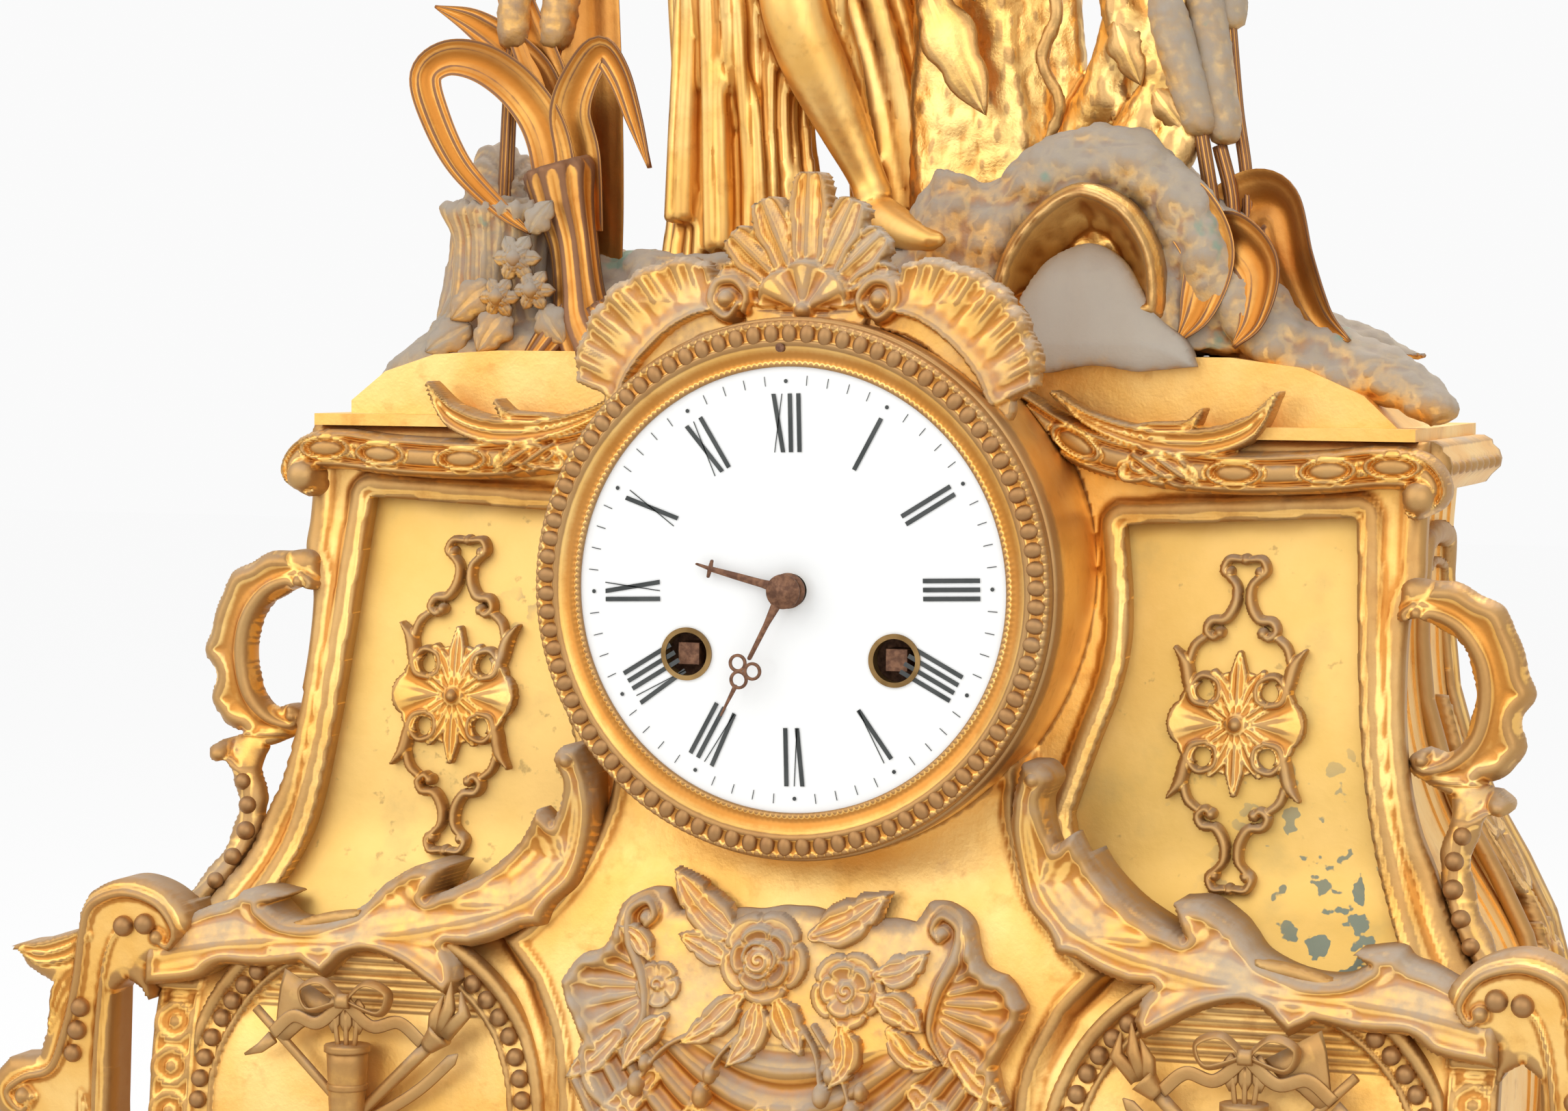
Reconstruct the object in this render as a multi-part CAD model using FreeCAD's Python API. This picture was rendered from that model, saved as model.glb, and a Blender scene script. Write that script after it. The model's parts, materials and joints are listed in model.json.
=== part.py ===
import FreeCAD, Part
import math
import os
from FreeCAD import Vector

# A gilt figural mantel clock. Lengths in millimetres.
# Every piece is drawn about the dial's centre: x to the viewer's right, y backwards, z up.
# At the end it is lifted so that the origin is the middle of the footprint, on the table.

# Dial, bezel and drum
dialSight = 45.0             # radius of the enamel that shows
dialHeight = 183.0           # dial's centre above the table
dialSetback = 55.0           # dial's face before the middle of the footprint
enamelThick = 1.4
enamelLap = 1.8              # enamel hidden under the bezel's lip
dialHole = 3.4
panThick = 1.0
bezelWidth = 9.3
bezelRise = 3.0              # bezel's crest before the enamel
spigotLength = 7.0
spigotWall = 2.3
drumProud = 0.7              # drum's radius over the bezel's
drumWall = 2.5
slipGap = 0.2                # seats that slide together
runGap = 0.05                # a shaft in its hole, on the radius
windowLap = 3.0              # a backing plate's rim behind its window

# Case
facadeHalf = 143.0           # half the width across the lower front
facadeHeight = 189.0         # foot of the front casting to the cornice's top
frontSweep = 38.0            # how far the upper wall stands behind the dial's face
frontWall = 4.0
sideWall = 3.0
backWall = 3.0
caseBack = 112.0             # inner face of the back behind the dial's face
slabThick = 2.5
plinthHeight = 13.0
plinthStep = 5.0
plinthOverhang = 30.0         # plinth past the casting at each side
plinthFront = 14.0
footHeight = 12.0
footProud = 4.0              # feet past the plinth
footLength = 34.0
ridgeRise = 1.6              # moulding round each panel
ridgeWidth = 3.2
panelThick = 1.2
appliqueThick = 3.0
corniceProud = 8.0
fluteCount = 6
fluteRise = 2.0
bracketThick = 12.0
bracketProud = 2.0           # bracket's face before the casting's foot
handleFront = 27.5
handleThick = 11.0
strutBead = 2.3
beadRise = 1.4
medallionRadius = 42.0
medallionBand = 8.0
medallionRise = 4.5
medallionDepth = 2.0
trophyRod = 2.0
acanthusRise = 3.0
shellRise = 3.5
roseRadius = 8.0
crestFront = 8.0
crestThick = 5.0

# Terrace, rock and figure
terraceHalf = 115.0
terraceHeight = 14.0
terraceFront = 42.5
terraceDepth = 64.0
terraceWall = 4.0
rockHeight = 22.0            # top of the ledge over the terrace's top
figureHeight = 187.0
trunkRadius = 18.0
trunkHeight = 112.0
stemRadius = 1.3
leafThick = 1.2

# Movement
strapHalf = 4.0
strapThick = 1.5
strapStart = 3.5
plateGap = 3.9               # movement plates to the straps
plateThick = 2.2
plateFront = 9.0             # front plate's face behind the dial's face
plateSpan = 31.0             # between the plates
pillarRadius = 2.6
windX = 22.0
windZ = -13.5
windHole = 4.9
windSquare = 4.4
windArbor = 3.2
squareStart = 1.3
ratchetRadius = 8.0
ratchetThick = 1.6
grommetFlange = 0.5
wheelThick = 1.2
pinionLength = 3.2
arborRadius = 0.9
pivotRadius = 0.7
barrelModule = 0.45
barrelTeeth = 76
barrelDrum = 15.5
barrelFlange = 2.0
trainPinion = 10
wheelModule = 0.45
middleTeeth = 64
centrePinion = 8
centreModule = 0.4
centreTeeth = 72
thirdPinion = 8
thirdModule = 0.35
thirdTeeth = 70
escapePinion = 7
escapeTeeth = 36
escapeRadius = 8.5
escapeZ = 21.0
palletZ = 36.0
strikeTurn = 110.0           # way from the strike barrel to its pin wheel, degrees
pinTeeth = 64
pinModule = 0.4
flyPinion = 8
flyTurn = 95.0
flyHalf = 6.5
flyLength = 12.0
pinCount = 8
pinRadius = 0.5
cannonTeeth = 12
minuteTeeth = 36
motionModule = 0.5
minutePinion = 10
hourTeeth = 40
handThick = 0.8
minuteClock = 207.0          # both hands as they stand, clockwise degrees from twelve
hourClock = 283.7
minuteHandLength = 29.0
hourHandLength = 20.0
handCollet = 3.5
cannonRadius = 2.0
hourPipe = 2.9
hammerX = -40.0
hammerZ = -8.0
hammerArm = 22.4
hammerHead = 3.5
bellRadius = 34.0
bellWall = 1.5
bellDepth = 20.0
bellFront = 60.0
rodRadius = 1.0
bobRadius = 13.0
bobThick = 7.0
bobDrop = 98.0               # bob's centre under the suspension
pendulumY = 52.0
regulatorRadius = 0.9
rearBezelRadius = 56.0
rearBezelThick = 3.0
doorThick = 1.2
hingeRadius = 1.6
hingePin = 0.8
boltRadius = 1.8
boltInset = 20.0             # case screws inside the facade's half width
lugHeight = 9.0
lugHalf = 5.0

bodyBottom = -158.0 / 189.0 * facadeHeight
bodyTop = 31.0 / 189.0 * facadeHeight
overrun = 2.0 * frontSweep

# Places that follow from the sizes above
enamelRadius = dialSight + enamelLap
bezelBore = enamelRadius + slipGap
bezelOuter = dialSight + bezelWidth
drumOuter = bezelOuter + drumProud
drumInner = drumOuter - drumWall
spigotOuter = drumInner - slipGap
spigotInner = spigotOuter - spigotWall
strapFace = math.sqrt(spigotInner ** 2 - strapHalf ** 2) - slipGap
plateRadius = strapFace - strapThick - plateGap
drumBack = frontSweep + frontWall
panBack = enamelThick + panThick
plateBack = plateFront + plateThick + plateSpan
plateRear = plateBack + plateThick
caseRear = caseBack + backWall
slabTop = bodyTop + slabThick
terraceTop = slabTop + terraceHeight
ledgeTop = terraceTop + rockHeight
regulatorX = -1.8 / 45.0 * dialSight
regulatorZ = dialSight + bezelWidth * 0.41
cockFront = plateRear + 4.8 / 31.0 * plateSpan
cockThick = 1.5 / 2.2 * plateThick
cockHalf = 15.0 / 36.0 * palletZ
crutchFoot = palletZ / 3
standX = -14.0 / 34.0 * bellRadius
standZ = -22.0 / 34.0 * bellRadius
hingeX = -rearBezelRadius + hingeRadius * 2
hingeY = caseRear + rearBezelThick + hingeRadius + slipGap
knuckleLength = hingeRadius * 3
plinthTop = bodyBottom
plinthLow = plinthTop - plinthHeight
footLow = -dialHeight
plinthBack = 2 * dialSetback + plinthFront
footprintFrontY = -plinthFront - footProud
footprintBackY = 2 * dialSetback - footprintFrontY
boltPlaces = [(side * (facadeHalf - boltInset), y) for side in (-1, 1)
              for y in (plinthFront, caseBack - lugHalf * 1.6)]

barrelFront = plateFront + plateThick + wheelThick
barrelBack = barrelFront + barrelDrum
flangeFront = barrelBack - barrelFlange
# Planes of the train, from the barrels' flanges to the back plate
barrelPinionFront = flangeFront - (pinionLength - barrelFlange) / 2
middleFront = plateBack - wheelThick * 2.3
middlePinionFront = middleFront - (pinionLength - wheelThick) / 2 + wheelThick * 0.2
centreFront = barrelBack + pinionLength * 0.95
thirdFront = centreFront + wheelThick * 3.4
thirdPinionFront = centreFront - (pinionLength - wheelThick) / 2
escapeFront = centreFront - wheelThick * 2.6
escapePinionFront = thirdFront - (pinionLength - wheelThick) / 2
pinWheelFront = centreFront - wheelThick * 0.6
flyPinionFront = pinWheelFront - (pinionLength - wheelThick) / 2
motionFront = plateFront - wheelThick * 1.5
hourFront = motionFront - wheelThick * 1.7
handPlane = -handThick * 1.9
minuteHandPlane = handPlane - handThick * 2.2

# Curves of the front and the sides: height shares of the facade, depth shares of the sweep
frontShares = [(0.164, 1), (0.127, 1), (0.0794, 0.9842), (0.0265, 0.9211), (-0.0529, 0.8237),
               (-0.1323, 0.7368), (-0.2169, 0.6737), (-0.3016, 0.6184), (-0.3439, 0.5132),
               (-0.3862, 0.3553), (-0.4286, 0.2368), (-0.4709, 0.1579), (-0.5291, 0.0684), (-0.6349, 0),
               (-0.836, -0.0447)]
bossShares = [(-0.1587, 0.4605), (-0.2222, 0.3947), (-0.2698, 0.3474), (-0.3175, 0.2632),
              (-0.381, 0.1842), (-0.4497, 0.1184), (-0.5291, 0.0421), (-0.6349, -0.0263),
              (-0.836, -0.0711)]
acanthusShares = [(-0.1376, 0.1184), (-0.1799, 0.1579), (-0.2381, 0.2105), (-0.2963, 0.2368),
                  (-0.3492, 0.1579), (-0.4021, 0.0789), (-0.455, 0), (-0.5185, -0.1053)]
sideShares = [(0.164, 0.8252), (0.1058, 0.8147), (0, 0.8077), (-0.1058, 0.8126), (-0.2116, 0.8427),
              (-0.291, 0.8916), (-0.3704, 0.9545), (-0.4497, 0.9895), (-0.582, 0.9944), (-0.836, 0.9944)]

# Outlines on the front, right-hand side: shares of the half width and of the height
wallShares = [
    [(0, 0.164)],
    [(0.8531, 0.164)],
    [(0.8531, 0.0529), (0.8531, 0.0159), (0.8357, -0.0265), (0.8357, -0.1164), (0.8462, -0.1905),
     (0.8636, -0.2434), (0.8846, -0.2804), (0.9091, -0.328), (0.951, -0.3783), (1, -0.4233)],
    [(1, -0.836)],
    [(0, -0.836)],
]
panelShares = [
    [(0.4196, 0.0688)],
    [(0.7552, 0.082)],
    [(0.7622, 0), (0.7692, -0.0794), (0.7832, -0.1852), (0.8112, -0.291), (0.8531, -0.3704),
     (0.8811, -0.4074)],
    [(0.6294, -0.4021)],
    [(0.4615, -0.3651), (0.3916, -0.3069), (0.3671, -0.2434)],
    [(0.3986, -0.1693), (0.4266, -0.1058), (0.4371, -0.0529), (0.4336, 0)],
]
bossOutlineShares = [
    [(0, -0.2116)],
    [(0.3077, -0.1746)],
    [(0.3182, -0.2434), (0.3497, -0.3069), (0.4056, -0.3598), (0.4615, -0.3968)],
    [(0.4056, -0.4444), (0.3706, -0.5026), (0.3566, -0.5714)],
    [(0.3566, -0.836)],
    [(0, -0.836)],
]
acanthusOutlineShares = [
    [(0.3217, -0.1905), (0.3531, -0.172), (0.3776, -0.1958), (0.3671, -0.2275), (0.3531, -0.254),
     (0.3706, -0.291), (0.4196, -0.3333), (0.4895, -0.3677)],
    [(0.514, -0.3254), (0.5524, -0.3466), (0.5874, -0.3413), (0.6434, -0.3651), (0.7273, -0.3862)],
    [(0.7797, -0.3624), (0.8042, -0.3836), (0.8741, -0.4021), (0.9371, -0.4339), (1, -0.455)],
    [(0.9371, -0.4656), (0.8392, -0.4497), (0.7413, -0.4656), (0.6993, -0.4444)],
    [(0.6294, -0.418), (0.5594, -0.4233), (0.5035, -0.4524), (0.4895, -0.4286), (0.4196, -0.4127),
     (0.3636, -0.3704)],
    [(0.3147, -0.328), (0.2902, -0.2857), (0.2867, -0.2434)],
]
corniceShares = [
    [(0.2657, 0.2169), (0.3357, 0.1778), (0.4196, 0.1598), (0.5594, 0.1492), (0.6993, 0.1513),
     (0.7972, 0.1598), (0.8531, 0.1524), (0.8846, 0.1243), (0.8741, 0.0952), (0.8462, 0.0873),
     (0.8217, 0.1032)],
    [(0.7832, 0.1138), (0.6993, 0.1101), (0.5594, 0.1037), (0.4336, 0.1175), (0.3566, 0.1376),
     (0.2867, 0.1746)],
]
handleShares = [
    [(0.8182, -0.0265), (0.8252, 0.0132), (0.8741, 0.0222), (0.9441, 0.0053), (0.9825, -0.0212),
     (0.9965, -0.0529), (1.0154, -0.0952), (1, -0.127), (1.0028, -0.1587), (0.986, -0.182),
     (0.951, -0.1937)],
    [(0.972, -0.1968), (0.993, -0.2143), (0.9755, -0.2275), (0.9545, -0.2302), (0.9399, -0.2646),
     (0.9413, -0.2963), (0.9608, -0.3333), (0.986, -0.3651), (1.028, -0.4021)],
    [(1.021, -0.4339)],
    [(0.951, -0.381)],
    [(0.9091, -0.328), (0.8895, -0.2804), (0.8986, -0.2434), (0.9035, -0.2074)],
    [(0.8671, -0.2011), (0.842, -0.1852), (0.8434, -0.163), (0.8671, -0.1566), (0.8951, -0.1619),
     (0.9203, -0.1376), (0.9287, -0.1058), (0.9231, -0.0688), (0.8951, -0.0392), (0.8531, -0.0243)],
]
bracketShares = [
    [(1, -0.4444)],
    [(0.958, -0.4233), (0.9336, -0.3915), (0.972, -0.3598), (1.035, -0.3466), (1.0909, -0.3624),
     (1.1154, -0.3915)],
    [(1.1014, -0.4127), (1.1259, -0.4339), (1.1748, -0.4413), (1.2203, -0.4286)],
    [(1.2028, -0.4524), (1.1573, -0.4709)],
    [(1.1622, -0.5079), (1.1818, -0.5556)],
    [(1.2308, -0.5587), (1.2622, -0.5873), (1.2483, -0.6243), (1.1958, -0.6376)],
    [(1.1608, -0.6878), (1.1643, -0.746)],
    [(1.1818, -0.836)],
    [(1, -0.836)],
    [(1, -0.746)],
    [(1.0315, -0.7593), (1.0629, -0.746)],
    [(1.0643, -0.6085), (1.0594, -0.4762)],
    [(1.035, -0.4603), (1.0112, -0.4709)],
    [(1, -0.4868)],
]
shellShares = [
    [(0, -0.3386)],
    [(0.0979, -0.3492), (0.1748, -0.3519)],
    [(0.1958, -0.3307), (0.2308, -0.3307), (0.2657, -0.3545), (0.2797, -0.3915), (0.3147, -0.4021)],
    [(0.3497, -0.4339), (0.3252, -0.4762), (0.3077, -0.4974)],
    [(0.3287, -0.5397), (0.2937, -0.582), (0.2378, -0.5979)],
    [(0.1818, -0.6455), (0.0979, -0.672), (0, -0.6825)],
]
appliqueShares = [
    [(0.5944, 0.0344), (0.6189, 0.0212), (0.607, -0.0053), (0.6364, -0.0317), (0.6713, -0.0635)],
    [(0.6853, -0.082), (0.6685, -0.1058), (0.6965, -0.1376), (0.6685, -0.172)],
    [(0.6811, -0.2037), (0.6434, -0.2222), (0.6084, -0.2487), (0.621, -0.2963), (0.5944, -0.3101)],
    [(0.5678, -0.2963), (0.5804, -0.2487), (0.5455, -0.2222), (0.5077, -0.2037)],
    [(0.5203, -0.172), (0.4923, -0.1376), (0.5203, -0.1058), (0.5035, -0.082)],
    [(0.5175, -0.0635), (0.5524, -0.0317), (0.5818, -0.0053), (0.5699, 0.0212)],
]
appliqueWindowShares = [
    [(0.5944, -0.0397), (0.6329, -0.0661), (0.6084, -0.0873), (0.5944, -0.0714), (0.5804, -0.0873),
     (0.5559, -0.0661)],
]
crestShares = [
    [(0, 0.4471)],
    [(0.0385, 0.4339), (0.049, 0.4101)],
    [(0.0839, 0.418), (0.1189, 0.4101), (0.1364, 0.3862)],
    [(0.1224, 0.3598), (0.1329, 0.3492)],
    [(0.1958, 0.3519), (0.2727, 0.3201), (0.3217, 0.2646), (0.3259, 0.2222), (0.3042, 0.1984)],
    [(0.2098, 0.2328), (0, 0.2804)],
]

corniceFootShare = 20.0 / 189.0
strutHeadShare = -41.0 / 189.0

# Places on the front, in the same shares
strutBeadShares = [(0.9245, -0.246), (0.9147, -0.2725), (0.9147, -0.3016), (0.9287, -0.3307),
                   (0.9462, -0.3566), (0.972, -0.3799), (0.9944, -0.3989)]
appliqueHoleShares = [(0.5524, -0.1074), (0.6364, -0.1074), (0.5524, -0.1746), (0.6364, -0.1746)]
medallionShares = [(0.6608, -0.5926)]
bracketBeadShares = [(1.035, -0.3995), (1, -0.3958), (1.1063, -0.4947), (1.1119, -0.5212),
                     (1.1189, -0.5476)]
roseShares = [(-0.035, -0.3968)]

# Figure, trunk and plants: shares of the figure's height, from the top of the ledge
# Each level is height, middle x, middle y, half width, half depth
gownShares = [(-0.0321, -0.1658, 0.3422, 0.0963, 0.0775), (0.0642, -0.1658, 0.3422, 0.0856, 0.0722),
              (0.1711, -0.1711, 0.3422, 0.0802, 0.0695), (0.3048, -0.1658, 0.3422, 0.0909, 0.0749),
              (0.4118, -0.1551, 0.3422, 0.0963, 0.0802), (0.492, -0.1444, 0.3422, 0.0882, 0.0695),
              (0.5561, -0.1337, 0.3422, 0.0615, 0.0508), (0.6257, -0.123, 0.3422, 0.0722, 0.0588),
              (0.6898, -0.1123, 0.3422, 0.0802, 0.0508), (0.7326, -0.107, 0.3422, 0.0695, 0.0374),
              (0.754, -0.1043, 0.3422, 0.0321, 0.0294)]
neckShares = [(0.7433, -0.1043, 0.3422, 0.0278, 0.0278), (0.7914, -0.0963, 0.3396, 0.0246, 0.0257),
              (0.8342, -0.0909, 0.3369, 0.0257, 0.0267)]
headShares = [(0.8209, -0.0882, 0.3316, 0.0182, 0.0225), (0.8449, -0.0866, 0.3316, 0.0353, 0.0417),
              (0.8824, -0.0845, 0.3342, 0.0449, 0.0513), (0.9198, -0.0829, 0.3369, 0.0471, 0.0545),
              (0.9572, -0.0818, 0.3401, 0.0396, 0.046), (0.984, -0.0813, 0.3422, 0.0235, 0.0278),
              (0.9979, -0.0813, 0.3422, 0.0086, 0.0096)]
bunShares = [(0.8717, -0.0834, 0.3904, 0.016, 0.0139), (0.893, -0.0834, 0.3984, 0.0289, 0.0246),
             (0.9198, -0.0834, 0.4011, 0.031, 0.0267), (0.9465, -0.0834, 0.3957, 0.016, 0.015)]
# Each limb is x, y, height and radius
thighShares = [(-0.1283, 0.3209, 0.492, 0.0588), (-0.1123, 0.2941, 0.4064, 0.0508),
               (-0.0936, 0.2727, 0.3102, 0.0385), (-0.0829, 0.2727, 0.2567, 0.0353),
               (-0.0642, 0.2888, 0.2032, 0.0374), (-0.0374, 0.3048, 0.139, 0.0299),
               (-0.0134, 0.3128, 0.0856, 0.0225), (-0.0032, 0.3128, 0.0588, 0.0235)]
footShares = [(-0.0128, 0.3262, 0.0439, 0.0246), (0.0128, 0.2995, 0.0353, 0.0262),
              (0.0455, 0.2727, 0.0214, 0.0235), (0.0722, 0.2535, 0.0128, 0.0182),
              (0.0888, 0.2417, 0.0086, 0.0118)]
rightArmShares = [(-0.1765, 0.3422, 0.7059, 0.0278), (-0.2086, 0.3369, 0.6417, 0.0283),
                  (-0.2353, 0.3262, 0.5561, 0.0241), (-0.2246, 0.2995, 0.5134, 0.0225),
                  (-0.1872, 0.2754, 0.4706, 0.0176), (-0.1658, 0.2674, 0.4545, 0.0193),
                  (-0.1471, 0.262, 0.4465, 0.0139)]
leftArmShares = [(-0.0374, 0.3422, 0.7112, 0.0278), (0.0107, 0.3476, 0.6631, 0.0267),
                 (0.0695, 0.3583, 0.6176, 0.0235), (0.0775, 0.3369, 0.6096, 0.0225),
                 (0.0535, 0.2941, 0.6203, 0.0182), (0.0348, 0.2727, 0.6267, 0.0187),
                 (0.0187, 0.2599, 0.631, 0.0128)]
# Trunk and rocks: height, middle x, middle y, half width, half depth, and how deeply lobed
trunkShares = [(-0.0428, 0.1337, 0.4064, 0.1283, 0.0909, 0.1),
               (0.0963, 0.1203, 0.4064, 0.115, 0.0829, 0.09),
               (0.2406, 0.1176, 0.4011, 0.1043, 0.0775, 0.07),
               (0.4011, 0.1176, 0.3957, 0.0936, 0.0749, 0.07),
               (0.508, 0.1176, 0.393, 0.0856, 0.0722, 0.08),
               (0.5775, 0.115, 0.3904, 0.0877, 0.0749, 0.06)]
ledgeLevelShares = [(-0.1176, 0.016, 0.3957, 0.5936, 0.1578, 0.02),
                    (-0.0856, 0.0107, 0.3957, 0.5508, 0.1551, 0.05),
                    (-0.0481, -0.0053, 0.3957, 0.4706, 0.1524, 0.06),
                    (-0.016, -0.016, 0.385, 0.385, 0.1444, 0.07),
                    (0, -0.016, 0.3743, 0.3316, 0.1283, 0.06)]
archShares = (0.246, -0.0321, 0.0642)     # the spring's mouth: across, up, radius
springShares = [(-0.1123, 0.2995, 0.3743, 0.246, 0.1337, 0.04),
                (-0.0481, 0.2834, 0.3636, 0.2032, 0.1257, 0.07),
                (0.0214, 0.2674, 0.3583, 0.1658, 0.115, 0.09),
                (0.0695, 0.262, 0.3583, 0.1283, 0.0963, 0.1),
                (0.1016, 0.2567, 0.3583, 0.0749, 0.0588, 0.1)]
stumpShares = [(-0.1123, -0.4706, 0.385, 0.1016, 0.0909, 0.06),
               (-0.0535, -0.4652, 0.3797, 0.0856, 0.0749, 0.1),
               (0.0107, -0.4652, 0.3743, 0.0722, 0.0642, 0.12),
               (0.0588, -0.4652, 0.3743, 0.0695, 0.0615, 0.14)]
branchShares = [(0.2139, 0.3957, 0.107, 0.0428), (0.262, 0.3636, 0.1818, 0.0353),
                (0.2834, 0.3529, 0.2674, 0.0289), (0.2888, 0.3636, 0.3529, 0.0235),
                (0.3048, 0.3743, 0.4278, 0.015)]
# Plants: path points x, y, height, with a radius for stems and a width for leaves
leftStemShares = [
    [(-0.3529, 0.2995, -0.1016, 0.0348), (-0.3529, 0.2995, -0.0214, 0.0299),
     (-0.3583, 0.3048, 0.107, 0.0246), (-0.3529, 0.3102, 0.246, 0.0225),
     (-0.3476, 0.3209, 0.4064, 0.0182), (-0.3422, 0.3316, 0.5561, 0.0075)],
    [(-0.4064, 0.3209, -0.0856, 0.0086), (-0.4091, 0.3262, 0.0428, 0.0086),
     (-0.4171, 0.3316, 0.1604, 0.008), (-0.4278, 0.3422, 0.2781, 0.008)],
    [(-0.3209, 0.3316, -0.0749, 0.0086), (-0.3235, 0.3369, 0.107, 0.0086),
     (-0.3316, 0.3422, 0.3209, 0.008), (-0.3369, 0.3476, 0.4706, 0.0075)],
]
leftHeadShares = [
    [(-0.4257, 0.3412, 0.2674, 0.0096), (-0.4299, 0.3439, 0.2834, 0.0187),
     (-0.4439, 0.3529, 0.3743, 0.0198), (-0.4492, 0.3583, 0.4171, 0.016),
     (-0.4513, 0.3599, 0.4332, 0.0064)],
    [(-0.3364, 0.3476, 0.4599, 0.0096), (-0.338, 0.3487, 0.4759, 0.0182),
     (-0.3449, 0.3529, 0.5668, 0.0193), (-0.3476, 0.3545, 0.6043, 0.015),
     (-0.3487, 0.3551, 0.6203, 0.0064)],
]
leftLeafShares = [
    [(-0.3743, 0.2995, 0.0321, 0.0428), (-0.4118, 0.2941, 0.139, 0.0428),
     (-0.4599, 0.2888, 0.2193, 0.0396), (-0.508, 0.2834, 0.246, 0.0353),
     (-0.5401, 0.2781, 0.2246, 0.0321), (-0.5294, 0.2727, 0.1497, 0.0289),
     (-0.4866, 0.2674, 0.0749, 0.0235), (-0.4278, 0.2674, 0.0214, 0.0053)],
    [(-0.3316, 0.3102, 0.0749, 0.0428), (-0.3369, 0.3048, 0.1604, 0.0406),
     (-0.3209, 0.2995, 0.2353, 0.0353), (-0.2888, 0.2941, 0.2513, 0.0289),
     (-0.2674, 0.2888, 0.1925, 0.0235), (-0.2513, 0.2834, 0.1176, 0.0053)],
    [(-0.385, 0.3209, 0.0642, 0.0428), (-0.4171, 0.3262, 0.1818, 0.0428),
     (-0.4652, 0.3316, 0.2674, 0.0353), (-0.5241, 0.3369, 0.3155, 0.0053)],
    [(-0.3422, 0.3209, 0.2139, 0.0401), (-0.3583, 0.3209, 0.3316, 0.0401),
     (-0.385, 0.3209, 0.4492, 0.0321), (-0.4278, 0.3209, 0.5348, 0.0053)],
]
rightStemShares = [
    [(0.3904, 0.2995, 0.0267, 0.0171), (0.4225, 0.3075, 0.0053, 0.0171), (0.4545, 0.3075, -0.016, 0.016),
     (0.4973, 0.3075, -0.0428, 0.0128)],
    [(0.4011, 0.3102, 0.0107, 0.008), (0.3877, 0.3075, 0.0749, 0.008), (0.3717, 0.3048, 0.1444, 0.008)],
    [(0.4091, 0.3209, 0, 0.008), (0.4064, 0.3209, 0.0642, 0.008), (0.393, 0.3209, 0.1176, 0.008)],
    [(0.4171, 0.3316, 0, 0.007), (0.4198, 0.3316, 0.0749, 0.007), (0.4091, 0.3369, 0.1604, 0.007),
     (0.4011, 0.3422, 0.2567, 0.007)],
]
rightHeadShares = [
    [(0.3727, 0.3048, 0.1369, 0.0096), (0.3701, 0.3048, 0.1519, 0.0214),
     (0.3503, 0.3048, 0.2246, 0.0246), (0.3342, 0.3048, 0.2888, 0.0225),
     (0.3283, 0.3048, 0.3102, 0.0086)],
    [(0.3941, 0.3209, 0.1102, 0.0096), (0.3914, 0.3209, 0.1251, 0.0203),
     (0.3797, 0.3235, 0.2139, 0.0235), (0.3663, 0.3262, 0.2995, 0.0214),
     (0.3615, 0.3273, 0.3209, 0.0086)],
    [(0.4016, 0.3422, 0.2487, 0.0086), (0.4011, 0.3428, 0.262, 0.0182), (0.3989, 0.3476, 0.3316, 0.0193),
     (0.3979, 0.3497, 0.369, 0.0075)],
]
rightLeafShares = [
    [(0.3957, 0.2888, -0.0321, 0.0481), (0.4118, 0.2834, 0.0214, 0.0481),
     (0.4385, 0.2888, 0.0588, 0.0449), (0.4652, 0.2995, 0.0717, 0.0406),
     (0.4813, 0.3102, 0.0428, 0.0342), (0.492, 0.3209, -0.0053, 0.0053)],
    [(0.4492, 0.3102, -0.0214, 0.0374), (0.4866, 0.3102, -0.0374, 0.0374),
     (0.5294, 0.3048, -0.0642, 0.0289), (0.5668, 0.3048, -0.0909, 0.0053)],
    [(0.3743, 0.2995, -0.0214, 0.0321), (0.3636, 0.2995, 0.0642, 0.0353),
     (0.3743, 0.2995, 0.139, 0.0342), (0.3925, 0.2995, 0.2032, 0.0053)],
]


def vec(x, y, z):
    return Vector(x, y, z)


def line(a, b):
    return Part.LineSegment(a, b).toShape()


def curve(points):
    if len(points) == 2:
        return line(points[0], points[1])
    spline = Part.BSplineCurve()
    spline.interpolate(points)
    return spline.toShape()


def facade(shares):
    return [(fx * facadeHalf, fz * facadeHeight) for fx, fz in shares]


def heights(shares, across):
    return [(share * across, fz * facadeHeight) for fz, share in shares]


def slab(runs, front, back):
    """A plate square to the front, cut to an outline of curved runs."""
    placed = [facade(run) for run in runs]
    edges = []
    for run, following in zip(placed, placed[1:] + placed[:1]):
        edges.append(curve([vec(x, front, z) for x, z in run + following[:1]]))
    face = Part.Face(Part.Wire(edges))
    return face.extrude(vec(0, back - front, 0))


def ribbon(shares, front, back, left, right):
    """What lies between two copies of a front curve, from one x to another."""
    near = [vec(left, y + front, z) for y, z in heights(shares, frontSweep)]
    far = [vec(left, y + back, z) for y, z in heights(shares, frontSweep)]
    edges = [curve(near), line(near[-1], far[-1]), curve(far), line(far[0], near[0])]
    return Part.Face(Part.Wire(Part.sortEdges(edges)[0])).extrude(vec(right - left, 0, 0))


def mirrored(shape):
    return shape.mirror(Vector(), Vector(1, 0, 0))


def pair(shape):
    return Part.makeCompound([shape, mirrored(shape)])


def block(x0, x1, y0, y1, z0, z1):
    return Part.makeBox(x1 - x0, y1 - y0, z1 - z0, vec(x0, y0, z0))


def rod(x, z, y0, y1, radius):
    return Part.makeCylinder(radius, y1 - y0, vec(x, y0, z), Vector(0, 1, 0))


def upright(x, y, low, high, radius):
    return Part.makeCylinder(radius, high - low, vec(x, y, low), Vector(0, 0, 1))


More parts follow.
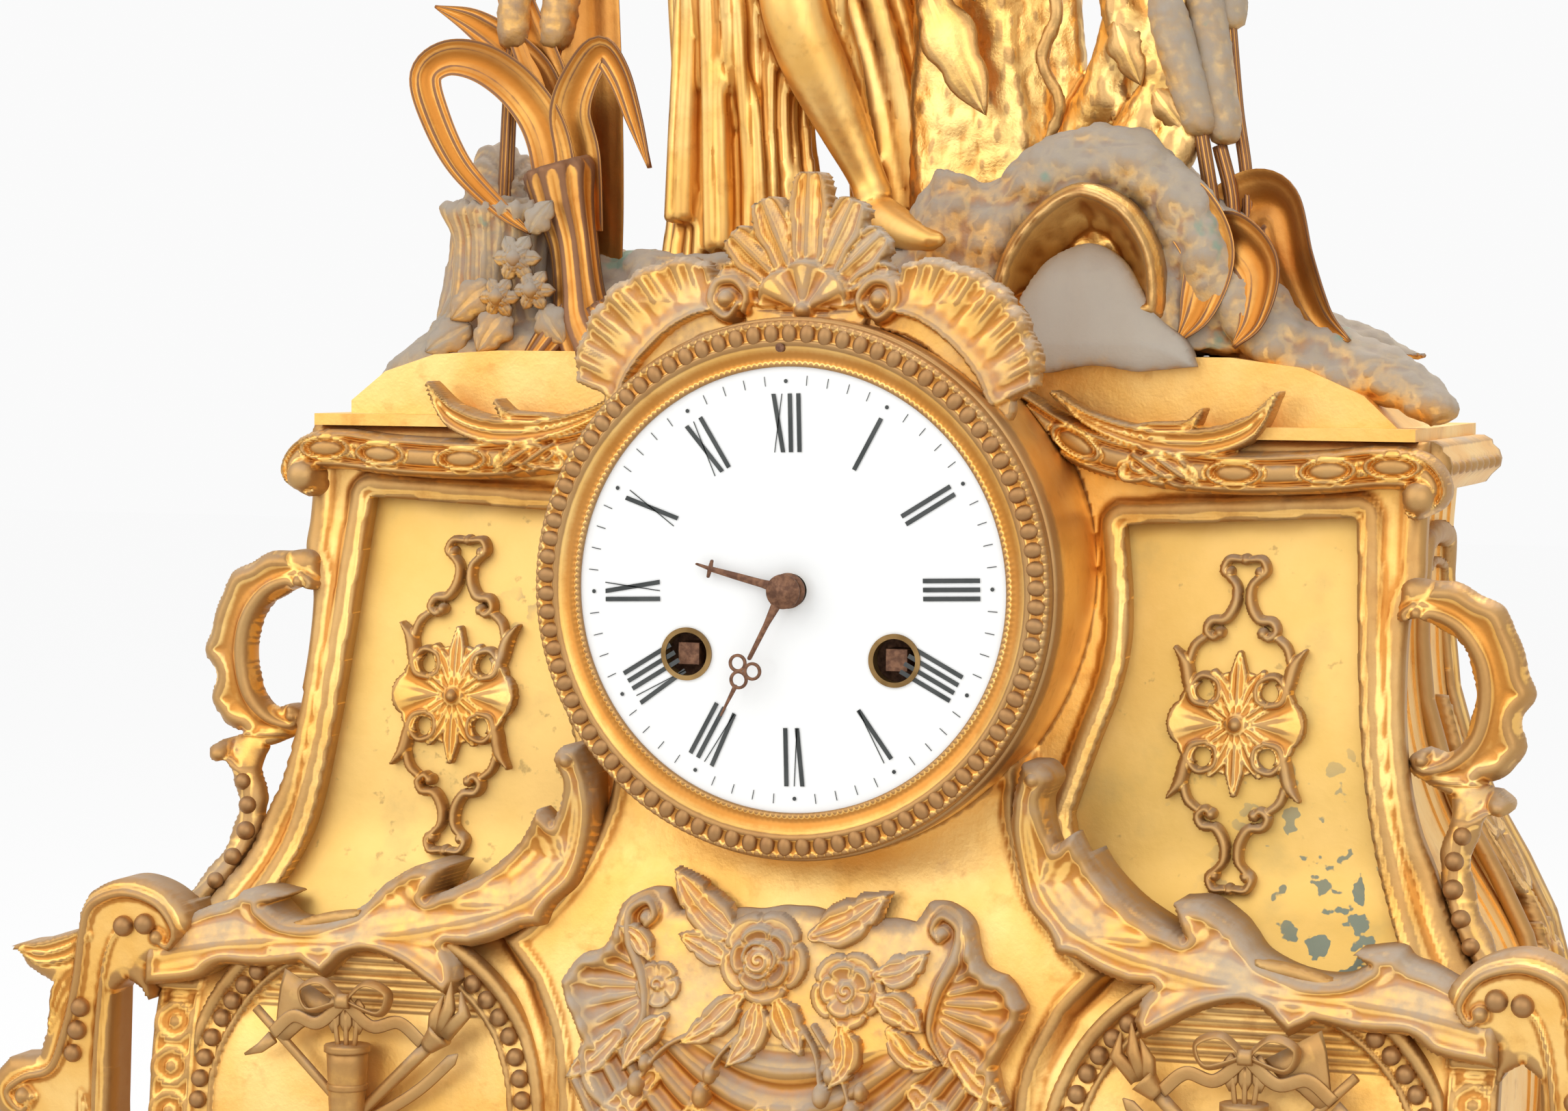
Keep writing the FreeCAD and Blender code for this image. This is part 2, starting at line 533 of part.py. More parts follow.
def tube(x, z, y0, y1, outer, inner):
    return rod(x, z, y0, y1, outer).cut(rod(x, z, y0, y1, inner))


def joined(shapes):
    """The shapes as one solid, or as many as do not meet."""
    whole = shapes[0].multiFuse(shapes[1:]) if len(shapes) > 1 else shapes[0]
    return whole.removeSplitter()


def turned(points):
    """A solid turned about the dial's axis, from radius and depth."""
    corners = [vec(r, y, 0) for r, y in points]
    wire = Part.makePolygon(corners + corners[:1])
    return Part.Face(wire).revolve(Vector(), Vector(0, 1, 0), 360)


def limb(points):
    """A round tapering limb through x, y, z and radius."""
    places = [vec(x, y, z) for x, y, z, radius in points]
    rings = []
    for index, (x, y, z, radius) in enumerate(points):
        before = places[max(index - 1, 0)]
        after = places[min(index + 1, len(places) - 1)]
        rings.append(Part.Wire(Part.Circle(places[index], after - before, radius).toShape()))
    return Part.makeLoft(rings, True, True)


def leaf(points):
    """A thin blade that follows a path, with its width across the path in the front's plane."""
    places = [vec(x, y, z) for x, y, z, width in points]
    sections = []
    for index, (x, y, z, width) in enumerate(points):
        before = places[max(index - 1, 0)]
        after = places[min(index + 1, len(places) - 1)]
        along = (after - before).normalize()
        across = along.cross(Vector(0, 1, 0)).normalize()
        through = along.cross(across).normalize()
        a = across * (width * 0.5)
        t = through * (leafThick * 0.5)
        corners = [places[index] + a + t, places[index] - a + t, places[index] - a - t,
                   places[index] + a - t]
        sections.append(Part.makePolygon(corners + corners[:1]))
    return Part.makeLoft(sections, True, True)


def mound(levels, lobes=5):
    """A lobed mass through level loops: height, middle, half sizes and depth of the lobes."""
    rings = []
    count = 3 * lobes
    for index, (z, x, y, across, deep, lobed) in enumerate(levels):
        points = []
        for step in range(count):
            angle = 2 * math.pi * step / count
            swell = 1 + lobed * math.cos(lobes * angle + index)
            points.append(vec(x + across * swell * math.cos(angle), y + deep * swell * math.sin(angle), z))
        loop = Part.BSplineCurve()
        loop.interpolate(Points=points, PeriodicFlag=True)
        rings.append(Part.Wire(loop.toShape()))
    return Part.makeLoft(rings, True, False)


def body(levels):
    return mound([(z, x, y, across, deep, 0) for z, x, y, across, deep in levels])


def raised(levels):
    """Shares of the figure's height, placed from the ledge."""
    return [(level[0] * figureHeight + ledgeTop,) + tuple(s * figureHeight for s in level[1:5]) + level[5:]
            for level in levels]


def route(points):
    return [(x * figureHeight, y * figureHeight, z * figureHeight + ledgeTop, size * figureHeight)
            for x, y, z, size in points]


def gear(x, z, front, thick, teeth, module, phase, slim=False):
    """A toothed wheel with straight flanks, a tooth on the given angle; slim for a pinion's leaves."""
    tipRise, rootDrop = (0.5, 1.05) if slim else (0.7, 0.95)
    rootShare, pitchShare, tipShare = (0.21, 0.19, 0.10) if slim else (0.29, 0.21, 0.10)
    pitch = module * teeth / 2
    step = 2 * math.pi / teeth
    flank = [(pitch - rootDrop * module, -rootShare), (pitch, -pitchShare),
             (pitch + tipRise * module, -tipShare)]
    flank += [(radius, -share) for radius, share in reversed(flank)]
    corners = []
    for tooth in range(teeth):
        for radius, share in flank:
            angle = phase + (tooth + share) * step
            corners.append(vec(x + radius * math.cos(angle), front, z + radius * math.sin(angle)))
    face = Part.Face(Part.makePolygon(corners + corners[:1]))
    return face.extrude(vec(0, thick, 0))


def way(a, b):
    return math.atan2(b[1] - a[1], b[0] - a[0])


def gapFacing(a, b, teeth):
    """The phase that turns a gap of the wheel at b towards the tooth of the wheel at a."""
    return way(b, a) + math.pi / teeth


def between(a, b, fromA, fromB, side):
    """The point at two distances from two centres, on the given side of the line between them."""
    length = math.hypot(b[0] - a[0], b[1] - a[1])
    along = (fromA ** 2 - fromB ** 2 + length ** 2) / (2 * length)
    off = side * math.sqrt(fromA ** 2 - along ** 2)
    ux, uz = (b[0] - a[0]) / length, (b[1] - a[1]) / length
    return (a[0] + along * ux - off * uz, a[1] + along * uz + off * ux)


def polar(centre, distance, degrees):
    angle = math.radians(degrees)
    return (centre[0] + distance * math.cos(angle), centre[1] + distance * math.sin(angle))


# Where the movement's arbors stand
centre = (0.0, 0.0)
goingPlace = (windX, windZ)
strikePlace = (-windX, windZ)
barrelPitch = barrelModule * barrelTeeth / 2
middlePlace = between(centre, goingPlace, wheelModule * (middleTeeth + centrePinion) / 2,
                      barrelModule * (barrelTeeth + trainPinion) / 2, 1)
escapePlace = (0.0, escapeZ)
thirdPlace = between(centre, escapePlace, centreModule * (centreTeeth + thirdPinion) / 2,
                     thirdModule * (thirdTeeth + escapePinion) / 2, 1)
pinPlace = polar(strikePlace, barrelModule * (barrelTeeth + trainPinion) / 2, strikeTurn)
flyPlace = polar(pinPlace, pinModule * (pinTeeth + flyPinion) / 2, flyTurn)
minutePlace = (0.0, motionModule * (cannonTeeth + minuteTeeth) / 2)
hammerPlace = (hammerX, hammerZ)
palletPlace = (0.0, palletZ)
pillarShares = [(0.837, 0.317), (0.362, 0.826), (-0.362, 0.826), (0.068, -0.882)]
pillarPlaces = [(x * plateRadius, z * plateRadius) for x, z in pillarShares]
arborPlaces = [middlePlace, thirdPlace, escapePlace, pinPlace, flyPlace, hammerPlace]

# The drum's bore, and the well behind it that holds the movement
drumHole = rod(0, 0, -overrun, drumBack + overrun, drumOuter + runGap)
movementWell = rod(0, 0, drumBack - terraceWall, terraceFront + terraceDepth - terraceWall, drumInner)
inFront = ribbon(frontShares, -overrun, 0, -2 * facadeHalf, 2 * facadeHalf)
belowLedge = block(-2 * facadeHalf, 2 * facadeHalf, -overrun, 2 * caseRear, bodyBottom, terraceTop)


def grownPanel(reach):
    """The panel's outline moved outwards."""
    ways = ((-1, 1), (1, 1), (1, 0), (0, -1), (-1, -1), (-1, 0))
    return [[(x + reach * shift / facadeHalf, z + reach * lift / facadeHeight) for x, z in run]
            for run, (shift, lift) in zip(panelShares, ways)]


def frontHalf():
    half = ribbon(frontShares, 0, frontWall, 0, facadeHalf)
    half = half.common(slab(wallShares, -overrun, overrun * 2))
    boss = ribbon(bossShares, 0, overrun, 0, facadeHalf).common(slab(bossOutlineShares, -overrun, overrun))
    boss = boss.common(ribbon(frontShares, -overrun, frontWall, 0, facadeHalf))
    window = slab(panelShares, -overrun, overrun * 2)
    ridge = slab(grownPanel(ridgeWidth), -overrun,
                 overrun * 2).common(ribbon(frontShares, -ridgeRise, 0, 0, facadeHalf))
    half = half.fuse(boss).fuse(ridge.cut(boss)).cut(window).cut(drumHole)
    return half


def frontCasting():
    half = frontHalf()
    return half.fuse(mirrored(half)).removeSplitter()


def sideCasting():
    outer = [vec(x, -overrun, z) for x, z in heights(sideShares, facadeHalf)]
    inner = [vec(x - sideWall, -overrun, z) for x, z in heights(sideShares, facadeHalf)]
    edges = [curve(outer), line(outer[-1], inner[-1]), curve(inner), line(inner[0], outer[0])]
    profile = Part.Face(Part.Wire(Part.sortEdges(edges)[0]))
    wall = profile.extrude(vec(0, overrun + caseBack, 0))
    ribs = []
    pitch = (caseBack - frontSweep - 2 * frontWall) / fluteCount
    for index in range(fluteCount):
        rib = profile.extrude(vec(0, pitch * 0.5, 0))
        rib.translate(vec(fluteRise - sideWall * 0.5,
                          overrun + frontSweep + frontWall + pitch * (index + 0.75), 0))
        ribs.append(rib)
    lugs = [block(x - lugHalf, x + boltInset - sideWall, y - lugHalf, y + lugHalf, bodyBottom,
                  bodyBottom + lugHeight)
            for x, y in boltPlaces if x > 0]
    wall = wall.multiFuse(ribs + lugs)
    for x, y in boltPlaces:
        wall = wall.cut(upright(x, y, bodyBottom - lugHeight, bodyBottom + lugHeight * 2,
                                boltRadius + runGap))
    return wall.cut(ribbon(frontShares, -3 * overrun, frontWall, -2 * facadeHalf, 2 * facadeHalf))


def backCasting():
    right = heights(sideShares, facadeHalf)
    left = [(-x, z) for x, z in right]
    points = [vec(x, caseBack, z) for x, z in right]
    others = [vec(x, caseBack, z) for x, z in left]
    edges = [curve(points), line(points[-1], others[-1]), curve(others), line(others[0], points[0])]
    plate = Part.Face(Part.Wire(Part.sortEdges(edges)[0])).extrude(vec(0, backWall, 0))
    return plate.cut(rod(0, 0, caseBack - backWall, caseRear + backWall, spigotInner + slipGap * 4))


def topSlab():
    half = sideShares[0][1] * facadeHalf + fluteRise
    plate = block(-half, half, frontSweep - corniceProud * 0.5, caseRear + fluteRise, bodyTop, slabTop)
    plate = plate.cut(rod(0, 0, -overrun, drumBack, drumOuter + runGap))
    return plate.cut(rod(0, 0, caseRear, caseRear + fluteRise, rearBezelRadius + slipGap)).cut(movementWell)


def cornice():
    bar = slab(corniceShares, -overrun, overrun * 2).common(ribbon(frontShares, -corniceProud, 0, 0,
                                                                   facadeHalf))
    return bar.cut(drumHole)


def sideCornice(side):
    """A round-nosed moulding along the top of a side casting."""
    x0 = sideShares[0][1] * facadeHalf
    z0 = corniceFootShare * facadeHeight
    y0 = frontSweep + frontWall + slipGap
    noseShares = [(0, 0), (0.45, 0), (0.85, 0.2), (1, 0.5), (0.85, 0.8), (0.45, 1), (0, 1)]
    points = [vec(x0 + x * corniceProud, y0, z0 + z * (bodyTop - z0)) for x, z in noseShares]
    bar = Part.Face(Part.makePolygon(points + points[:1])).extrude(vec(0, caseRear - y0, 0))
    return bar.cut(side)


def panelPlate():
    plate = slab(grownPanel(windowLap), -overrun, overrun * 2)
    plate = plate.common(ribbon(frontShares, frontWall, frontWall + panelThick, 0, facadeHalf))
    return plate.cut(drumHole)


def panelApplique():
    plate = slab(appliqueShares, -overrun, overrun * 2).cut(slab(appliqueWindowShares, -overrun,
                                                                 overrun * 2))
    for x, z in facade(appliqueHoleShares):
        plate = plate.cut(rod(x, z, -overrun, overrun * 2, appliqueThick * 0.5))
    plate = plate.common(ribbon(frontShares, frontWall - appliqueThick, frontWall, 0, facadeHalf))
    return plate


def sideScroll(front, side):
    scroll = slab(handleShares, handleFront, handleFront + handleThick)
    drop = slab(handleShares, 0, overrun).common(ribbon(frontShares, -beadRise, handleThick, 0,
                                                        2 * facadeHalf))
    low = block(0, 2 * facadeHalf, -overrun, overrun, bodyBottom, strutHeadShare * facadeHeight)
    scroll = scroll.cut(low).fuse(drop.common(low))
    for x, z in facade(strutBeadShares):
        y = depthAt(z, frontShares) - beadRise
        scroll = scroll.fuse(Part.makeSphere(strutBead, vec(x, y, z)))
    return scroll.cut(front).cut(side)


def depthAt(z, shares):
    """How far a front curve stands behind the dial's face at a height."""
    points = sorted(heights(shares, frontSweep), key=lambda place: place[1])
    for (y0, z0), (y1, z1) in zip(points, points[1:]):
        if z <= z1:
            return y0 + (y1 - y0) * (z - z0) / (z1 - z0)
    return points[-1][0]


def cornerBracket(others):
    bracket = slab(bracketShares, -bracketProud, bracketThick - bracketProud)
    for x, z in facade(bracketBeadShares):
        bracket = bracket.fuse(Part.makeSphere(strutBead, vec(x, -bracketProud, z)))
    return bracket.cut(others)


def medallion(front):
    x, z = facade(medallionShares)[0]
    deep = frontSweep * 0.5
    face = -medallionRise
    ring = tube(x, z, face, deep, medallionRadius, medallionRadius - medallionBand)
    beads = Part.makeTorus(medallionRadius - medallionBand * 0.5, strutBead, vec(x, face, z),
                           Vector(0, 1, 0))
    ground = rod(x, z, face + medallionRise - medallionDepth, deep, medallionRadius - medallionBand * 0.5)
    whole = ring.fuse(beads).fuse(ground)
    return whole.common(inFront).cut(front)


def trophy():
    x, z = facade(medallionShares)[0]
    y = -medallionDepth - trophyRod
    reach = medallionRadius - medallionBand - trophyRod
    arms = []
    for degrees in (38.0, 142.0, 62.0, 118.0):
        angle = math.radians(degrees)
        along = vec(math.cos(angle), 0, math.sin(angle))
        start = vec(x, y, z) - along * (reach * 0.9)
        arms.append(Part.makeCylinder(trophyRod, reach * 1.8, start, along))
    axe = Part.makeCylinder(reach * 0.3, trophyRod,
                            vec(x + reach * 0.55, y - trophyRod * 0.5, z + reach * 0.5),
                            Vector(0, 1, 0))
    quiver = Part.makeCone(trophyRod * 1.6, trophyRod * 2.4, reach * 0.9, vec(x, y, z - reach * 0.3),
                           Vector(0, 0, 1))
    knot = Part.makeSphere(trophyRod * 1.8, vec(x, y, z + reach * 0.7))
    bows = [Part.makeSphere(trophyRod * 1.5, vec(x + side * trophyRod * 2.4, y,
                                                 z + reach * 0.74)) for side in (-1, 1)]
    whole = joined(arms + [axe, quiver, knot] + bows)
    behind = block(0, facadeHalf * 2, -medallionDepth, overrun, bodyBottom, 0)
    return whole.cut(behind)


def acanthus(others):
    leafy = slab(acanthusOutlineShares, -overrun, overrun).common(inFront)
    leafy = leafy.common(ribbon(acanthusShares, 0, overrun, -facadeHalf, 2 * facadeHalf))
    return leafy.cut(others + [drumHole])


def cartouche(front):
    half = slab(shellShares, -overrun, overrun).common(ribbon(bossShares, -shellRise, 0, -facadeHalf,
                                                              2 * facadeHalf))
    x, z = facade(roseShares)[0]
    parts = [half, mirrored(half)]
    places = [(x, z, size, rise) for size, rise in ((1.0, 0.25), (0.72, 0.4), (0.4, 0.52))]
    places += [(x + over * roseRadius, z - drop * roseRadius, size, 0.3)
               for over, drop, size in ((2.2, 0.8, 0.85), (-2.9, 0.9, 0.55))]
    for x, z, size, rise in places:
        parts.append(Part.makeCone(roseRadius * size, roseRadius * size * 0.8,
                                   rise * roseRadius + shellRise,
                                   vec(x, depthAt(z, bossShares), z), Vector(0, -1, 0)))
    return parts[0].multiFuse(parts[1:]).removeSplitter().cut(front)


def drum():
    return tube(0, 0, bezelRise * 0.33, drumBack, drumOuter, drumInner)


bezelShares = [(0, 0), (0, 0.33), (0.11, 0.47), (0.15, 0.35), (0.38, 0.6), (0.49, 1.0), (0.53, 0.8),
               (0.6, 1.05),
             (0.7, 1.15), (0.8, 1.05), (0.87, 0.8), (0.92, 0.85), (1, 0.55)]


def bezelRing():
    front = [(dialSight + bezelWidth * across, -bezelRise * rise) for across, rise in bezelShares]
    seat = bezelRise * 0.33
    back = [(bezelOuter, seat), (spigotOuter, seat), (spigotOuter, spigotLength),
            (spigotInner, spigotLength),
            (spigotInner, panBack), (bezelBore, panBack), (bezelBore, 0)]
    ring = turned(front + back)
    return ring.cut(rod(regulatorX, regulatorZ, -overrun, overrun, regulatorRadius + runGap))


def bezelCrest():
    half = slab(crestShares, crestFront, crestFront + crestThick)
    crest = half.fuse(mirrored(half)).cut(drumHole)
    boss = Part.makeSphere(crestThick, vec(0, crestFront + crestThick * 0.5, drumOuter + crestThick))
    return crest.fuse(boss).removeSplitter()


def dialEnamel():
    disc = rod(0, 0, 0, enamelThick, enamelRadius).cut(rod(0, 0, -overrun, overrun, dialHole))
    for x, z in (goingPlace, strikePlace):
        disc = disc.cut(rod(x, z, -overrun, overrun, windHole))
    return disc


def dialPan():
    pan = rod(0, 0, enamelThick, panBack, enamelRadius).cut(rod(0, 0, -overrun, overrun, dialHole))
    for x, z in (goingPlace, strikePlace):
        pan = pan.cut(rod(x, z, -overrun, overrun, windHole))
    for degrees in (30.0, 150.0, 270.0):
        x, z = polar(centre, plateRadius - pillarRadius * 2, degrees)
        pan = pan.fuse(rod(x, z, panBack, plateFront, pillarRadius * 0.5))
    return pan


def windingGrommets():
    rings = []
    for x, z in (goingPlace, strikePlace):
        ring = rod(x, z, 0, panBack, windHole).fuse(rod(x, z, -grommetFlange, 0, windHole + grommetFlange))
        rings.append(ring.cut(rod(x, z, -overrun, overrun, windHole - grommetFlange)))
    return Part.makeCompound(rings)


def movementPlate(front, holes):
    plate = rod(0, 0, front, front + plateThick, plateRadius)
    for (x, z), radius in holes:
        plate = plate.cut(rod(x, z, front - overrun, front + overrun, radius + runGap))
    return plate


def frontPlate():
    holes = [(centre, cannonRadius), (goingPlace, windArbor), (strikePlace, windArbor)]
    holes += [(place, pivotRadius) for place in arborPlaces + [palletPlace]]
    stud = rod(minutePlace[0], minutePlace[1], plateFront - wheelThick * 4, plateFront, arborRadius)
    return movementPlate(plateFront, holes).fuse(stud)


def backPlate():
    holes = [(centre, pivotRadius), (goingPlace, windArbor * 0.5), (strikePlace, windArbor * 0.5),
             (palletPlace, arborRadius * 2), (hammerPlace, arborRadius)]
    holes += [(place, pivotRadius) for place in arborPlaces if place != hammerPlace]
    plate = movementPlate(plateBack, holes)
    pillars = [rod(x, z, plateFront + plateThick, plateBack, pillarRadius) for x, z in pillarPlaces]
    return plate.multiFuse(pillars)


def backCock():
    foot = cockHalf * 0.3
    low = palletZ - cockThick * 2
    high = palletZ + cockHalf * 0.6
    bridge = block(-cockHalf, cockHalf, cockFront, cockFront + cockThick, low, high)
    feet = [block(side * cockHalf - (foot if side > 0 else 0), side * cockHalf + (0 if side > 0 else foot),
                  plateRear, cockFront, low, low + foot) for side in (-1, 1)]
    chops = block(-cockThick * 2, cockThick * 2, cockFront + cockThick, pendulumY + cockThick,
                  palletZ + cockThick * 2, palletZ + cockThick * 4)
    ear = block(regulatorX - cockThick * 2, regulatorX + cockThick * 2, cockFront, cockFront + cockThick,
                high, regulatorZ + cockThick * 2)
    cock = bridge.multiFuse(feet + [chops, ear])
    cock = cock.cut(rod(0, palletZ, 0, overrun * 2, pivotRadius + runGap).common(
        block(-overrun, overrun, 0, cockFront + cockThick, 0, overrun)))
    return cock.cut(rod(regulatorX, regulatorZ, 0, overrun * 2, regulatorRadius + runGap))


def windingArbor(x, z):
    """Square for the key, ratchet before the front plate, and the barrel's arbor behind it."""
    half = windSquare / 2
    ratchetFront = plateFront - runGap * 4 - ratchetThick
    square = block(x - half, x + half, squareStart, ratchetFront, z - half, z + half)
    corners = []
    teeth = 24
    for tooth in range(teeth):
        for share, radius in ((0, ratchetRadius), (0.12, ratchetRadius * 0.86),
                              (0.95, ratchetRadius * 0.97)):
            angle = 2 * math.pi * (tooth + share) / teeth
            corners.append(vec(x + radius * math.cos(angle), ratchetFront, z + radius * math.sin(angle)))
    ratchet = Part.Face(Part.makePolygon(corners + corners[:1])).extrude(vec(0, ratchetThick, 0))
    shaft = rod(x, z, ratchetFront + ratchetThick, plateBack - wheelThick, windArbor)
    pivot = rod(x, z, plateBack - wheelThick, plateRear, windArbor * 0.5)
    return square.multiFuse([ratchet, shaft, pivot])


def barrel(place, phase):
    x, z = place
    drumRadius = barrelPitch - barrelModule * 2
    shell = rod(x, z, barrelFront, barrelBack, drumRadius)
    teeth = gear(x, z, flangeFront, barrelFlange, barrelTeeth, barrelModule, phase)
    return shell.fuse(teeth).cut(rod(x, z, 0, overrun, windArbor + runGap))


def arbor(place, front=None, back=None, radius=None):
    x, z = place
    front = plateFront + plateThick + wheelThick * 0.5 if front is None else front
    back = plateBack - wheelThick * 0.5 if back is None else back
    thick = rod(x, z, front, back, radius or arborRadius)
    return thick.multiFuse([rod(x, z, plateFront, front, pivotRadius),
                            rod(x, z, back, plateRear, pivotRadius)])


def crossed(place, front, thick, rim):
    """Four openings that leave a wheel its rim, hub and arms."""
    x, z = place
    hub = arborRadius * 3
    ring = tube(x, z, front - runGap, front + thick + runGap, rim, hub)
    arm = arborRadius * 1.2
    bars = [block(x - rim, x + rim, front - wheelThick, front + thick + wheelThick, z - arm, z + arm),
            block(x - arm, x + arm, front - wheelThick, front + thick + wheelThick, z - rim, z + rim)]
    return ring.cut(bars[0]).cut(bars[1])


def goingBarrel():
    return barrel(goingPlace, way(goingPlace, middlePlace))


def strikeBarrel():
    return barrel(strikePlace, way(strikePlace, pinPlace))


def middleWheel():
    x, z = middlePlace
    pinion = gear(x, z, barrelPinionFront, pinionLength, trainPinion, barrelModule,
                  gapFacing(goingPlace, middlePlace, trainPinion), True)
    wheel = gear(x, z, middleFront, wheelThick, middleTeeth, wheelModule, way(middlePlace, centre))
    wheel = wheel.cut(crossed(middlePlace, middleFront, wheelThick, wheelModule * middleTeeth * 0.4))
    return arbor(middlePlace).multiFuse([pinion, wheel])


def centreWheel():
    pinion = gear(0, 0, middlePinionFront, plateBack - wheelThick * 0.5 - middlePinionFront, centrePinion,
                  wheelModule, gapFacing(middlePlace, centre, centrePinion), True)
    wheel = gear(0, 0, centreFront, wheelThick, centreTeeth, centreModule, way(centre, thirdPlace))
    wheel = wheel.cut(crossed(centre, centreFront, wheelThick, centreModule * centreTeeth * 0.4))
    cannon = gear(0, 0, motionFront, wheelThick, cannonTeeth, motionModule,
                  gapFacing(minutePlace, centre, cannonTeeth), True)
    tubeFront = rod(0, 0, minuteHandPlane, plateFront + plateThick + wheelThick * 0.5, cannonRadius)
    shaft = rod(0, 0, plateFront + plateThick, middlePinionFront, arborRadius)
    pivot = rod(0, 0, middlePinionFront, plateRear, pivotRadius)
    return tubeFront.multiFuse([shaft, pivot, pinion, wheel, cannon])


def thirdWheel():
    x, z = thirdPlace
    pinion = gear(x, z, thirdPinionFront, pinionLength, thirdPinion, centreModule,
                  gapFacing(centre, thirdPlace, thirdPinion), True)
    wheel = gear(x, z, thirdFront, wheelThick, thirdTeeth, thirdModule, way(thirdPlace, escapePlace))
    wheel = wheel.cut(crossed(thirdPlace, thirdFront, wheelThick, thirdModule * thirdTeeth * 0.4))
    return arbor(thirdPlace).multiFuse([pinion, wheel])


def escapeWheel():
    x, z = escapePlace
    pinion = gear(x, z, escapePinionFront, pinionLength, escapePinion, thirdModule,
                  gapFacing(thirdPlace, escapePlace, escapePinion), True)
    corners = []
    for tooth in range(escapeTeeth):
        for share, radius in ((0, escapeRadius), (0.1, escapeRadius), (0.35, escapeRadius * 0.83),
                              (0.95, escapeRadius * 0.83)):
            angle = 2 * math.pi * (tooth + share) / escapeTeeth
            corners.append(vec(x + radius * math.cos(angle), escapeFront, z + radius * math.sin(angle)))
    wheel = Part.Face(Part.makePolygon(corners + corners[:1])).extrude(vec(0, wheelThick * 0.6, 0))
    wheel = wheel.cut(crossed(escapePlace, escapeFront, wheelThick * 0.6, escapeRadius * 0.68))
    return arbor(escapePlace, radius=pivotRadius).multiFuse([pinion, wheel])


def pinWheel():
    x, z = pinPlace
    pinion = gear(x, z, barrelPinionFront, pinionLength, trainPinion, barrelModule,
                  gapFacing(strikePlace, pinPlace, trainPinion), True)
    wheel = gear(x, z, pinWheelFront, wheelThick, pinTeeth, pinModule, way(pinPlace, flyPlace))
    pins = [rod(*polar(pinPlace, pinModule * pinTeeth * 0.4, 360.0 * index / pinCount),
                pinWheelFront + wheelThick,
                pinWheelFront + wheelThick * 2.5, pinRadius) for index in range(pinCount)]
    return arbor(pinPlace).multiFuse([pinion, wheel] + pins)


def fly():
    x, z = flyPlace
    pinion = gear(x, z, flyPinionFront, pinionLength, flyPinion, pinModule,
                  gapFacing(pinPlace, flyPlace, flyPinion), True)
    bladeFront = barrelFront + wheelThick
    blade = block(x - flyHalf, x + flyHalf, bladeFront, bladeFront + flyLength, z - pinRadius * 0.5,
                  z + pinRadius * 0.5)
    return arbor(flyPlace, radius=pivotRadius).multiFuse([pinion, blade])


def minuteWheel():
    x, z = minutePlace
    wheel = gear(x, z, motionFront, wheelThick, minuteTeeth, motionModule, way(minutePlace, centre))
    hourModule = motionModule * (cannonTeeth + minuteTeeth) / (minutePinion + hourTeeth)
    pinion = gear(x, z, hourFront, motionFront - hourFront, minutePinion, hourModule,
                  way(minutePlace, centre), True)
    return wheel.fuse(pinion).cut(rod(x, z, -overrun, overrun, arborRadius + runGap))


def hourWheel():
    hourModule = motionModule * (cannonTeeth + minuteTeeth) / (minutePinion + hourTeeth)
    wheel = gear(0, 0, hourFront, wheelThick, hourTeeth, hourModule,
                 gapFacing(minutePlace, centre, hourTeeth))
    pipe = rod(0, 0, handPlane, hourFront + wheelThick, hourPipe)
    return wheel.fuse(pipe).cut(rod(0, 0, -overrun, overrun, cannonRadius + runGap))


def handBlade(length, clock, front):
    """A slim tapering hand on a round boss, turned clockwise from twelve."""
    root = handCollet * 0.45
    tip = handCollet * 0.12
    corners = [(-root, 0), (-root * 0.7, length * 0.35), (-root * 1.2, length * 0.5),
               (-tip * 1.6, length * 0.55),
               (0, length), (tip * 1.6, length * 0.55), (root * 1.2, length * 0.5),
               (root * 0.7, length * 0.35), (root, 0)]
    points = [vec(x, front, z) for x, z in corners]
    blade = Part.Face(Part.makePolygon(points + points[:1])).extrude(vec(0, handThick, 0))
    blade.rotate(Vector(), Vector(0, 1, 0), clock)
    return blade


def minuteHand():
    blade = handBlade(minuteHandLength, minuteClock, minuteHandPlane - handThick)
    boss = rod(0, 0, minuteHandPlane - handThick, minuteHandPlane, handCollet * 0.85)
    collet = rod(0, 0, minuteHandPlane - handThick * 2.4, minuteHandPlane - handThick, handCollet)
    pin = rod(0, 0, minuteHandPlane - handThick * 3.4, minuteHandPlane - handThick * 2.4, pivotRadius)
    return blade.multiFuse([boss, collet, pin])


def hourHand():
    blade = handBlade(hourHandLength, hourClock, handPlane - handThick)
    boss = rod(0, 0, handPlane - handThick, handPlane, handCollet * 1.05)
    bar = block(-handCollet * 0.35, handCollet * 0.35, handPlane - handThick, handPlane,
                hourHandLength * 0.94,
                hourHandLength * 0.97)
    bar.rotate(Vector(), Vector(0, 1, 0), hourClock)
    return blade.multiFuse([boss, bar]).cut(rod(0, 0, -overrun, overrun, cannonRadius + runGap * 2))


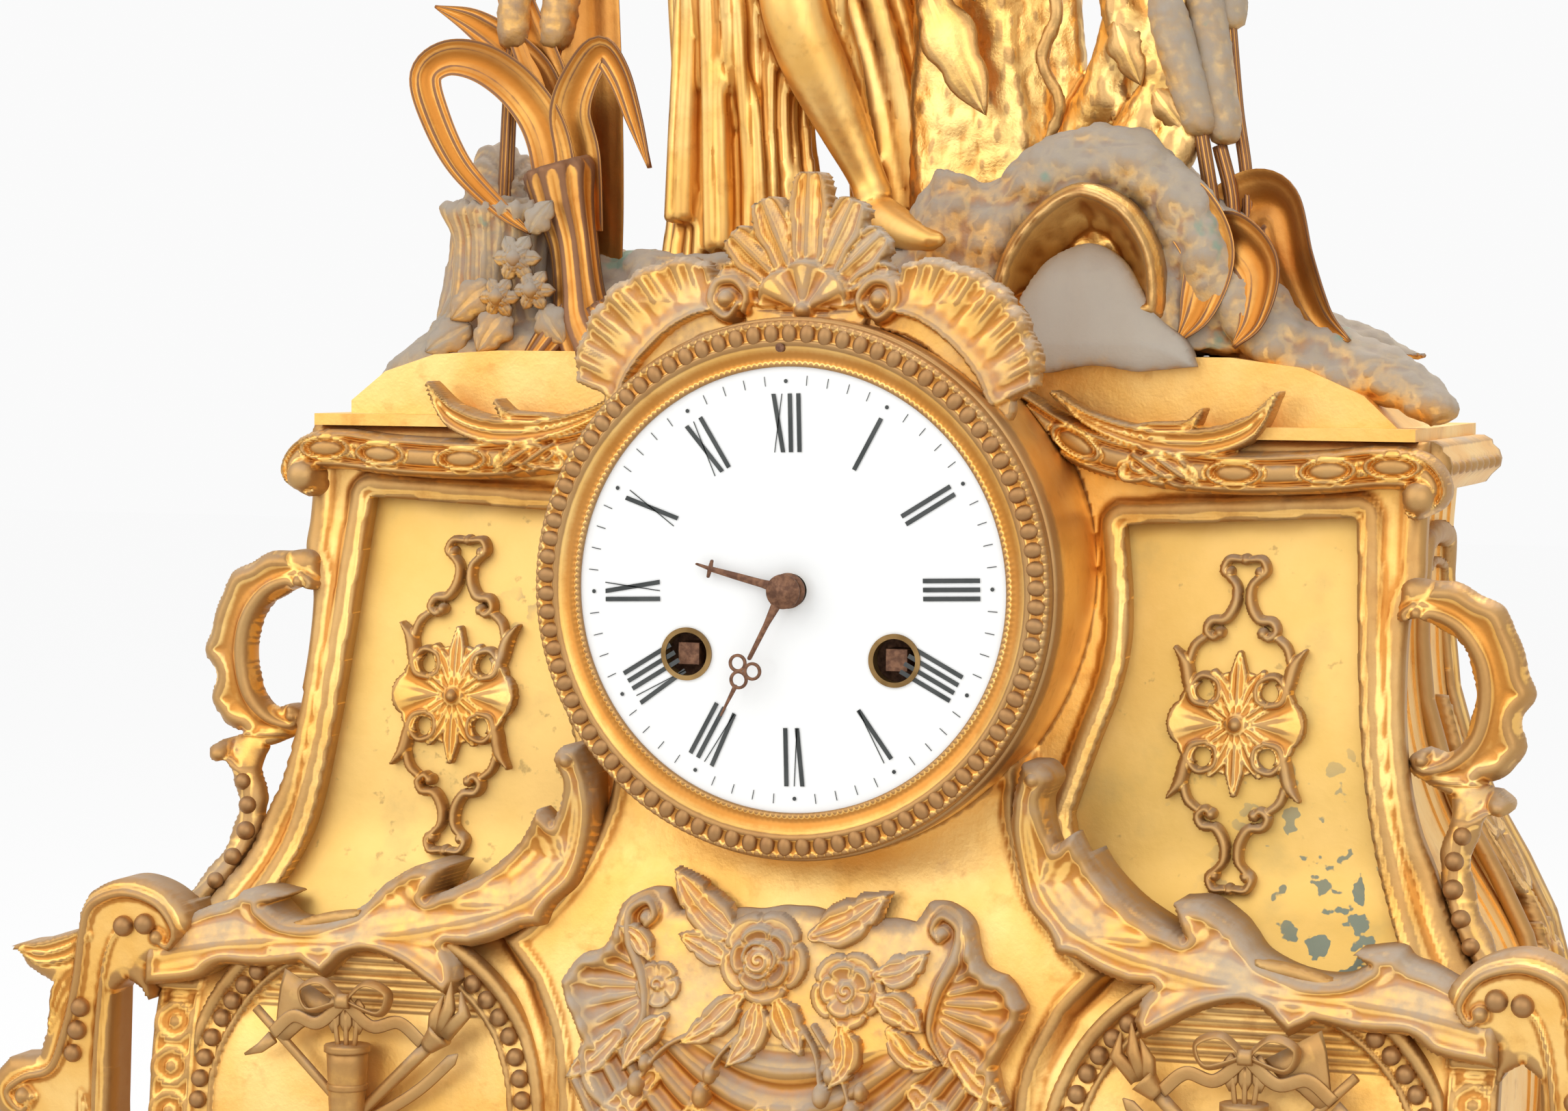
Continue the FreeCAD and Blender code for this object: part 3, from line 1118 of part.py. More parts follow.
def anchor():
    """Pallets that span the escape wheel just outside its tips, their arbor and the crutch."""
    palletShares = [(-0.10, 0.10), (0.10, 0.10), (0.56, -0.30), (0.60, -0.50), (0.50, -0.47), (0.46, -0.32),
               (0.08, -0.12), (-0.08, -0.12), (-0.46, -0.32), (-0.50, -0.47), (-0.60, -0.50),
               (-0.56, -0.30)]
    span = palletZ - escapeZ
    points = [vec(x * span, escapeFront, palletZ + z * span) for x, z in palletShares]
    plate = Part.Face(Part.makePolygon(points + points[:1])).extrude(vec(0, wheelThick * 0.6, 0))
    shaft = rod(0, palletZ, plateFront + plateThick + wheelThick * 0.5, cockFront - runGap * 4, arborRadius)
    pivots = [rod(0, palletZ, plateFront, plateFront + plateThick + wheelThick * 0.5, pivotRadius),
              rod(0, palletZ, cockFront - runGap * 4, cockFront + cockThick, pivotRadius)]
    crutchFront = plateRear + wheelThick
    crutch = block(-rodRadius, rodRadius, crutchFront, crutchFront + wheelThick * 0.7, crutchFoot, palletZ)
    pin = rod(0, crutchFoot + rodRadius, crutchFront, pendulumY - rodRadius, pivotRadius)
    return plate.multiFuse([shaft, crutch, pin] + pivots)


def pendulum():
    low = palletZ - bobDrop
    top = palletZ + cockThick * 2 - slipGap * 1.5
    spring = block(-pinRadius * 0.4, pinRadius * 0.4, pendulumY - rodRadius, pendulumY + rodRadius,
                   palletZ - rodRadius * 8, top)
    shaft = Part.makeCylinder(rodRadius, palletZ - rodRadius * 7 - low, vec(0, pendulumY, low),
                              Vector(0, 0, 1))
    lens = rod(0, low, pendulumY - bobThick * 0.25, pendulumY + bobThick * 0.25, bobRadius)
    crown = rod(0, low, pendulumY - bobThick * 0.5, pendulumY + bobThick * 0.5, bobRadius * 0.72)
    nut = Part.makeCylinder(rodRadius * 2.4, rodRadius * 2,
                            vec(0, pendulumY, low - bobRadius - rodRadius * 4),
                            Vector(0, 0, 1))
    tail = Part.makeCylinder(rodRadius, bobRadius + rodRadius * 5,
                             vec(0, pendulumY, low - bobRadius - rodRadius * 5),
                             Vector(0, 0, 1))
    return spring.multiFuse([shaft, lens, crown, nut, tail])


def regulatorArbor():
    shaft = rod(regulatorX, regulatorZ, -bezelRise, cockFront + cockThick * 2, regulatorRadius)
    wheel = rod(regulatorX, regulatorZ, cockFront + cockThick * 1.3, cockFront + cockThick * 2,
                regulatorRadius * 3.5)
    return shaft.fuse(wheel)


def hammer():
    shaft = rod(hammerX, hammerZ, plateFront + plateThick + wheelThick * 0.5, bellFront + bobThick * 0.3,
                arborRadius)
    pivot = rod(hammerX, hammerZ, plateFront, plateFront + plateThick + wheelThick * 0.5, pivotRadius)
    headX, headZ = polar(hammerPlace, hammerArm, 80.0)
    foot = vec(hammerX, bellFront, hammerZ)
    along = vec(headX, bellFront, headZ) - foot
    arm = Part.makeCylinder(rodRadius, along.Length, foot, along)
    head = rod(headX, headZ, bellFront - hammerHead * 0.6, bellFront + hammerHead * 1.6, hammerHead)
    tailX, tailZ = polar(hammerPlace, hammerHead * 1.2, 35.0)
    tail = Part.makeCylinder(pinRadius, hammerHead * 1.2,
                             vec(hammerX, pinWheelFront + wheelThick * 1.8, hammerZ),
                             vec(tailX - hammerX, 0, tailZ - hammerZ))
    return shaft.multiFuse([pivot, arm, head, tail])


def bell():
    steps = 10
    outer = []
    inner = []
    for index in range(steps + 1):
        share = index / steps
        radius = math.cos(share * math.pi / 2) ** 0.55
        outer.append((bellRadius * radius, bellFront + bellDepth * share))
        inner.append(((bellRadius - bellWall) * radius, bellFront + (bellDepth - bellWall) * share))
    inner[-1] = (0, bellFront + bellDepth - bellWall)
    outer[-1] = (0, bellFront + bellDepth)
    cup = turned(outer + inner[::-1])
    return cup.cut(rod(0, 0, 0, caseRear, rodRadius * 1.5 + runGap))


def bellStand(gong):
    """A post from the back plate, an arm inside the mouth, and the stud that carries the bell."""
    armFront = bellFront + rodRadius * 2
    post = rod(standX, standZ, plateRear, armFront + rodRadius * 3, rodRadius * 2)
    start = vec(standX, armFront + rodRadius * 1.5, standZ)
    arm = Part.makeCylinder(rodRadius * 1.4, math.hypot(standX, standZ), start,
                            vec(-standX, 0, -standZ))
    stud = rod(0, 0, armFront, bellFront + bellDepth + rodRadius * 3, rodRadius * 1.5)
    shoulder = rod(0, 0, armFront, bellFront + bellDepth - bellWall - runGap, rodRadius * 3)
    nut = rod(0, 0, bellFront + bellDepth, bellFront + bellDepth + rodRadius * 2, rodRadius * 3.5)
    return post.multiFuse([arm, stud, shoulder, nut]).cut(gong)


def movementStraps():
    straps = []
    for side in (-1, 1):
        edges = sorted((side * strapFace, side * (strapFace - strapThick)))
        straps.append(block(edges[0], edges[1], strapStart, caseRear, -strapHalf, strapHalf))
    return Part.makeCompound(straps)


def rearBezel():
    ring = tube(0, 0, caseRear, caseRear + rearBezelThick, rearBezelRadius, strapFace - strapThick * 2)
    knuckle = hingeHalf("post")
    return ring.fuse(knuckle).cut(hingeBore(hingePin))


def hingeHalf(kind):
    """Outer knuckles on the bezel, the middle one on the door, along an upright pin."""
    spans = [(-1.5, -0.5), (0.5, 1.5)] if kind == "post" else [(-0.5, 0.5)]
    pieces = []
    for low, high in spans:
        z0 = low * knuckleLength + slipGap * 0.5
        tall = (high - low) * knuckleLength - slipGap
        pieces.append(Part.makeCylinder(hingeRadius, tall, vec(hingeX, hingeY, z0), Vector(0, 0, 1)))
        if kind == "post":
            pieces.append(block(hingeX - hingeRadius, hingeX, caseRear + rearBezelThick * 0.5, hingeY, z0,
                                z0 + tall))
        else:
            pieces.append(block(hingeX, hingeX + hingeRadius * 4, hingeY, hingeY + doorThick, z0,
                                z0 + tall))
    return pieces[0].multiFuse(pieces[1:])


def hingeBore(radius):
    return Part.makeCylinder(radius, knuckleLength * 6, vec(hingeX, hingeY, -knuckleLength * 3),
                             Vector(0, 0, 1))


def rearDoor():
    """A turned cover with a rolled rim, its hinge pin and a small knob."""
    front = hingeY
    radius = strapFace - strapThick
    disc = rod(0, 0, front, front + doorThick, radius)
    rim = tube(0, 0, front, front + doorThick * 1.8, radius, radius - doorThick * 2)
    boss = rod(0, 0, front, front + doorThick * 1.8, radius * 0.3)
    knob = rod(radius - doorThick * 4, 0, front, front + doorThick * 4, doorThick * 1.5)
    pin = Part.makeCylinder(hingePin - runGap, knuckleLength * 3, vec(hingeX, hingeY, -knuckleLength * 1.5),
                            Vector(0, 0, 1))
    return disc.multiFuse([rim, boss, knob, hingeHalf("door"), pin])


def terraceCasting():
    half = terraceHalf
    rise = terraceHeight
    terraceShares = [(-1, 0), (-1, 0.2), (-0.93, 0.66), (-0.83, 0.93), (-0.7, 1), (0.7, 1), (0.83, 0.86),
                     (0.94, 0.46), (1, 0)]
    outer = [vec(x * half, terraceFront, slabTop + z * rise) for x, z in terraceShares]
    inner = [vec(x * (half - terraceWall), terraceFront + terraceWall, slabTop + z * (rise - terraceWall))
             for x, z in terraceShares]
    solid = Part.Face(Part.makePolygon(outer + outer[:1])).extrude(vec(0, terraceDepth, 0))
    hollow = Part.Face(Part.makePolygon(inner + inner[:1])).extrude(vec(0, terraceDepth - terraceWall * 2,
                                                                        0))
    return solid.cut(hollow).cut(movementWell)


def rockMound(terrace):
    ledge = mound(raised(ledgeLevelShares))
    spring = mound(raised(springShares))
    stump = mound(raised(stumpShares))
    rock = ledge.fuse(spring).fuse(stump)
    archX, archZ, lip = (share * figureHeight for share in archShares)
    arch = rod(archX, archZ + ledgeTop, terraceFront - overrun, terraceFront + lip * 1.2, lip)
    sides = block(-2 * facadeHalf, 2 * facadeHalf, -overrun, 2 * caseRear, slabTop, terraceTop)
    return rock.cut([arch, terrace, movementWell, belowLedge.cut([terrace, sides])])


def treeTrunk(rock):
    trunk = mound(raised(trunkShares), 6)
    branch = limb(route(branchShares))
    return trunk.fuse(branch).cut(rock)


def figure(rock, trunk):
    pieces = [body(raised(gownShares)), body(raised(neckShares)), body(raised(headShares)),
              body(raised(bunShares))]
    pieces += [limb(route(shares)) for shares in (thighShares, footShares, rightArmShares, leftArmShares)]
    whole = pieces[0]
    for piece in pieces[1:]:
        whole = whole.fuse(piece)
    return whole.cut(rock).cut(trunk)


def plants(stems, heads, leaves, rock):
    pieces = [limb(route(shares)) for shares in stems + heads] + [leaf(route(shares)) for shares in leaves]
    whole = pieces[0]
    for piece in pieces[1:]:
        whole = whole.fuse(piece)
    return whole.cut(rock)


def basePlinth():
    half = facadeHalf + plinthOverhang
    front = -plinthFront
    lower = block(-half, half, front, plinthBack, plinthLow, plinthTop - plinthStep)
    upper = block(-half + plinthStep, half - plinthStep, front + plinthStep, plinthBack - plinthStep * 0.5,
                  plinthTop - plinthStep, plinthTop)
    well = block(-facadeHalf + plinthOverhang, facadeHalf - plinthOverhang, plinthFront * 2,
                 caseBack - plinthFront,
                 plinthLow, plinthTop)
    holes = [upright(x, y, plinthLow - lugHeight, plinthTop + lugHeight, boltRadius + runGap) for x,
             y in boltPlaces]
    return lower.fuse(upper).cut([well] + holes)


def scrollFeet():
    half = facadeHalf + plinthOverhang + footProud
    feet = []
    for sideX in (-1, 1):
        for near in (True, False):
            x0, x1 = sorted((sideX * half, sideX * (half - footLength)))
            depth = footLength * 0.9
            y0 = footprintFrontY if near else footprintBackY - depth
            foot = block(x0, x1, y0, y0 + depth, footLow, plinthLow)
            corners = [edge for edge in foot.Edges if abs(edge.tangentAt(edge.FirstParameter).z) > 0.9]
            feet.append(foot.makeFillet(footHeight * 0.3, corners))
    return Part.makeCompound(feet)


def caseBolts():
    """Screws from under the plinth into the lugs inside the side castings."""
    bolts = [upright(x, y, plinthLow, plinthTop + lugHeight, boltRadius).fuse(
        upright(x, y, plinthLow - boltRadius, plinthLow, boltRadius * 2)) for x, y in boltPlaces]
    return Part.makeCompound(bolts)


front = frontCasting()
side = sideCasting()
crest = bezelCrest()
scroll = sideScroll(front, side)
rightBracket = cornerBracket([front, side, scroll])
rightAcanthus = acanthus([front, scroll, rightBracket])
rightMedallion = medallion(front).cut(rightAcanthus)
rightCornice = cornice()
terrace = terraceCasting()
rock = rockMound(terrace)
trunk = treeTrunk(rock)
gong = bell()

pieces = {
    "scroll_feet": scrollFeet(),
    "base_plinth": basePlinth(),
    "front_casting": front,
    "side_casting_left": mirrored(side),
    "side_casting_right": side,
    "back_casting": backCasting(),
    "top_slab": topSlab(),
    "cornice_left": mirrored(rightCornice),
    "cornice_right": rightCornice,
    "side_cornices": pair(sideCornice(side)),
    "panel_plates": pair(panelPlate()),
    "panel_appliques": pair(panelApplique()),
    "side_scroll_left": mirrored(scroll),
    "side_scroll_right": scroll,
    "corner_bracket_left": mirrored(rightBracket),
    "corner_bracket_right": rightBracket,
    "medallions": pair(rightMedallion),
    "trophies": pair(trophy()),
    "acanthus_left": mirrored(rightAcanthus),
    "acanthus_right": rightAcanthus,
    "cartouche": cartouche(front),
    "drum": drum(),
    "bezel_ring": bezelRing(),
    "bezel_crest": crest,
    "dial_enamel": dialEnamel(),
    "dial_pan": dialPan(),
    "winding_grommets": windingGrommets(),
    "terrace_casting": terrace,
    "rock_mound": rock,
    "tree_trunk": trunk,
    "figure": figure(rock, trunk),
    "reeds_left": plants(leftStemShares, leftHeadShares, leftLeafShares, rock),
    "reeds_right": plants(rightStemShares, rightHeadShares, rightLeafShares, rock),
    "front_plate": frontPlate(),
    "back_plate": backPlate(),
    "back_cock": backCock(),
    "bell_stand": bellStand(gong),
    "bell": gong,
    "movement_straps": movementStraps(),
    "rear_bezel": rearBezel(),
    "rear_door": rearDoor(),
    "case_bolts": caseBolts(),
    "minute_hand": minuteHand(),
    "hour_hand": hourHand(),
    "centre_wheel": centreWheel(),
    "minute_wheel": minuteWheel(),
    "hour_wheel": hourWheel(),
    "going_barrel": goingBarrel(),
    "intermediate_wheel": middleWheel(),
    "third_wheel": thirdWheel(),
    "escape_wheel": escapeWheel(),
    "anchor": anchor(),
    "pendulum": pendulum(),
    "going_winding_arbor": windingArbor(*goingPlace),
    "strike_winding_arbor": windingArbor(*strikePlace),
    "strike_barrel": strikeBarrel(),
    "pin_wheel": pinWheel(),
    "fly": fly(),
    "hammer": hammer(),
    "regulator_arbor": regulatorArbor(),
}

os.makedirs("parts", exist_ok=True)
for name, shape in pieces.items():
    placed = shape.copy()
    placed.translate(vec(0, -dialSetback, dialHeight))
    placed.exportStep("parts/" + name + ".step")
    print(name, "solids", len(placed.Solids), "valid", placed.isValid(), "volume", round(placed.Volume))
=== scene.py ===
import json
import math
import bmesh
import bpy
import numpy as np
from mathutils import Matrix, Vector, noise


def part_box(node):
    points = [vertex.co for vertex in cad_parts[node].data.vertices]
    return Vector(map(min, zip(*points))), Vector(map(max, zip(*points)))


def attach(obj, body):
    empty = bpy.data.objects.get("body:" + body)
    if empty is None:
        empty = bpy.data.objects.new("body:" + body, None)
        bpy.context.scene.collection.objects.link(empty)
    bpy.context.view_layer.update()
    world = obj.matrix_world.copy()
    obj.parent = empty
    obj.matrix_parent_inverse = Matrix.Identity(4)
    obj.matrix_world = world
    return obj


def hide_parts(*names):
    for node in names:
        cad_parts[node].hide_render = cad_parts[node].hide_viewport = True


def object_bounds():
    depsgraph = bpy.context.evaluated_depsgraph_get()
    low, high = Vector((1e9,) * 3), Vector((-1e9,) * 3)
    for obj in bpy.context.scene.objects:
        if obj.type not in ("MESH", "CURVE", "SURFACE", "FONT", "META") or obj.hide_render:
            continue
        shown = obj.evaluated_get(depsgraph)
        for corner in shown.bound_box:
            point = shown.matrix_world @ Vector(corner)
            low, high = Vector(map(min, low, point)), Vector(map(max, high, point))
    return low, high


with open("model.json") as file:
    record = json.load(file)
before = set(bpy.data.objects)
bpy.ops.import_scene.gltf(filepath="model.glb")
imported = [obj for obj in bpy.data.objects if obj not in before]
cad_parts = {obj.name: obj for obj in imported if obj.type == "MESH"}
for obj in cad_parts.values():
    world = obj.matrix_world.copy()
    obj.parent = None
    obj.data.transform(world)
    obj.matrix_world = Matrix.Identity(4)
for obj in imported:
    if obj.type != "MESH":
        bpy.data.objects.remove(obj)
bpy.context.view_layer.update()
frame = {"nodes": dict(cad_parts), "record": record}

# Everything below is drawn in millimetres about the dial's centre: x right, y backwards, z up
dialLow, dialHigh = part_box("dial_enamel")
dialCentre = np.array((0, dialLow.y, (dialLow.z + dialHigh.z) / 2))
millimetre = 0.001


def toFrame(points):
    return np.asarray(points, float) * millimetre + dialCentre


def smoothLine(points, step=1.0):
    # an even run of points on a curve through the given ones, of any dimension
    points = [np.asarray(p, float) for p in points]
    if len(points) < 3:
        return np.array(points)
    row = [2 * points[0] - points[1]] + points + [2 * points[-1] - points[-2]]
    dense = []
    for a, b, c, d in zip(row, row[1:], row[2:], row[3:]):
        count = max(2, int(np.linalg.norm(c[:3] - b[:3]) / step) + 1)
        for t in np.linspace(0, 1, count, endpoint=False):
            dense.append(0.5 * (2 * b + (c - a) * t + (2 * a - 5 * b + 4 * c - d) * t * t
                + (3 * b - a - 3 * c + d) * t ** 3))
    return np.array(dense + points[-1:])


def outlineOf(*runs):
    # curved runs joined by straight lines
    return np.vstack([smoothLine(run) for run in runs])


def arcPoints(x, z, radius, start, end, count):
    angles = np.radians(np.linspace(start, end, count))
    return np.column_stack((x + radius * np.cos(angles), z + radius * np.sin(angles)))


def nearLine(x, z, line):
    # distance to a line, how far along it, which side, and its whole length
    best = np.full(x.shape, 1e9)
    along = np.zeros(x.shape)
    side = np.ones(x.shape)
    total = 0.0
    for (ax, az), (bx, bz) in zip(line, line[1:]):
        dx, dz = bx - ax, bz - az
        length = math.hypot(dx, dz)
        if length < 1e-9:
            continue
        t = unit(((x - ax) * dx + (z - az) * dz) / length ** 2)
        ox, oz = x - ax - t * dx, z - az - t * dz
        gap = ox * ox + oz * oz
        nearer = gap < best
        best = np.where(nearer, gap, best)
        along = np.where(nearer, total + t * length, along)
        side = np.where(nearer, np.sign(dx * oz - dz * ox), side)
        total += length
    return np.sqrt(best), along, side, total


def insideOf(x, z, outline):
    # distance to an outline, positive inside
    closed = np.vstack([outline, outline[:1]])
    gap, _, _, _ = nearLine(x, z, closed)
    inside = np.zeros(x.shape, bool)
    for (ax, az), (bx, bz) in zip(closed, closed[1:]):
        if az == bz:
            continue
        crossing = (az > z) != (bz > z)
        inside ^= crossing & (x < ax + (bx - ax) * (z - az) / (bz - az))
    return np.where(inside, gap, -gap)


def unit(value):
    return np.clip(value, 0, 1)


def hump(value, middle, width):
    # a soft swelling of height 1 about a middle value
    return np.exp(-((value - middle) / width) ** 2)


def dome(depth, reach, height):
    # rises like a quarter round from an edge
    u = unit(depth / reach)
    return height * np.sqrt(1 - (1 - u) ** 2)


def bar(gap, half, height):
    return np.where(gap < half, height * np.sqrt(unit(1 - (gap / half) ** 2)), -9.0)


def smoothMax(a, b, soft):
    m = unit(0.5 + 0.5 * (a - b) / soft)
    return b + (a - b) * m + soft * m * (1 - m)


def place(name, data):
    thing = bpy.data.objects.new(name, data)
    bpy.context.scene.collection.objects.link(thing)
    return thing


def meshPiece(name, points, faces):
    # a smooth mesh from points in the frame's own metres, not in millimetres
    mesh = bpy.data.meshes.new(name)
    mesh.from_pydata(points, [], faces)
    mesh.update()
    mesh.shade_smooth()
    return place(name, mesh)


def buildMesh(name, points, faces):
    return meshPiece(name, toFrame(points).tolist(), faces)


def readOut(rows, key, width, kind=np.float32):
    values = np.empty(len(rows) * width, kind)
    rows.foreach_get(key, values)
    return values.reshape(-1, width)


def paint(mesh, material):
    mesh.materials.clear()
    mesh.materials.append(material)


# the bend in a surface, per metre, that counts as a full edge or hollow
sharpBend = 260.0


def markRelief(mesh, rounds):
    # how far each point stands proud (+) or lies in a hollow (-), for wear and for painted shade in the
    # hollows
    count = len(mesh.vertices)
    a, b = readOut(mesh.edges, "vertices", 2, np.int32).T
    where, normals = readOut(mesh.vertices, "co", 3), readOut(mesh.vertex_normals, "vector", 3)
    step = where[b] - where[a]
    length = np.maximum(np.einsum("ij,ij->i", step, step), 1e-9)
    bend = np.bincount(a, -np.einsum("ij,ij->i", normals[a], step) / length, count)
    bend += np.bincount(b, np.einsum("ij,ij->i", normals[b], step) / length, count)
    degree = np.maximum(np.bincount(a, minlength=count) + np.bincount(b, minlength=count), 1)
    value = np.clip(bend / degree / sharpBend, -1, 1)
    for _ in range(rounds):
        value = (value + (np.bincount(a, value[b], count) + np.bincount(b, value[a], count)) / degree) / 2
    layer = mesh.attributes.get("relief") or mesh.attributes.new("relief", "FLOAT", "POINT")
    layer.data.foreach_set("value", np.clip(value * 1.4, -1, 1).astype(np.float32))


def finishPiece(piece, finish, body="case", instead=(), rounds=3):
    paint(piece.data, finishes[finish])
    markRelief(piece.data, rounds)
    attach(piece, body)
    if instead:
        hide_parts(*instead)


def mirroredPiece(piece, name):
    mesh = piece.data.copy()
    mesh.name = name
    mesh.transform(Matrix.Scale(-1, 4, (1, 0, 0)))
    mesh.flip_normals()
    return place(name, mesh)


def gather(meshes):
    points, faces = [], []
    for mesh in meshes:
        first = len(points)
        points += [tuple(v.co) for v in mesh.vertices]
        faces += [[first + i for i in face.vertices] for face in mesh.polygons]
    return points, faces


def joinPieces(name, pieces):
    # several meshes become one
    points, faces = gather([piece.data for piece in pieces])
    for piece in pieces:
        bpy.data.objects.remove(piece)
    return meshPiece(name, points, faces)


def withTwin(name, half, finish, instead=()):
    # a piece of two mirrored halves
    whole = joinPieces(name, [half, mirroredPiece(half, name + " left")])
    finishPiece(whole, finish, instead=instead)


def baked(name, source):
    # a plain mesh of the source as its modifiers leave it
    evaluated = source.evaluated_get(bpy.context.evaluated_depsgraph_get())
    mesh = bpy.data.meshes.new_from_object(evaluated)
    mesh.name = name
    piece = place(name, mesh)
    bpy.data.objects.remove(source)
    return piece


class Relief:
    # a sheet of heights over part of the front, in millimetres; rim is the distance inside its edge
    def __init__(self, left, right, low, high, cell=0.6, twin=False):
        columns = np.arange(-right, right + cell, cell) if twin else np.arange(left, right + cell, cell)
        rows = np.arange(low, high + cell, cell)
        self.place, self.z = np.meshgrid(columns, rows)
        self.x = np.abs(self.place) if twin else self.place
        self.cell = cell
        self.height = np.full(self.x.shape, -9.0)
        self.rim = np.full(self.x.shape, -9.0)

    def stroke(self, points, half, height, soft=0.25):
        # a rounded strap, as wide at each place as half says
        gap, along, _, total = self.line(points, 0.7)
        wide = np.interp(along / total, np.linspace(0, 1, len(half)), half)
        self.raiseTo(bar(gap, wide, height), soft)
        self.widen(wide - gap)

    def blade(self, points, half, height, vein=0.25, lip=0.3, teeth=0.0, lines=0.0, soft=0.2):
        # a smooth leaf: hollow between its lifted edges, with a vein and fine lines
        gap, along, _, total = self.line(points, 0.7)
        t = along / total
        wide = np.interp(t, np.linspace(0, 1, len(half)), half)
        if teeth:
            phase = t * teeth - gap / max(total, 1.0) * teeth * 0.8
            wide = wide * (1 - 0.22 * (phase - np.floor(phase)) ** 2)
        u = gap / np.maximum(wide, 0.05)
        body = height * ((1 - lip) + lip * u ** 2) * unit((1 - u) * 4.5) ** 0.5
        body += vein * height * hump(u, 0, 0.16)
        if lines:
            wave = lines * np.cos(u * 3 * math.pi * 2 + t * 3)
            body += wave * unit((1 - u) * 3) * unit(u * 4)
        if teeth:
            body -= 0.10 * height * hump(phase - np.floor(phase), 0.9, 0.1) * u
        self.raiseTo(np.where(u < 1, body, -9.0), soft)
        self.widen(wide - gap)

    def away(self, x, z):
        return np.hypot(self.x - x, self.z - z)

    def widen(self, edge):
        self.rim = np.maximum(self.rim, edge)

    def disc(self, x, z, radius, height):
        gap = self.away(x, z)
        self.raiseTo(bar(gap, radius, height))
        self.widen(radius - gap)

    def raiseTo(self, height, soft=0.0):
        self.height = smoothMax(height, self.height, soft) if soft else np.maximum(height, self.height)

    def line(self, points, step=1.0):
        return nearLine(self.x, self.z, smoothLine(points, step))

    def area(self, *runs):
        return insideOf(self.x, self.z, outlineOf(*runs))

    def sheet(self, name, ground, sink):
        # an open skin that dives under the wall where nothing is raised
        height = np.maximum(self.height, -sink)
        shown = height > -sink + 0.05
        cells = shown[:-1, :-1] | shown[1:, :-1] | shown[:-1, 1:] | shown[1:, 1:]
        points, faces, _ = gridFaces(self.place, ground - height, self.z, cells)
        return buildMesh(name, points, faces)

    def solid(self, name, edge, front, back, turned=None):
        # a closed plate whose rim follows the zero of edge
        x, z = self.place.copy(), self.z.copy()
        middle = (edge[:-1, :-1] + edge[1:, :-1] + edge[:-1, 1:] + edge[1:, 1:]) / 4
        cells = middle > 0
        used = np.zeros(edge.shape, bool)
        whole = np.ones(edge.shape, bool)
        for dz in (0, 1):
            for dx in (0, 1):
                part = (slice(dz, edge.shape[0] - 1 + dz), slice(dx, edge.shape[1] - 1 + dx))
                used[part] |= cells
                whole[part] &= cells
        whole[0], whole[-1], whole[:, 0], whole[:, -1] = False, False, False, False
        rim = used & ~whole
        gz, gx = np.gradient(edge, self.cell)
        size = np.maximum(np.hypot(gx, gz), 0.4)
        shift = np.clip(edge, -self.cell, self.cell) / size
        x = np.where(rim, x - shift * gx / size, x)
        z = np.where(rim, z - shift * gz / size, z)
        return plateMesh(name, x, z, front, back, cells, turned)


def gridFaces(x, y, z, cells):
    rows, columns = x.shape
    r, c = np.nonzero(cells)
    corner = r * columns + c
    quads = np.column_stack((corner, corner + 1, corner + columns + 1, corner + columns))
    used, index = np.unique(quads, return_inverse=True)
    points = np.column_stack((x.ravel()[used], y.ravel()[used], z.ravel()[used]))
    return points, index.reshape(quads.shape).tolist(), used


def plateMesh(name, x, z, front, back, cells, turned):
    points, faces, used = gridFaces(x, front, z, cells)
    count = len(points)
    rear = points.copy()
    rear[:, 1] = back.ravel()[used]
    quads = np.array(faces)
    sides = np.concatenate([quads[:, (i, (i + 1) % 4)] for i in range(4)])
    key = np.sort(sides, 1)
    _, first, tally = np.unique(key, axis=0, return_index=True, return_counts=True)
    rim = sides[first[tally == 1]]
    walls = np.column_stack((rim[:, 1], rim[:, 0], rim[:, 0] + count, rim[:, 1] + count))
    allPoints = np.vstack([points, rear])
    if turned is not None:
        allPoints = turned(allPoints)
    allFaces = quads.tolist() + (quads[:, ::-1] + count).tolist() + walls.tolist()
    return buildMesh(name, allPoints, allFaces)


def sweep(name, path, halves, section=None, hint=(0, -1, 0), sides=16):
    # a closed skin along a path; section gives points across (first) and up (second) for each place
    path = np.asarray(path, float)
    count = len(path)
    halves = np.asarray(halves, float)
    if halves.ndim == 1:
        halves = np.column_stack((halves, halves))
    tangent = np.gradient(path, axis=0)
    tangent /= np.maximum(np.linalg.norm(tangent, axis=1, keepdims=True), 1e-9)
    up = np.asarray(hint, float)
    rings = []
    angles = np.linspace(0, 2 * math.pi, sides, endpoint=False)
    circle = np.column_stack((np.cos(angles), np.sin(angles)))
    for i in range(count):
        up = up - tangent[i] * np.dot(up, tangent[i])
        size = np.linalg.norm(up)
        up = up / size if size > 1e-6 else np.array((1.0, 0, 0))
        across = np.cross(tangent[i], up)
        shape = circle * halves[i] if section is None else section(circle, halves[i])
        rings.append(path[i] + shape[:, :1] * across + shape[:, 1:] * up)
    return skin(name, rings)


def skin(name, rings):
    # a closed skin over rings of points, with a fan at each end
    sides, count = len(rings[0]), len(rings)
    points = np.vstack([*rings, rings[0].mean(0), rings[-1].mean(0)])
    faces = []
    for i in range(count - 1):
        a, b = i * sides, (i + 1) * sides
        for j in range(sides):
            k = (j + 1) % sides
            faces.append((a + j, b + j, b + k, a + k))
    tip, last = count * sides, (count - 1) * sides
    for j in range(sides):
        k = (j + 1) % sides
        faces.append((tip, j, k))
        faces.append((tip + 1, last + k, last + j))
    return outwards(buildMesh(name, points, faces))


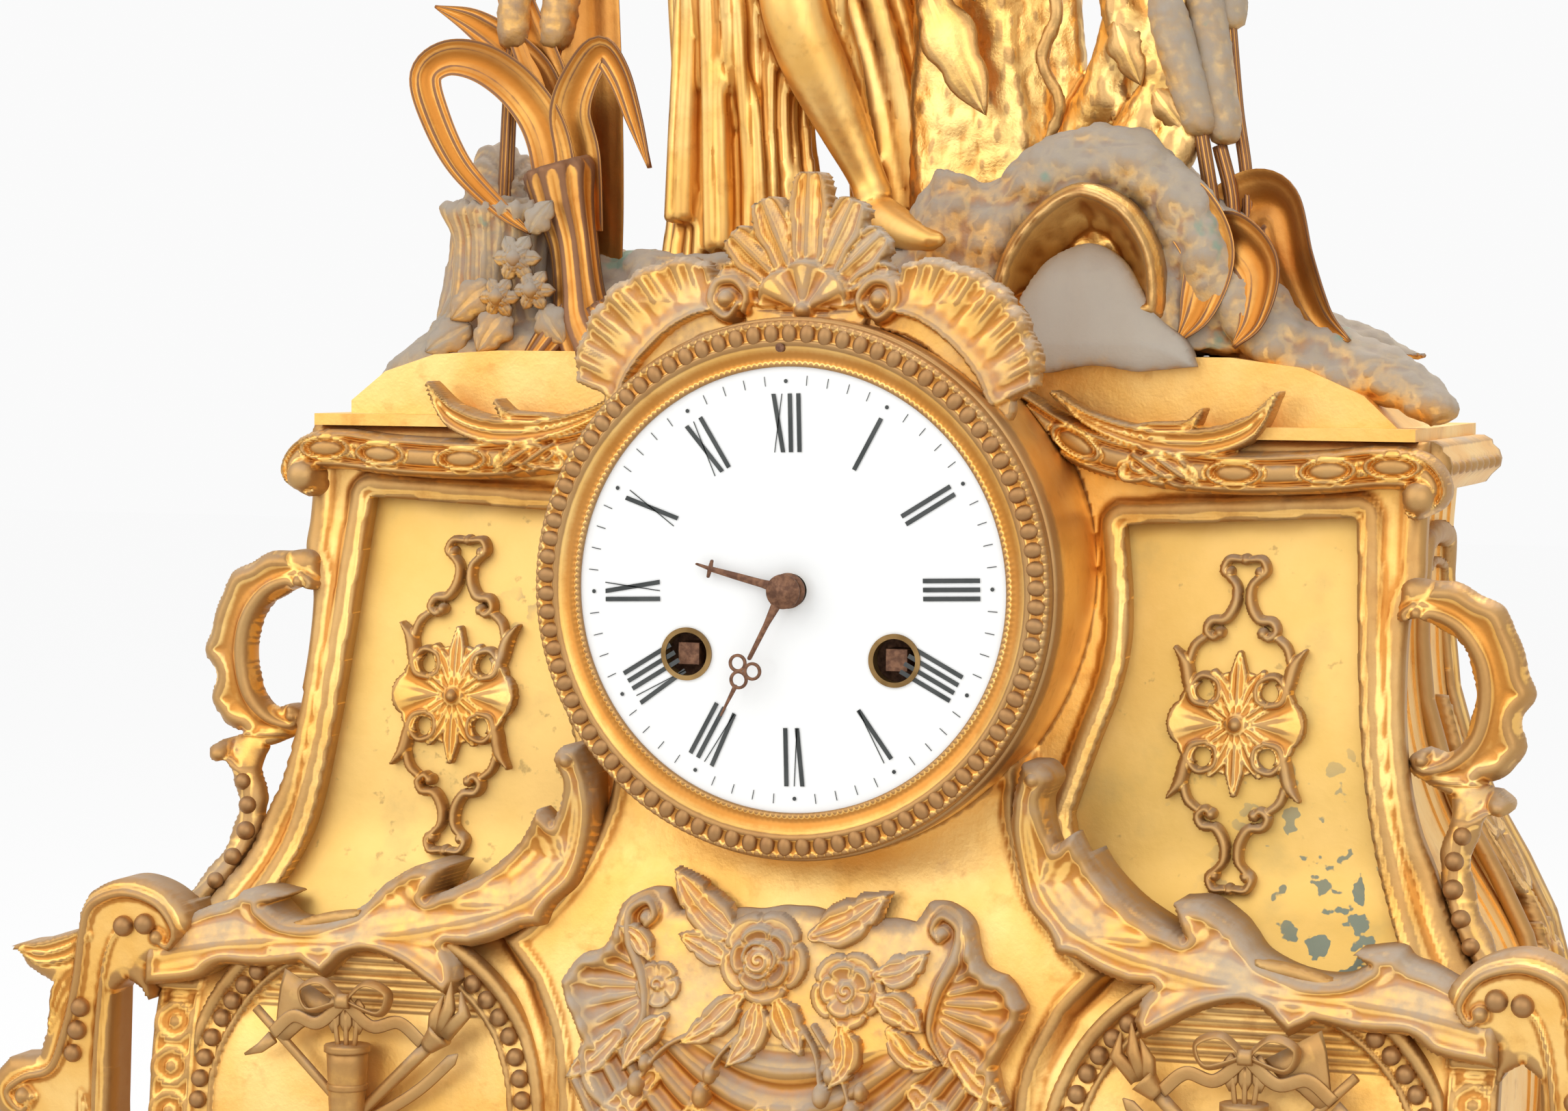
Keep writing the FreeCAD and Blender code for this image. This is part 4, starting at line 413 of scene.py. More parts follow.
def outwards(piece):
    # faces point away from the inside of a closed skin
    mesh = piece.data
    mesh.calc_loop_triangles()
    corners = readOut(mesh.loop_triangles, "vertices", 3, np.int32)
    p = readOut(mesh.vertices, "co", 3)[corners].astype(float)
    p -= p.mean((0, 1))
    if np.einsum("ij,ij->i", p[:, 0], np.cross(p[:, 1], p[:, 2])).sum() < 0:
        mesh.flip_normals()
    return piece


def lathe(name, profile, steps, wobble=None, closed=False):
    # turned about the dial's axis; profile points are radius, y
    rings = []
    for i in range(steps):
        angle = 2 * math.pi * i / steps
        rows = [(r, y) if wobble is None else wobble(r, y, angle) for r, y in profile]
        rings.append(np.array([(r * math.cos(angle), y, r * math.sin(angle)) for r, y in rows]))
    sides = len(profile)
    faces = []
    for i in range(steps):
        a, b = i * sides, (i + 1) % steps * sides
        for j in range(sides if closed else sides - 1):
            k = (j + 1) % sides
            faces.append((a + j, a + k, b + k, b + j))
    return outwards(buildMesh(name, np.vstack(rings), faces))


beadInputs = {"Geometry": "NodeSocketGeometry", "Segments": "NodeSocketInt",
    "Bead radius": "NodeSocketFloat", "Finish": "NodeSocketMaterial"}
beadParts = {"source": "NodeGroupInput", "result": "NodeGroupOutput", "ball": "GeometryNodeMeshUVSphere",
    "spread": "GeometryNodeInstanceOnPoints", "real": "GeometryNodeRealizeInstances",
    "beadSize": "GeometryNodeInputNamedAttribute", "beadTurn": "GeometryNodeInputNamedAttribute",
    "toTurn": "FunctionNodeEulerToRotation", "shade": "GeometryNodeSetShadeSmooth",
    "paint": "GeometryNodeSetMaterial"}
beadLinks = [("source", "Geometry", "spread", "Points"), ("source", "Segments", "ball", "Segments"),
    ("source", "Bead radius", "ball", "Radius"), ("ball", "Mesh", "spread", "Instance"),
    ("beadSize", "Attribute", "spread", "Scale"), ("beadTurn", "Attribute", "toTurn", "Euler"),
    ("toTurn", "Rotation", "spread", "Rotation"), ("spread", "Instances", "real", "Geometry"),
    ("real", "Geometry", "shade", "Geometry"), ("shade", "Geometry", "paint", "Geometry"),
    ("source", "Finish", "paint", "Material"), ("paint", "Geometry", "result", "Geometry")]


def beadTree():
    tree = bpy.data.node_groups.new("Beads on points", "GeometryNodeTree")
    tree.is_modifier = True
    for name, kind in beadInputs.items():
        tree.interface.new_socket(name, in_out="INPUT", socket_type=kind)
    tree.interface.new_socket("Geometry", in_out="OUTPUT", socket_type="NodeSocketGeometry")
    nodes = {key: tree.nodes.new(kind) for key, kind in beadParts.items()}
    for name in ("beadSize", "beadTurn"):
        nodes[name].data_type = "FLOAT_VECTOR"
        nodes[name].inputs["Name"].default_value = name
    nodes["ball"].inputs["Rings"].default_value = 8
    for start, output, end, socket in beadLinks:
        tree.links.new(nodes[start].outputs[output], nodes[end].inputs[socket])
    return tree


beadNodes = beadTree()


def beadRow(name, places, sizes, turns=None, segments=12):
    # one bead on each place, with its three half sizes and its turn
    seeds = bpy.data.meshes.new(name + " seeds")
    seeds.from_pydata(toFrame(places).tolist(), [], [])
    sizes = np.broadcast_to(np.asarray(sizes, float) * millimetre, (len(places), 3))
    turns = np.zeros((len(places), 3)) if turns is None else np.asarray(turns, float)
    for key, values in (("beadSize", sizes), ("beadTurn", turns)):
        layer = seeds.attributes.new(key, "FLOAT_VECTOR", "POINT")
        layer.data.foreach_set("vector", values.astype(np.float32).ravel())
    carrier = place(name + " carrier", seeds)
    modifier = carrier.modifiers.new("Beads", "NODES")
    modifier.node_group = beadNodes
    inputs = {item.name: item.identifier for item in beadNodes.interface.items_tree if item.in_out == "INPUT"}
    modifier[inputs["Segments"]] = segments
    modifier[inputs["Bead radius"]] = 1.0
    return baked(name, carrier)


# how deep the finest grain of a finish seems, in metres
grainDepth = 0.0004


class Wire:
    # a socket that takes part in arithmetic
    def __init__(self, finish, socket):
        self.finish = finish
        self.socket = socket

    def do(self, operation, *values):
        return self.finish.add("Math", dict(enumerate(values)), operation=operation)

    def __add__(self, other):
        return self.do("ADD", self, other)

    def __sub__(self, other):
        return self.do("SUBTRACT", self, other)

    def __rsub__(self, other):
        return self.do("SUBTRACT", other, self)

    def __mul__(self, other):
        return self.do("MULTIPLY", self, other)

    __radd__ = __add__

    def within(self, low, high):
        # 0 below low, 1 above high
        sockets = {"Value": self, "From Min": low, "From Max": high}
        return self.finish.add("MapRange", sockets, interpolation_type="SMOOTHSTEP")


class Finish:
    # a material; add makes a shader node and answers with one of its outputs
    def __init__(self, name):
        self.material = bpy.data.materials.new(name)
        self.material.use_nodes = True
        self.tree = self.material.node_tree
        self.shader = self.tree.nodes["Principled BSDF"]

    def add(self, kind, sockets=None, output=0, **settings):
        node = self.tree.nodes.new("ShaderNode" + kind)
        for key, value in settings.items():
            setattr(node, key, value)
        for key, value in (sockets or {}).items():
            self.feed(node.inputs[key], value)
        return Wire(self, node.outputs[output])

    def feed(self, socket, value):
        if isinstance(value, Wire):
            self.tree.links.new(value.socket, socket)
        else:
            socket.default_value = value

    def set(self, **values):
        for key, value in values.items():
            self.feed(self.shader.inputs[key.replace("_", " ")], value)

    def blend(self, factor, a, b):
        a, b = [tuple(v) + (1.0,) if isinstance(v, tuple) else v for v in (a, b)]
        return self.add("Mix", {0: factor, 6: a, 7: b}, 2, data_type="RGBA")

    def place(self):
        return self.add("TexCoord", output=3)

    def noise(self, scale, detail=4.0, rough=0.55):
        return self.add("TexNoise", {"Vector": self.place(), "Scale": scale, "Detail": detail,
            "Roughness": rough})

    def bump(self, height, strength):
        self.set(Normal=self.add("Bump", {"Strength": strength, "Distance": grainDepth, "Height": height}))


# hollow is a dark gold, laid both as random stains and as painted shade in the hollows
giltColours = {"gold": (0.82, 0.465, 0.12), "bright": (0.90, 0.60, 0.22), "copper": (0.24, 0.115, 0.055),
    "hollow": (0.42, 0.145, 0.018), "dust": (0.47, 0.395, 0.32), "green": (0.22, 0.33, 0.25)}


def gilding(name, wear, dust, rough, grain=0.25, green=0.0, tint=None):
    # gilt bronze: coppery where rubbed, painted shade darkening the hollows, dusty where it faces up
    colours = dict(giltColours, **(tint or {}))
    f = Finish(name)
    cloud, fine = f.noise(38.0, 5.0), f.noise(420.0, 4.0)
    relief = f.add("Attribute", output=2, attribute_name="relief")
    facing = f.add("SeparateXYZ", {0: f.add("NewGeometry", output=1)}, 2)
    rubbed = (relief * 2.3 + cloud * 0.55 + fine * 0.4 - 0.86).within(0.0, 0.5) * wear
    # painted shade: the concave places are darkened, standing in for the shade that falls in them
    hollow = (relief * -1.5 + fine * 0.2).within(0.12, 0.75)
    stains = f.noise(130.0, 5.0, 0.65)
    gold = f.blend(cloud.within(0.35, 0.68), colours["gold"], colours["bright"])
    gold = f.blend((stains + fine * 0.2).within(0.62, 0.86) * 0.35, gold, colours["hollow"])
    # the painted shade in the hollows is laid on here
    gold = f.blend(hollow * 0.8, gold, colours["hollow"])
    gold = f.blend(rubbed * 0.8, gold, colours["copper"])
    settled = facing * 0.5 + cloud * 1.2 + stains * 0.5 + fine * 0.5 - (1.71 - dust * 0.75)
    dusty = settled.within(0.0, 0.85) * min(1.0, dust * 1.5)
    colour = f.blend(dusty * 0.9, gold, colours["dust"])
    if green:
        spot = f.noise(95.0, 3.0, 0.6)
        stain = (spot + cloud * 0.6).within(1.02 - green * 0.2, 1.12 - green * 0.2)
        colour = f.blend(stain * 0.8, colour, colours["green"])
        dusty = dusty.do("MAXIMUM", dusty, stain)
    f.set(Base_Color=colour, Metallic=0.94 - dusty * 0.75 - rubbed * 0.15)
    f.set(Roughness=rough + dusty * 0.42 + rubbed * 0.08 + fine * 0.12 - 0.06)
    f.bump(fine * 0.6 + f.noise(1500.0, 2.0) * 0.3 + stains * 0.5, grain)
    return f.material


def plainFinish(name, colour, other, metallic, rough, scale=120.0, grain=0.1):
    f = Finish(name)
    cloud = f.noise(scale, 5.0)
    f.set(Base_Color=f.blend(cloud.within(0.35, 0.7), colour, other), Metallic=metallic)
    f.set(Roughness=cloud * 0.2 + (rough - 0.1))
    f.bump(cloud, grain)
    return f.material


def panelFinish():
    # paler rubbed gilding with a cloudy bloom, fine dirt and grey-green spots low on the right
    f = Finish("Pale panel gilding")
    cloud, fine = f.noise(22.0, 6.0, 0.6), f.noise(600.0, 3.0)
    colour = f.blend(cloud.within(0.3, 0.7), (0.66, 0.42, 0.115), (0.80, 0.54, 0.19))
    colour = f.blend(f.noise(55.0, 5.0).within(0.56, 0.74) * 0.4, colour, (0.45, 0.33, 0.13))
    colour = f.blend((f.noise(300.0, 3.0) + cloud * 0.3).within(0.80, 0.90) * 0.5, colour, (0.30, 0.20, 0.08))
    side, up = (f.add("SeparateXYZ", {0: f.place()}, axis) for axis in (0, 2))
    low = (up * -1.0).within(-(dialCentre[2] - 0.020), -(dialCentre[2] - 0.055)) * side.within(0.075, 0.1)
    speck = f.noise(190.0, 2.0, 0.5) + f.noise(800.0, 2.0) * 0.12
    stain = speck.within(0.665, 0.69) * (low * 0.9 + f.noise(30.0).within(0.6, 0.7) * 0.4)
    colour = f.blend(stain, colour, (0.24, 0.27, 0.20))
    f.set(Base_Color=colour, Metallic=0.9 - stain * 0.7, Roughness=cloud * 0.18 + 0.46 + stain * 0.25)
    f.bump(fine, 0.12)
    return f.material


def enamelFinish():
    f = Finish("White enamel")
    cloud = f.noise(60.0)
    f.set(Base_Color=f.blend(cloud, (0.80, 0.81, 0.80), (0.86, 0.86, 0.85)), Roughness=cloud * 0.05 + 0.10)
    return f.material


finishes = {
    "burnished_gilt": gilding("Burnished gilding", wear=0.9, dust=0.36, rough=0.40, grain=0.18),
    "bead_gilt": gilding("Rubbed beads", wear=1.0, dust=0.40, rough=0.42, grain=0.12),
    "matt_gilt": gilding("Matt gilding", wear=0.7, dust=0.44, rough=0.48, grain=0.35),
    "relief_gilt": gilding("Chased gilding", wear=0.8, dust=0.62, rough=0.44),
    "dusty_gilt": gilding("Dusty chased gilding", wear=0.75, dust=1.0, rough=0.47),
    "rock_gilt": gilding("Dusty rock gilding", wear=0.6, dust=1.45, rough=0.50, grain=0.6, green=0.35,
        tint={"dust": (0.37, 0.325, 0.275)}),
    "water_dust": gilding("Dusty water", wear=0.2, dust=2.3, rough=0.5, grain=0.5,
        tint={"dust": (0.40, 0.37, 0.33)}),
    "trunk_gilt": gilding("Hammered gilding", wear=0.7, dust=0.22, rough=0.34, grain=0.5),
    "plant_gilt": gilding("Plant gilding", wear=1.3, dust=0.42, rough=0.45,
        tint={"gold": (0.48, 0.21, 0.05), "bright": (0.70, 0.36, 0.09)}),
    "figure_gilt": gilding("Figure gilding", wear=0.3, dust=0.20, rough=0.40, grain=0.08),
    "panel_brass": panelFinish(),
    "white_enamel": enamelFinish(),
    "black_enamel": plainFinish("Black enamel", (0.022, 0.026, 0.025), (0.05, 0.054, 0.052), 0.0, 0.35),
    "dark_brass": plainFinish("Darkened brass", (0.16, 0.09, 0.03), (0.34, 0.21, 0.08), 0.9, 0.42),
    "rusted_steel": plainFinish("Rusted steel", (0.11, 0.045, 0.022), (0.24, 0.115, 0.06), 0.45, 0.55, 900.0,
        0.5),
    "movement_brass": plainFinish("Movement brass", (0.62, 0.40, 0.13), (0.72, 0.48, 0.18), 1.0, 0.3),
    "movement_steel": plainFinish("Movement steel", (0.36, 0.36, 0.37), (0.5, 0.5, 0.5), 1.0, 0.33, 300.0),
    "bell_metal": plainFinish("Bell metal", (0.52, 0.36, 0.14), (0.64, 0.46, 0.2), 1.0, 0.3)}
print("finishes ready")

for part in frame["record"]["subparts"]:
    slotName = part["material_slot"]
    paint(frame["nodes"][part["node"]].data, finishes["plant_gilt" if slotName == "rock_gilt" else slotName])

# Camera and light
view = {"from": (251.0, -787.2, 50.6), "yaw": 17.78, "pitch": 3.02, "roll": 0.50, "lens": 94.36}


def addCamera():
    yaw, pitch, roll = (math.radians(view[key]) for key in ("yaw", "pitch", "roll"))
    ahead = Vector((-math.sin(yaw) * math.cos(pitch), math.cos(yaw) * math.cos(pitch), -math.sin(pitch)))
    level = Vector((math.cos(yaw), math.sin(yaw), 0))
    above = level.cross(ahead)
    right = math.cos(roll) * level + math.sin(roll) * above
    up = right.cross(ahead)
    lens = bpy.data.cameras.new("Camera")
    lens.lens = view["lens"]
    lens.sensor_width = 36.0
    camera = place("Camera", lens)
    facing = Matrix((right, up, -ahead)).transposed().to_4x4()
    camera.matrix_world = Matrix.Translation(toFrame(view["from"])) @ facing
    bpy.context.scene.camera = camera


lamps = [{"at": (-620, -700, 620), "size": 1.3, "power": 8.0}, {"at": (560, -820, 420), "size": 0.9,
    "power": 4.5}, {"at": (120, 380, 820), "size": 0.6, "power": 6.0}]


def addLight():
    for index, lamp in enumerate(lamps):
        light = bpy.data.lights.new(f"Softbox {index}", "AREA")
        light.size = lamp["size"]
        light.energy = lamp["power"]
        holder = place(light.name, light)
        holder.location = toFrame(lamp["at"])
        aim = Vector(toFrame((0, 30, 20))) - holder.location
        holder.rotation_euler = aim.to_track_quat("-Z", "Y").to_euler()
    world = bpy.data.worlds.new("Studio")
    bpy.context.scene.world = world
    world.use_nodes = True
    nodes, link = world.node_tree.nodes, world.node_tree.links.new
    ray = nodes.new("ShaderNodeLightPath")
    plain = nodes["Background"]
    plain.inputs["Color"].default_value = (1, 1, 1, 1)
    plain.inputs["Strength"].default_value = 0.5
    shown = nodes.new("ShaderNodeBackground")
    shown.inputs["Color"].default_value = (0.958, 0.958, 0.958, 1)
    seen = None
    for kind in ("Is Camera Ray", "Is Glossy Ray", "Is Transmission Ray"):
        either = nodes.new("ShaderNodeMath")
        either.operation = "ADD"
        either.use_clamp = True
        link(ray.outputs[kind], either.inputs[0])
        either.inputs[1].default_value = 0.0
        if seen:
            link(seen.outputs[0], either.inputs[1])
        seen = either
    mix = nodes.new("ShaderNodeMixShader")
    link(seen.outputs[0], mix.inputs[0])
    link(plain.outputs[0], mix.inputs[1])
    link(shown.outputs[0], mix.inputs[2])
    link(mix.outputs[0], nodes["World Output"].inputs["Surface"])


def addFloor():
    low, far = float(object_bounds()[0][2]) - 0.0004, 4.0
    mesh = bpy.data.meshes.new("Floor")
    corners = [(-far, -far, low), (far, -far, low), (far, far, low), (-far, far, low)]
    mesh.from_pydata(corners, [], [(0, 1, 2, 3)])
    floor = place("Floor", mesh)
    f = Finish("Pale floor")
    f.set(Base_Color=(0.9, 0.9, 0.9, 1.0), Roughness=0.8)
    white = f.add("Emission", {"Strength": 1.0})
    ray = f.add("LightPath")
    seen = ray.do("ADD", ray, f.add("LightPath", output=3)) * 0.9
    shown = f.add("MixShader", {0: seen, 1: Wire(f, f.shader.outputs[0]), 2: white})
    f.tree.links.new(shown.socket, f.tree.nodes["Material Output"].inputs["Surface"])
    mesh.materials.append(f.material)


addCamera()
addLight()
addFloor()
bpy.context.scene.view_settings.view_transform = "Standard"
print("camera and light set")

# The case front: the wall's own curve, given as height and depth, and the raised middle field
frontCurve = [(31, 38), (24, 38), (15, 37.4), (5, 35), (-10, 31.3), (-25, 28), (-41, 25.6), (-57, 23.5),
    (-65, 19.5), (-73, 13.5), (-81, 9), (-89, 6), (-100, 2.6), (-120, 0.2), (-158, -1.7)]
fieldCurve = [(31, 17.5), (-30, 17.5), (-42, 15), (-51, 13.2), (-60, 10), (-72, 7), (-85, 4.5), (-100, 1.6),
    (-120, -1), (-158, -2.7)]


def depthOf(z, curve):
    line = smoothLine(curve, 2.0)[::-1]
    return np.interp(z, line[:, 0], line[:, 1])


panelEdge = [[(60, 13)], [(108, 15.5)], [(109, 0), (110, -15), (112, -35), (116, -55), (122, -70),
    (126, -77)], [(90, -76)], [(66, -69), (56, -58), (52.5, -46)], [(57, -32), (61, -20), (62.5, -10),
    (62, 0)]]
wallEdge = [[(-6, 31)], [(122, 31)], [(122, 10), (122, 3), (119.5, -5), (119.5, -22), (121, -36),
    (123.5, -46), (126.5, -53), (130, -62), (136, -71.5), (143, -80)], [(143, -158)], [(-6, -158)]]
fieldEdge = [[(-6, -40)], [(44, -33)], [(45.5, -46), (50, -58), (58, -68), (66, -75)],
    [(58, -84), (53, -95), (51, -108)], [(51, -158)], [(-6, -158)]]
front = {"frameWidth": 4.4, "frameRise": 1.7, "innerLine": 2.2, "innerStep": 0.9, "wall": 4.0,
    "fieldLine": 3.0, "ring": 3.7, "ringPitch": 9.4, "ringStart": -96, "drumClear": 54.6, "pilaster": 133.5,
    "ringLine": 138.2, "outerLine": 142.4, "innerEdge": 133.9, "cap": -88}


def addFront():
    r = Relief(0, 144, -158.5, 31.5, 0.85, True)
    wall = depthOf(r.z, frontCurve)
    panel, edge, field = r.area(*panelEdge), r.area(*wallEdge), r.area(*fieldEdge)
    r.height[:] = 0
    proud = wall - depthOf(r.z, fieldCurve)
    r.raiseTo(np.where(field > -0.5, proud * unit(0.3 + field / 2.5), -9))
    r.height += np.where(field > 0, bar(np.abs(field - front["fieldLine"]), 1.3, 1.1).clip(0), 0)
    outside = -panel
    r.height += np.where(outside > 0, dome(front["frameWidth"] + 0.6 - outside, 2.2, front["frameRise"]), 0)
    r.height -= front["innerStep"] * unit((front["innerLine"] - outside) / 0.8) * (outside > 0)
    rim = np.where(r.z > -84, edge, 9)
    r.height += bar(np.abs(rim - 2.0), 2.4, 1.2).clip(0) - 1.0 * unit(1 - rim / 1.8) ** 2
    pilaster = (r.x > front["pilaster"]) & (r.z < -90)
    middle = (r.z - front["ringStart"]) / front["ringPitch"]
    ringGap = np.hypot(r.x - front["ringLine"], (middle - np.round(middle)) * front["ringPitch"])
    ornament = bar(np.abs(ringGap - front["ring"]), 0.8, 1.0).clip(0) + bar(ringGap, 1.5, 1.2).clip(0)
    lines = [bar(np.abs(r.x - front[key]), 0.7, 1.0).clip(0) for key in ("innerEdge", "outerLine")]
    ornament += lines[0] + lines[1]
    r.height += np.where(pilaster, ornament, 0)
    cap = np.maximum(np.abs(r.z - front["cap"]) - 1.6, 133 - r.x)
    r.height += dome(-cap, 1.2, 2.2) * (cap < 0)
    shown = np.minimum(np.minimum(edge, outside), r.away(0, 0) - front["drumClear"])
    whole = r.solid("front_wall", shown, wall - r.height, wall + front["wall"])
    finishPiece(whole, "matt_gilt", instead=["front_casting"], rounds=2)


addFront()
print("front wall")

# Drum, bezel and dial
dial = {"beads": 86, "beadRing": 51.6, "bead": (1.62, 1.25, 2.0), "turn": -1.77, "numeralLow": 27.8,
    "numeralHigh": 39.6, "dotRing": 42.1, "dot": 0.42, "tickLow": 41.3, "tickHigh": 43.3, "tick": 0.18}


def addBezel():
    ring = [(45.0, -0.02), (45.0, -0.7), (45.35, -1.1), (45.9, -1.0), (46.3, -0.7), (47.4, -1.0),
        (48.6, -1.7), (49.3, -2.5), (49.9, -2.9), (50.3, -2.7), (50.7, -2.2), (52.6, -2.2), (53.1, -2.5),
        (53.5, -2.7), (54.0, -2.3), (54.3, -1.4), (54.3, 1.0), (52.3, 1.0), (52.3, 7.0), (50.0, 7.0),
        (50.0, 2.4), (47.0, 2.4), (47.0, 0.0)]

    def serrated(r, y, angle):
        fine = 0.16 * math.cos(angle * 240) if 45.1 < r < 46.0 and y < -0.5 else 0
        coarse = 0.22 * math.cos(angle * 200) if r > 53.0 and y < -1.2 else 0
        return r, y + fine + coarse
    bezel = lathe("bezel", ring, 960, serrated, closed=True)
    finishPiece(bezel, "burnished_gilt", instead=["bezel_ring"])
    wall = [(52.5, 1.0), (54.6, 1.0), (55.0, 1.6), (55.0, 8), (55.0, 20), (55.0, 34), (55.0, 42.0),
        (52.5, 42.0)]
    drum = lathe("drum_wall", wall, 240, closed=True)
    finishPiece(drum, "burnished_gilt", instead=["drum"])
    angles = np.arange(dial["beads"]) / dial["beads"] * 2 * math.pi
    places = [(dial["beadRing"] * math.sin(a), -2.3, dial["beadRing"] * math.cos(a)) for a in angles]
    beads = beadRow("bezel_beads", places, dial["bead"], [(0, a, 0) for a in angles])
    finishPiece(beads, "bead_gilt")


def onDial(points, degrees, lift):
    # points drawn upright (across, outwards) are turned to their place round the dial
    a = math.radians(degrees)
    p = np.asarray(points, float)
    x = p[:, 0] * math.cos(a) + p[:, 1] * math.sin(a)
    z = -p[:, 0] * math.sin(a) + p[:, 1] * math.cos(a)
    return np.column_stack((x, np.full(len(p), -lift), z))


def stroke(x0, z0, x1, z1, wide):
    return [(x0 - wide / 2, z0), (x0 + wide / 2, z0), (x1 + wide / 2, z1), (x1 - wide / 2, z1)]


glyph = {"thick": 0.92, "thin": 0.22, "I": 1.8, "V": 3.2, "X": 3.3}


def numeralStrokes(word):
    low, high = dial["numeralLow"], dial["numeralHigh"]
    wide = sum(glyph[letter] for letter in word)
    at = -wide / 2
    strokes = []
    for letter in word:
        step = glyph[letter]
        a, b, m = at + step * 0.24, at + step * 0.78, at + step * 0.52
        if letter == "I":
            strokes.append(stroke(m, low, m, high, glyph["thick"]))
        elif letter == "V":
            strokes += [stroke(m, low, a, high, glyph["thick"]), stroke(m, low, b, high, glyph["thin"])]
        else:
            strokes += [stroke(b, low, a, high, glyph["thick"]), stroke(a, low, b, high, glyph["thin"])]
        at += step
    return strokes


def addDial():
    face = [(0.01, -0.25), (20, -0.2), (40, -0.06), (44, 0.0), (46.8, 0.5), (46.8, 1.4), (0.01, 1.4)]
    points, faces = [], []

    def shape(outline, degrees):
        first = len(points)
        points.extend(onDial(outline, degrees, 0.28).tolist())
        faces.append(list(range(first, first + len(outline))))
    dot = arcPoints(0, dial["dotRing"], dial["dot"], 0, 330, 12)
    for hour, word in enumerate("XII I II III IIII V VI VII VIII IX X XI".split()):
        for outline in numeralStrokes(word):
            shape(outline, hour * 30 + dial["turn"])
        shape(dot.tolist(), hour * 30 + dial["turn"])
    tick = stroke(0, dial["tickLow"], 0, dial["tickHigh"], dial["tick"])
    for minute in range(60):
        if minute % 5:
            shape(tick, minute * 6 + dial["turn"])
    print("numerals", len(faces))
    marks = buildMesh("dial_numerals", points, faces)
    if marks.data.polygons[0].normal.y > 0:
        marks.data.flip_normals()
    finishPiece(marks, "black_enamel")


addBezel()
addDial()
print("drum, bezel and dial")


def chase(r, outline, rise, reach, lobe=5.0, notch=0.0, fade=6.0):
    # a rounded plate; notches run in from its rim and fade
    line = outlineOf(*outline)
    edge = insideOf(r.x, r.z, line)
    _, along, _, total = nearLine(r.x, r.z, np.vstack([line, line[:1]]))
    wave = np.cos(2 * math.pi * along / (total / max(1, round(total / lobe))))
    rim = edge - notch * (0.5 - 0.5 * wave) * unit(1.4 - edge / fade)
    r.height = np.where(rim > 0, dome(rim, reach, rise), 0)
    return rim


def decorate(r, ribs, balls):
    for points, half, height in ribs:
        gap, along, _, total = r.line(points)
        taper = 0.55 + 0.45 * np.sin(math.pi * np.clip(along / total, 0.03, 0.97))
        r.raiseTo(bar(gap, half * taper, height), 0.3)
    for x, z, radius, height in balls:
        r.raiseTo(bar(r.away(x, z), radius, height))


def reach(runs):
    points = outlineOf(*runs)
    low, high = points.min(0) - 2.0, points.max(0) + 2.0
    return low[0], high[0], low[1], high[1]


def pair(piece, name, finish):
    # the piece and its mirror image, each in place of its own node
    twin = mirroredPiece(piece, name + "_left")
    finishPiece(piece, finish, instead=[name + "_right"])
    finishPiece(twin, finish, instead=[name + "_left"])


applique = {"middle": (85.3, -26.5), "holes": [(6.6, 6.4), (6.6, -6.6)], "hole": 1.9, "plate": (9.6, 10.6),
    "palmette": [(52, 8.6), (-52, 8.6), (26, 11.4), (-26, 11.4), (0, 14)], "straps": [
    ([(0.9, 33), (3.4, 33), (4.4, 30.8), (3, 29.4), (1.5, 27.4), (1.6, 24), (3.4, 21), (6.2, 20.6),
    (7.2, 18.6), (5.6, 17.2), (4.2, 18.6)], [0.7, 0.9, 1.0, 0.9, 1.1, 1.2, 1.2, 1.0, 1.0, 0.9, 0.7], 2.2),
    ([(6.4, 18), (9.4, 15.6), (10.6, 12)], [0.8, 1.0, 1.0], 1.8),
    ([(13.4, 15), (11.2, 12), (10.2, 8), (9.0, 4.6), (5.8, 3.6)], [0.4, 1.5, 1.5, 1.1, 0.7], 2.4),
    ([(10.4, 6.6), (7.6, 9.6), (4.2, 8.4), (4, 5), (6.2, 3.8)], [0.9, 0.8, 0.8, 0.8, 0.6], 2.3)],
    "knobs": [(4.4, 18.2, 1.25, 2.5), (3.2, 30.4, 1.2, 2.4)]}


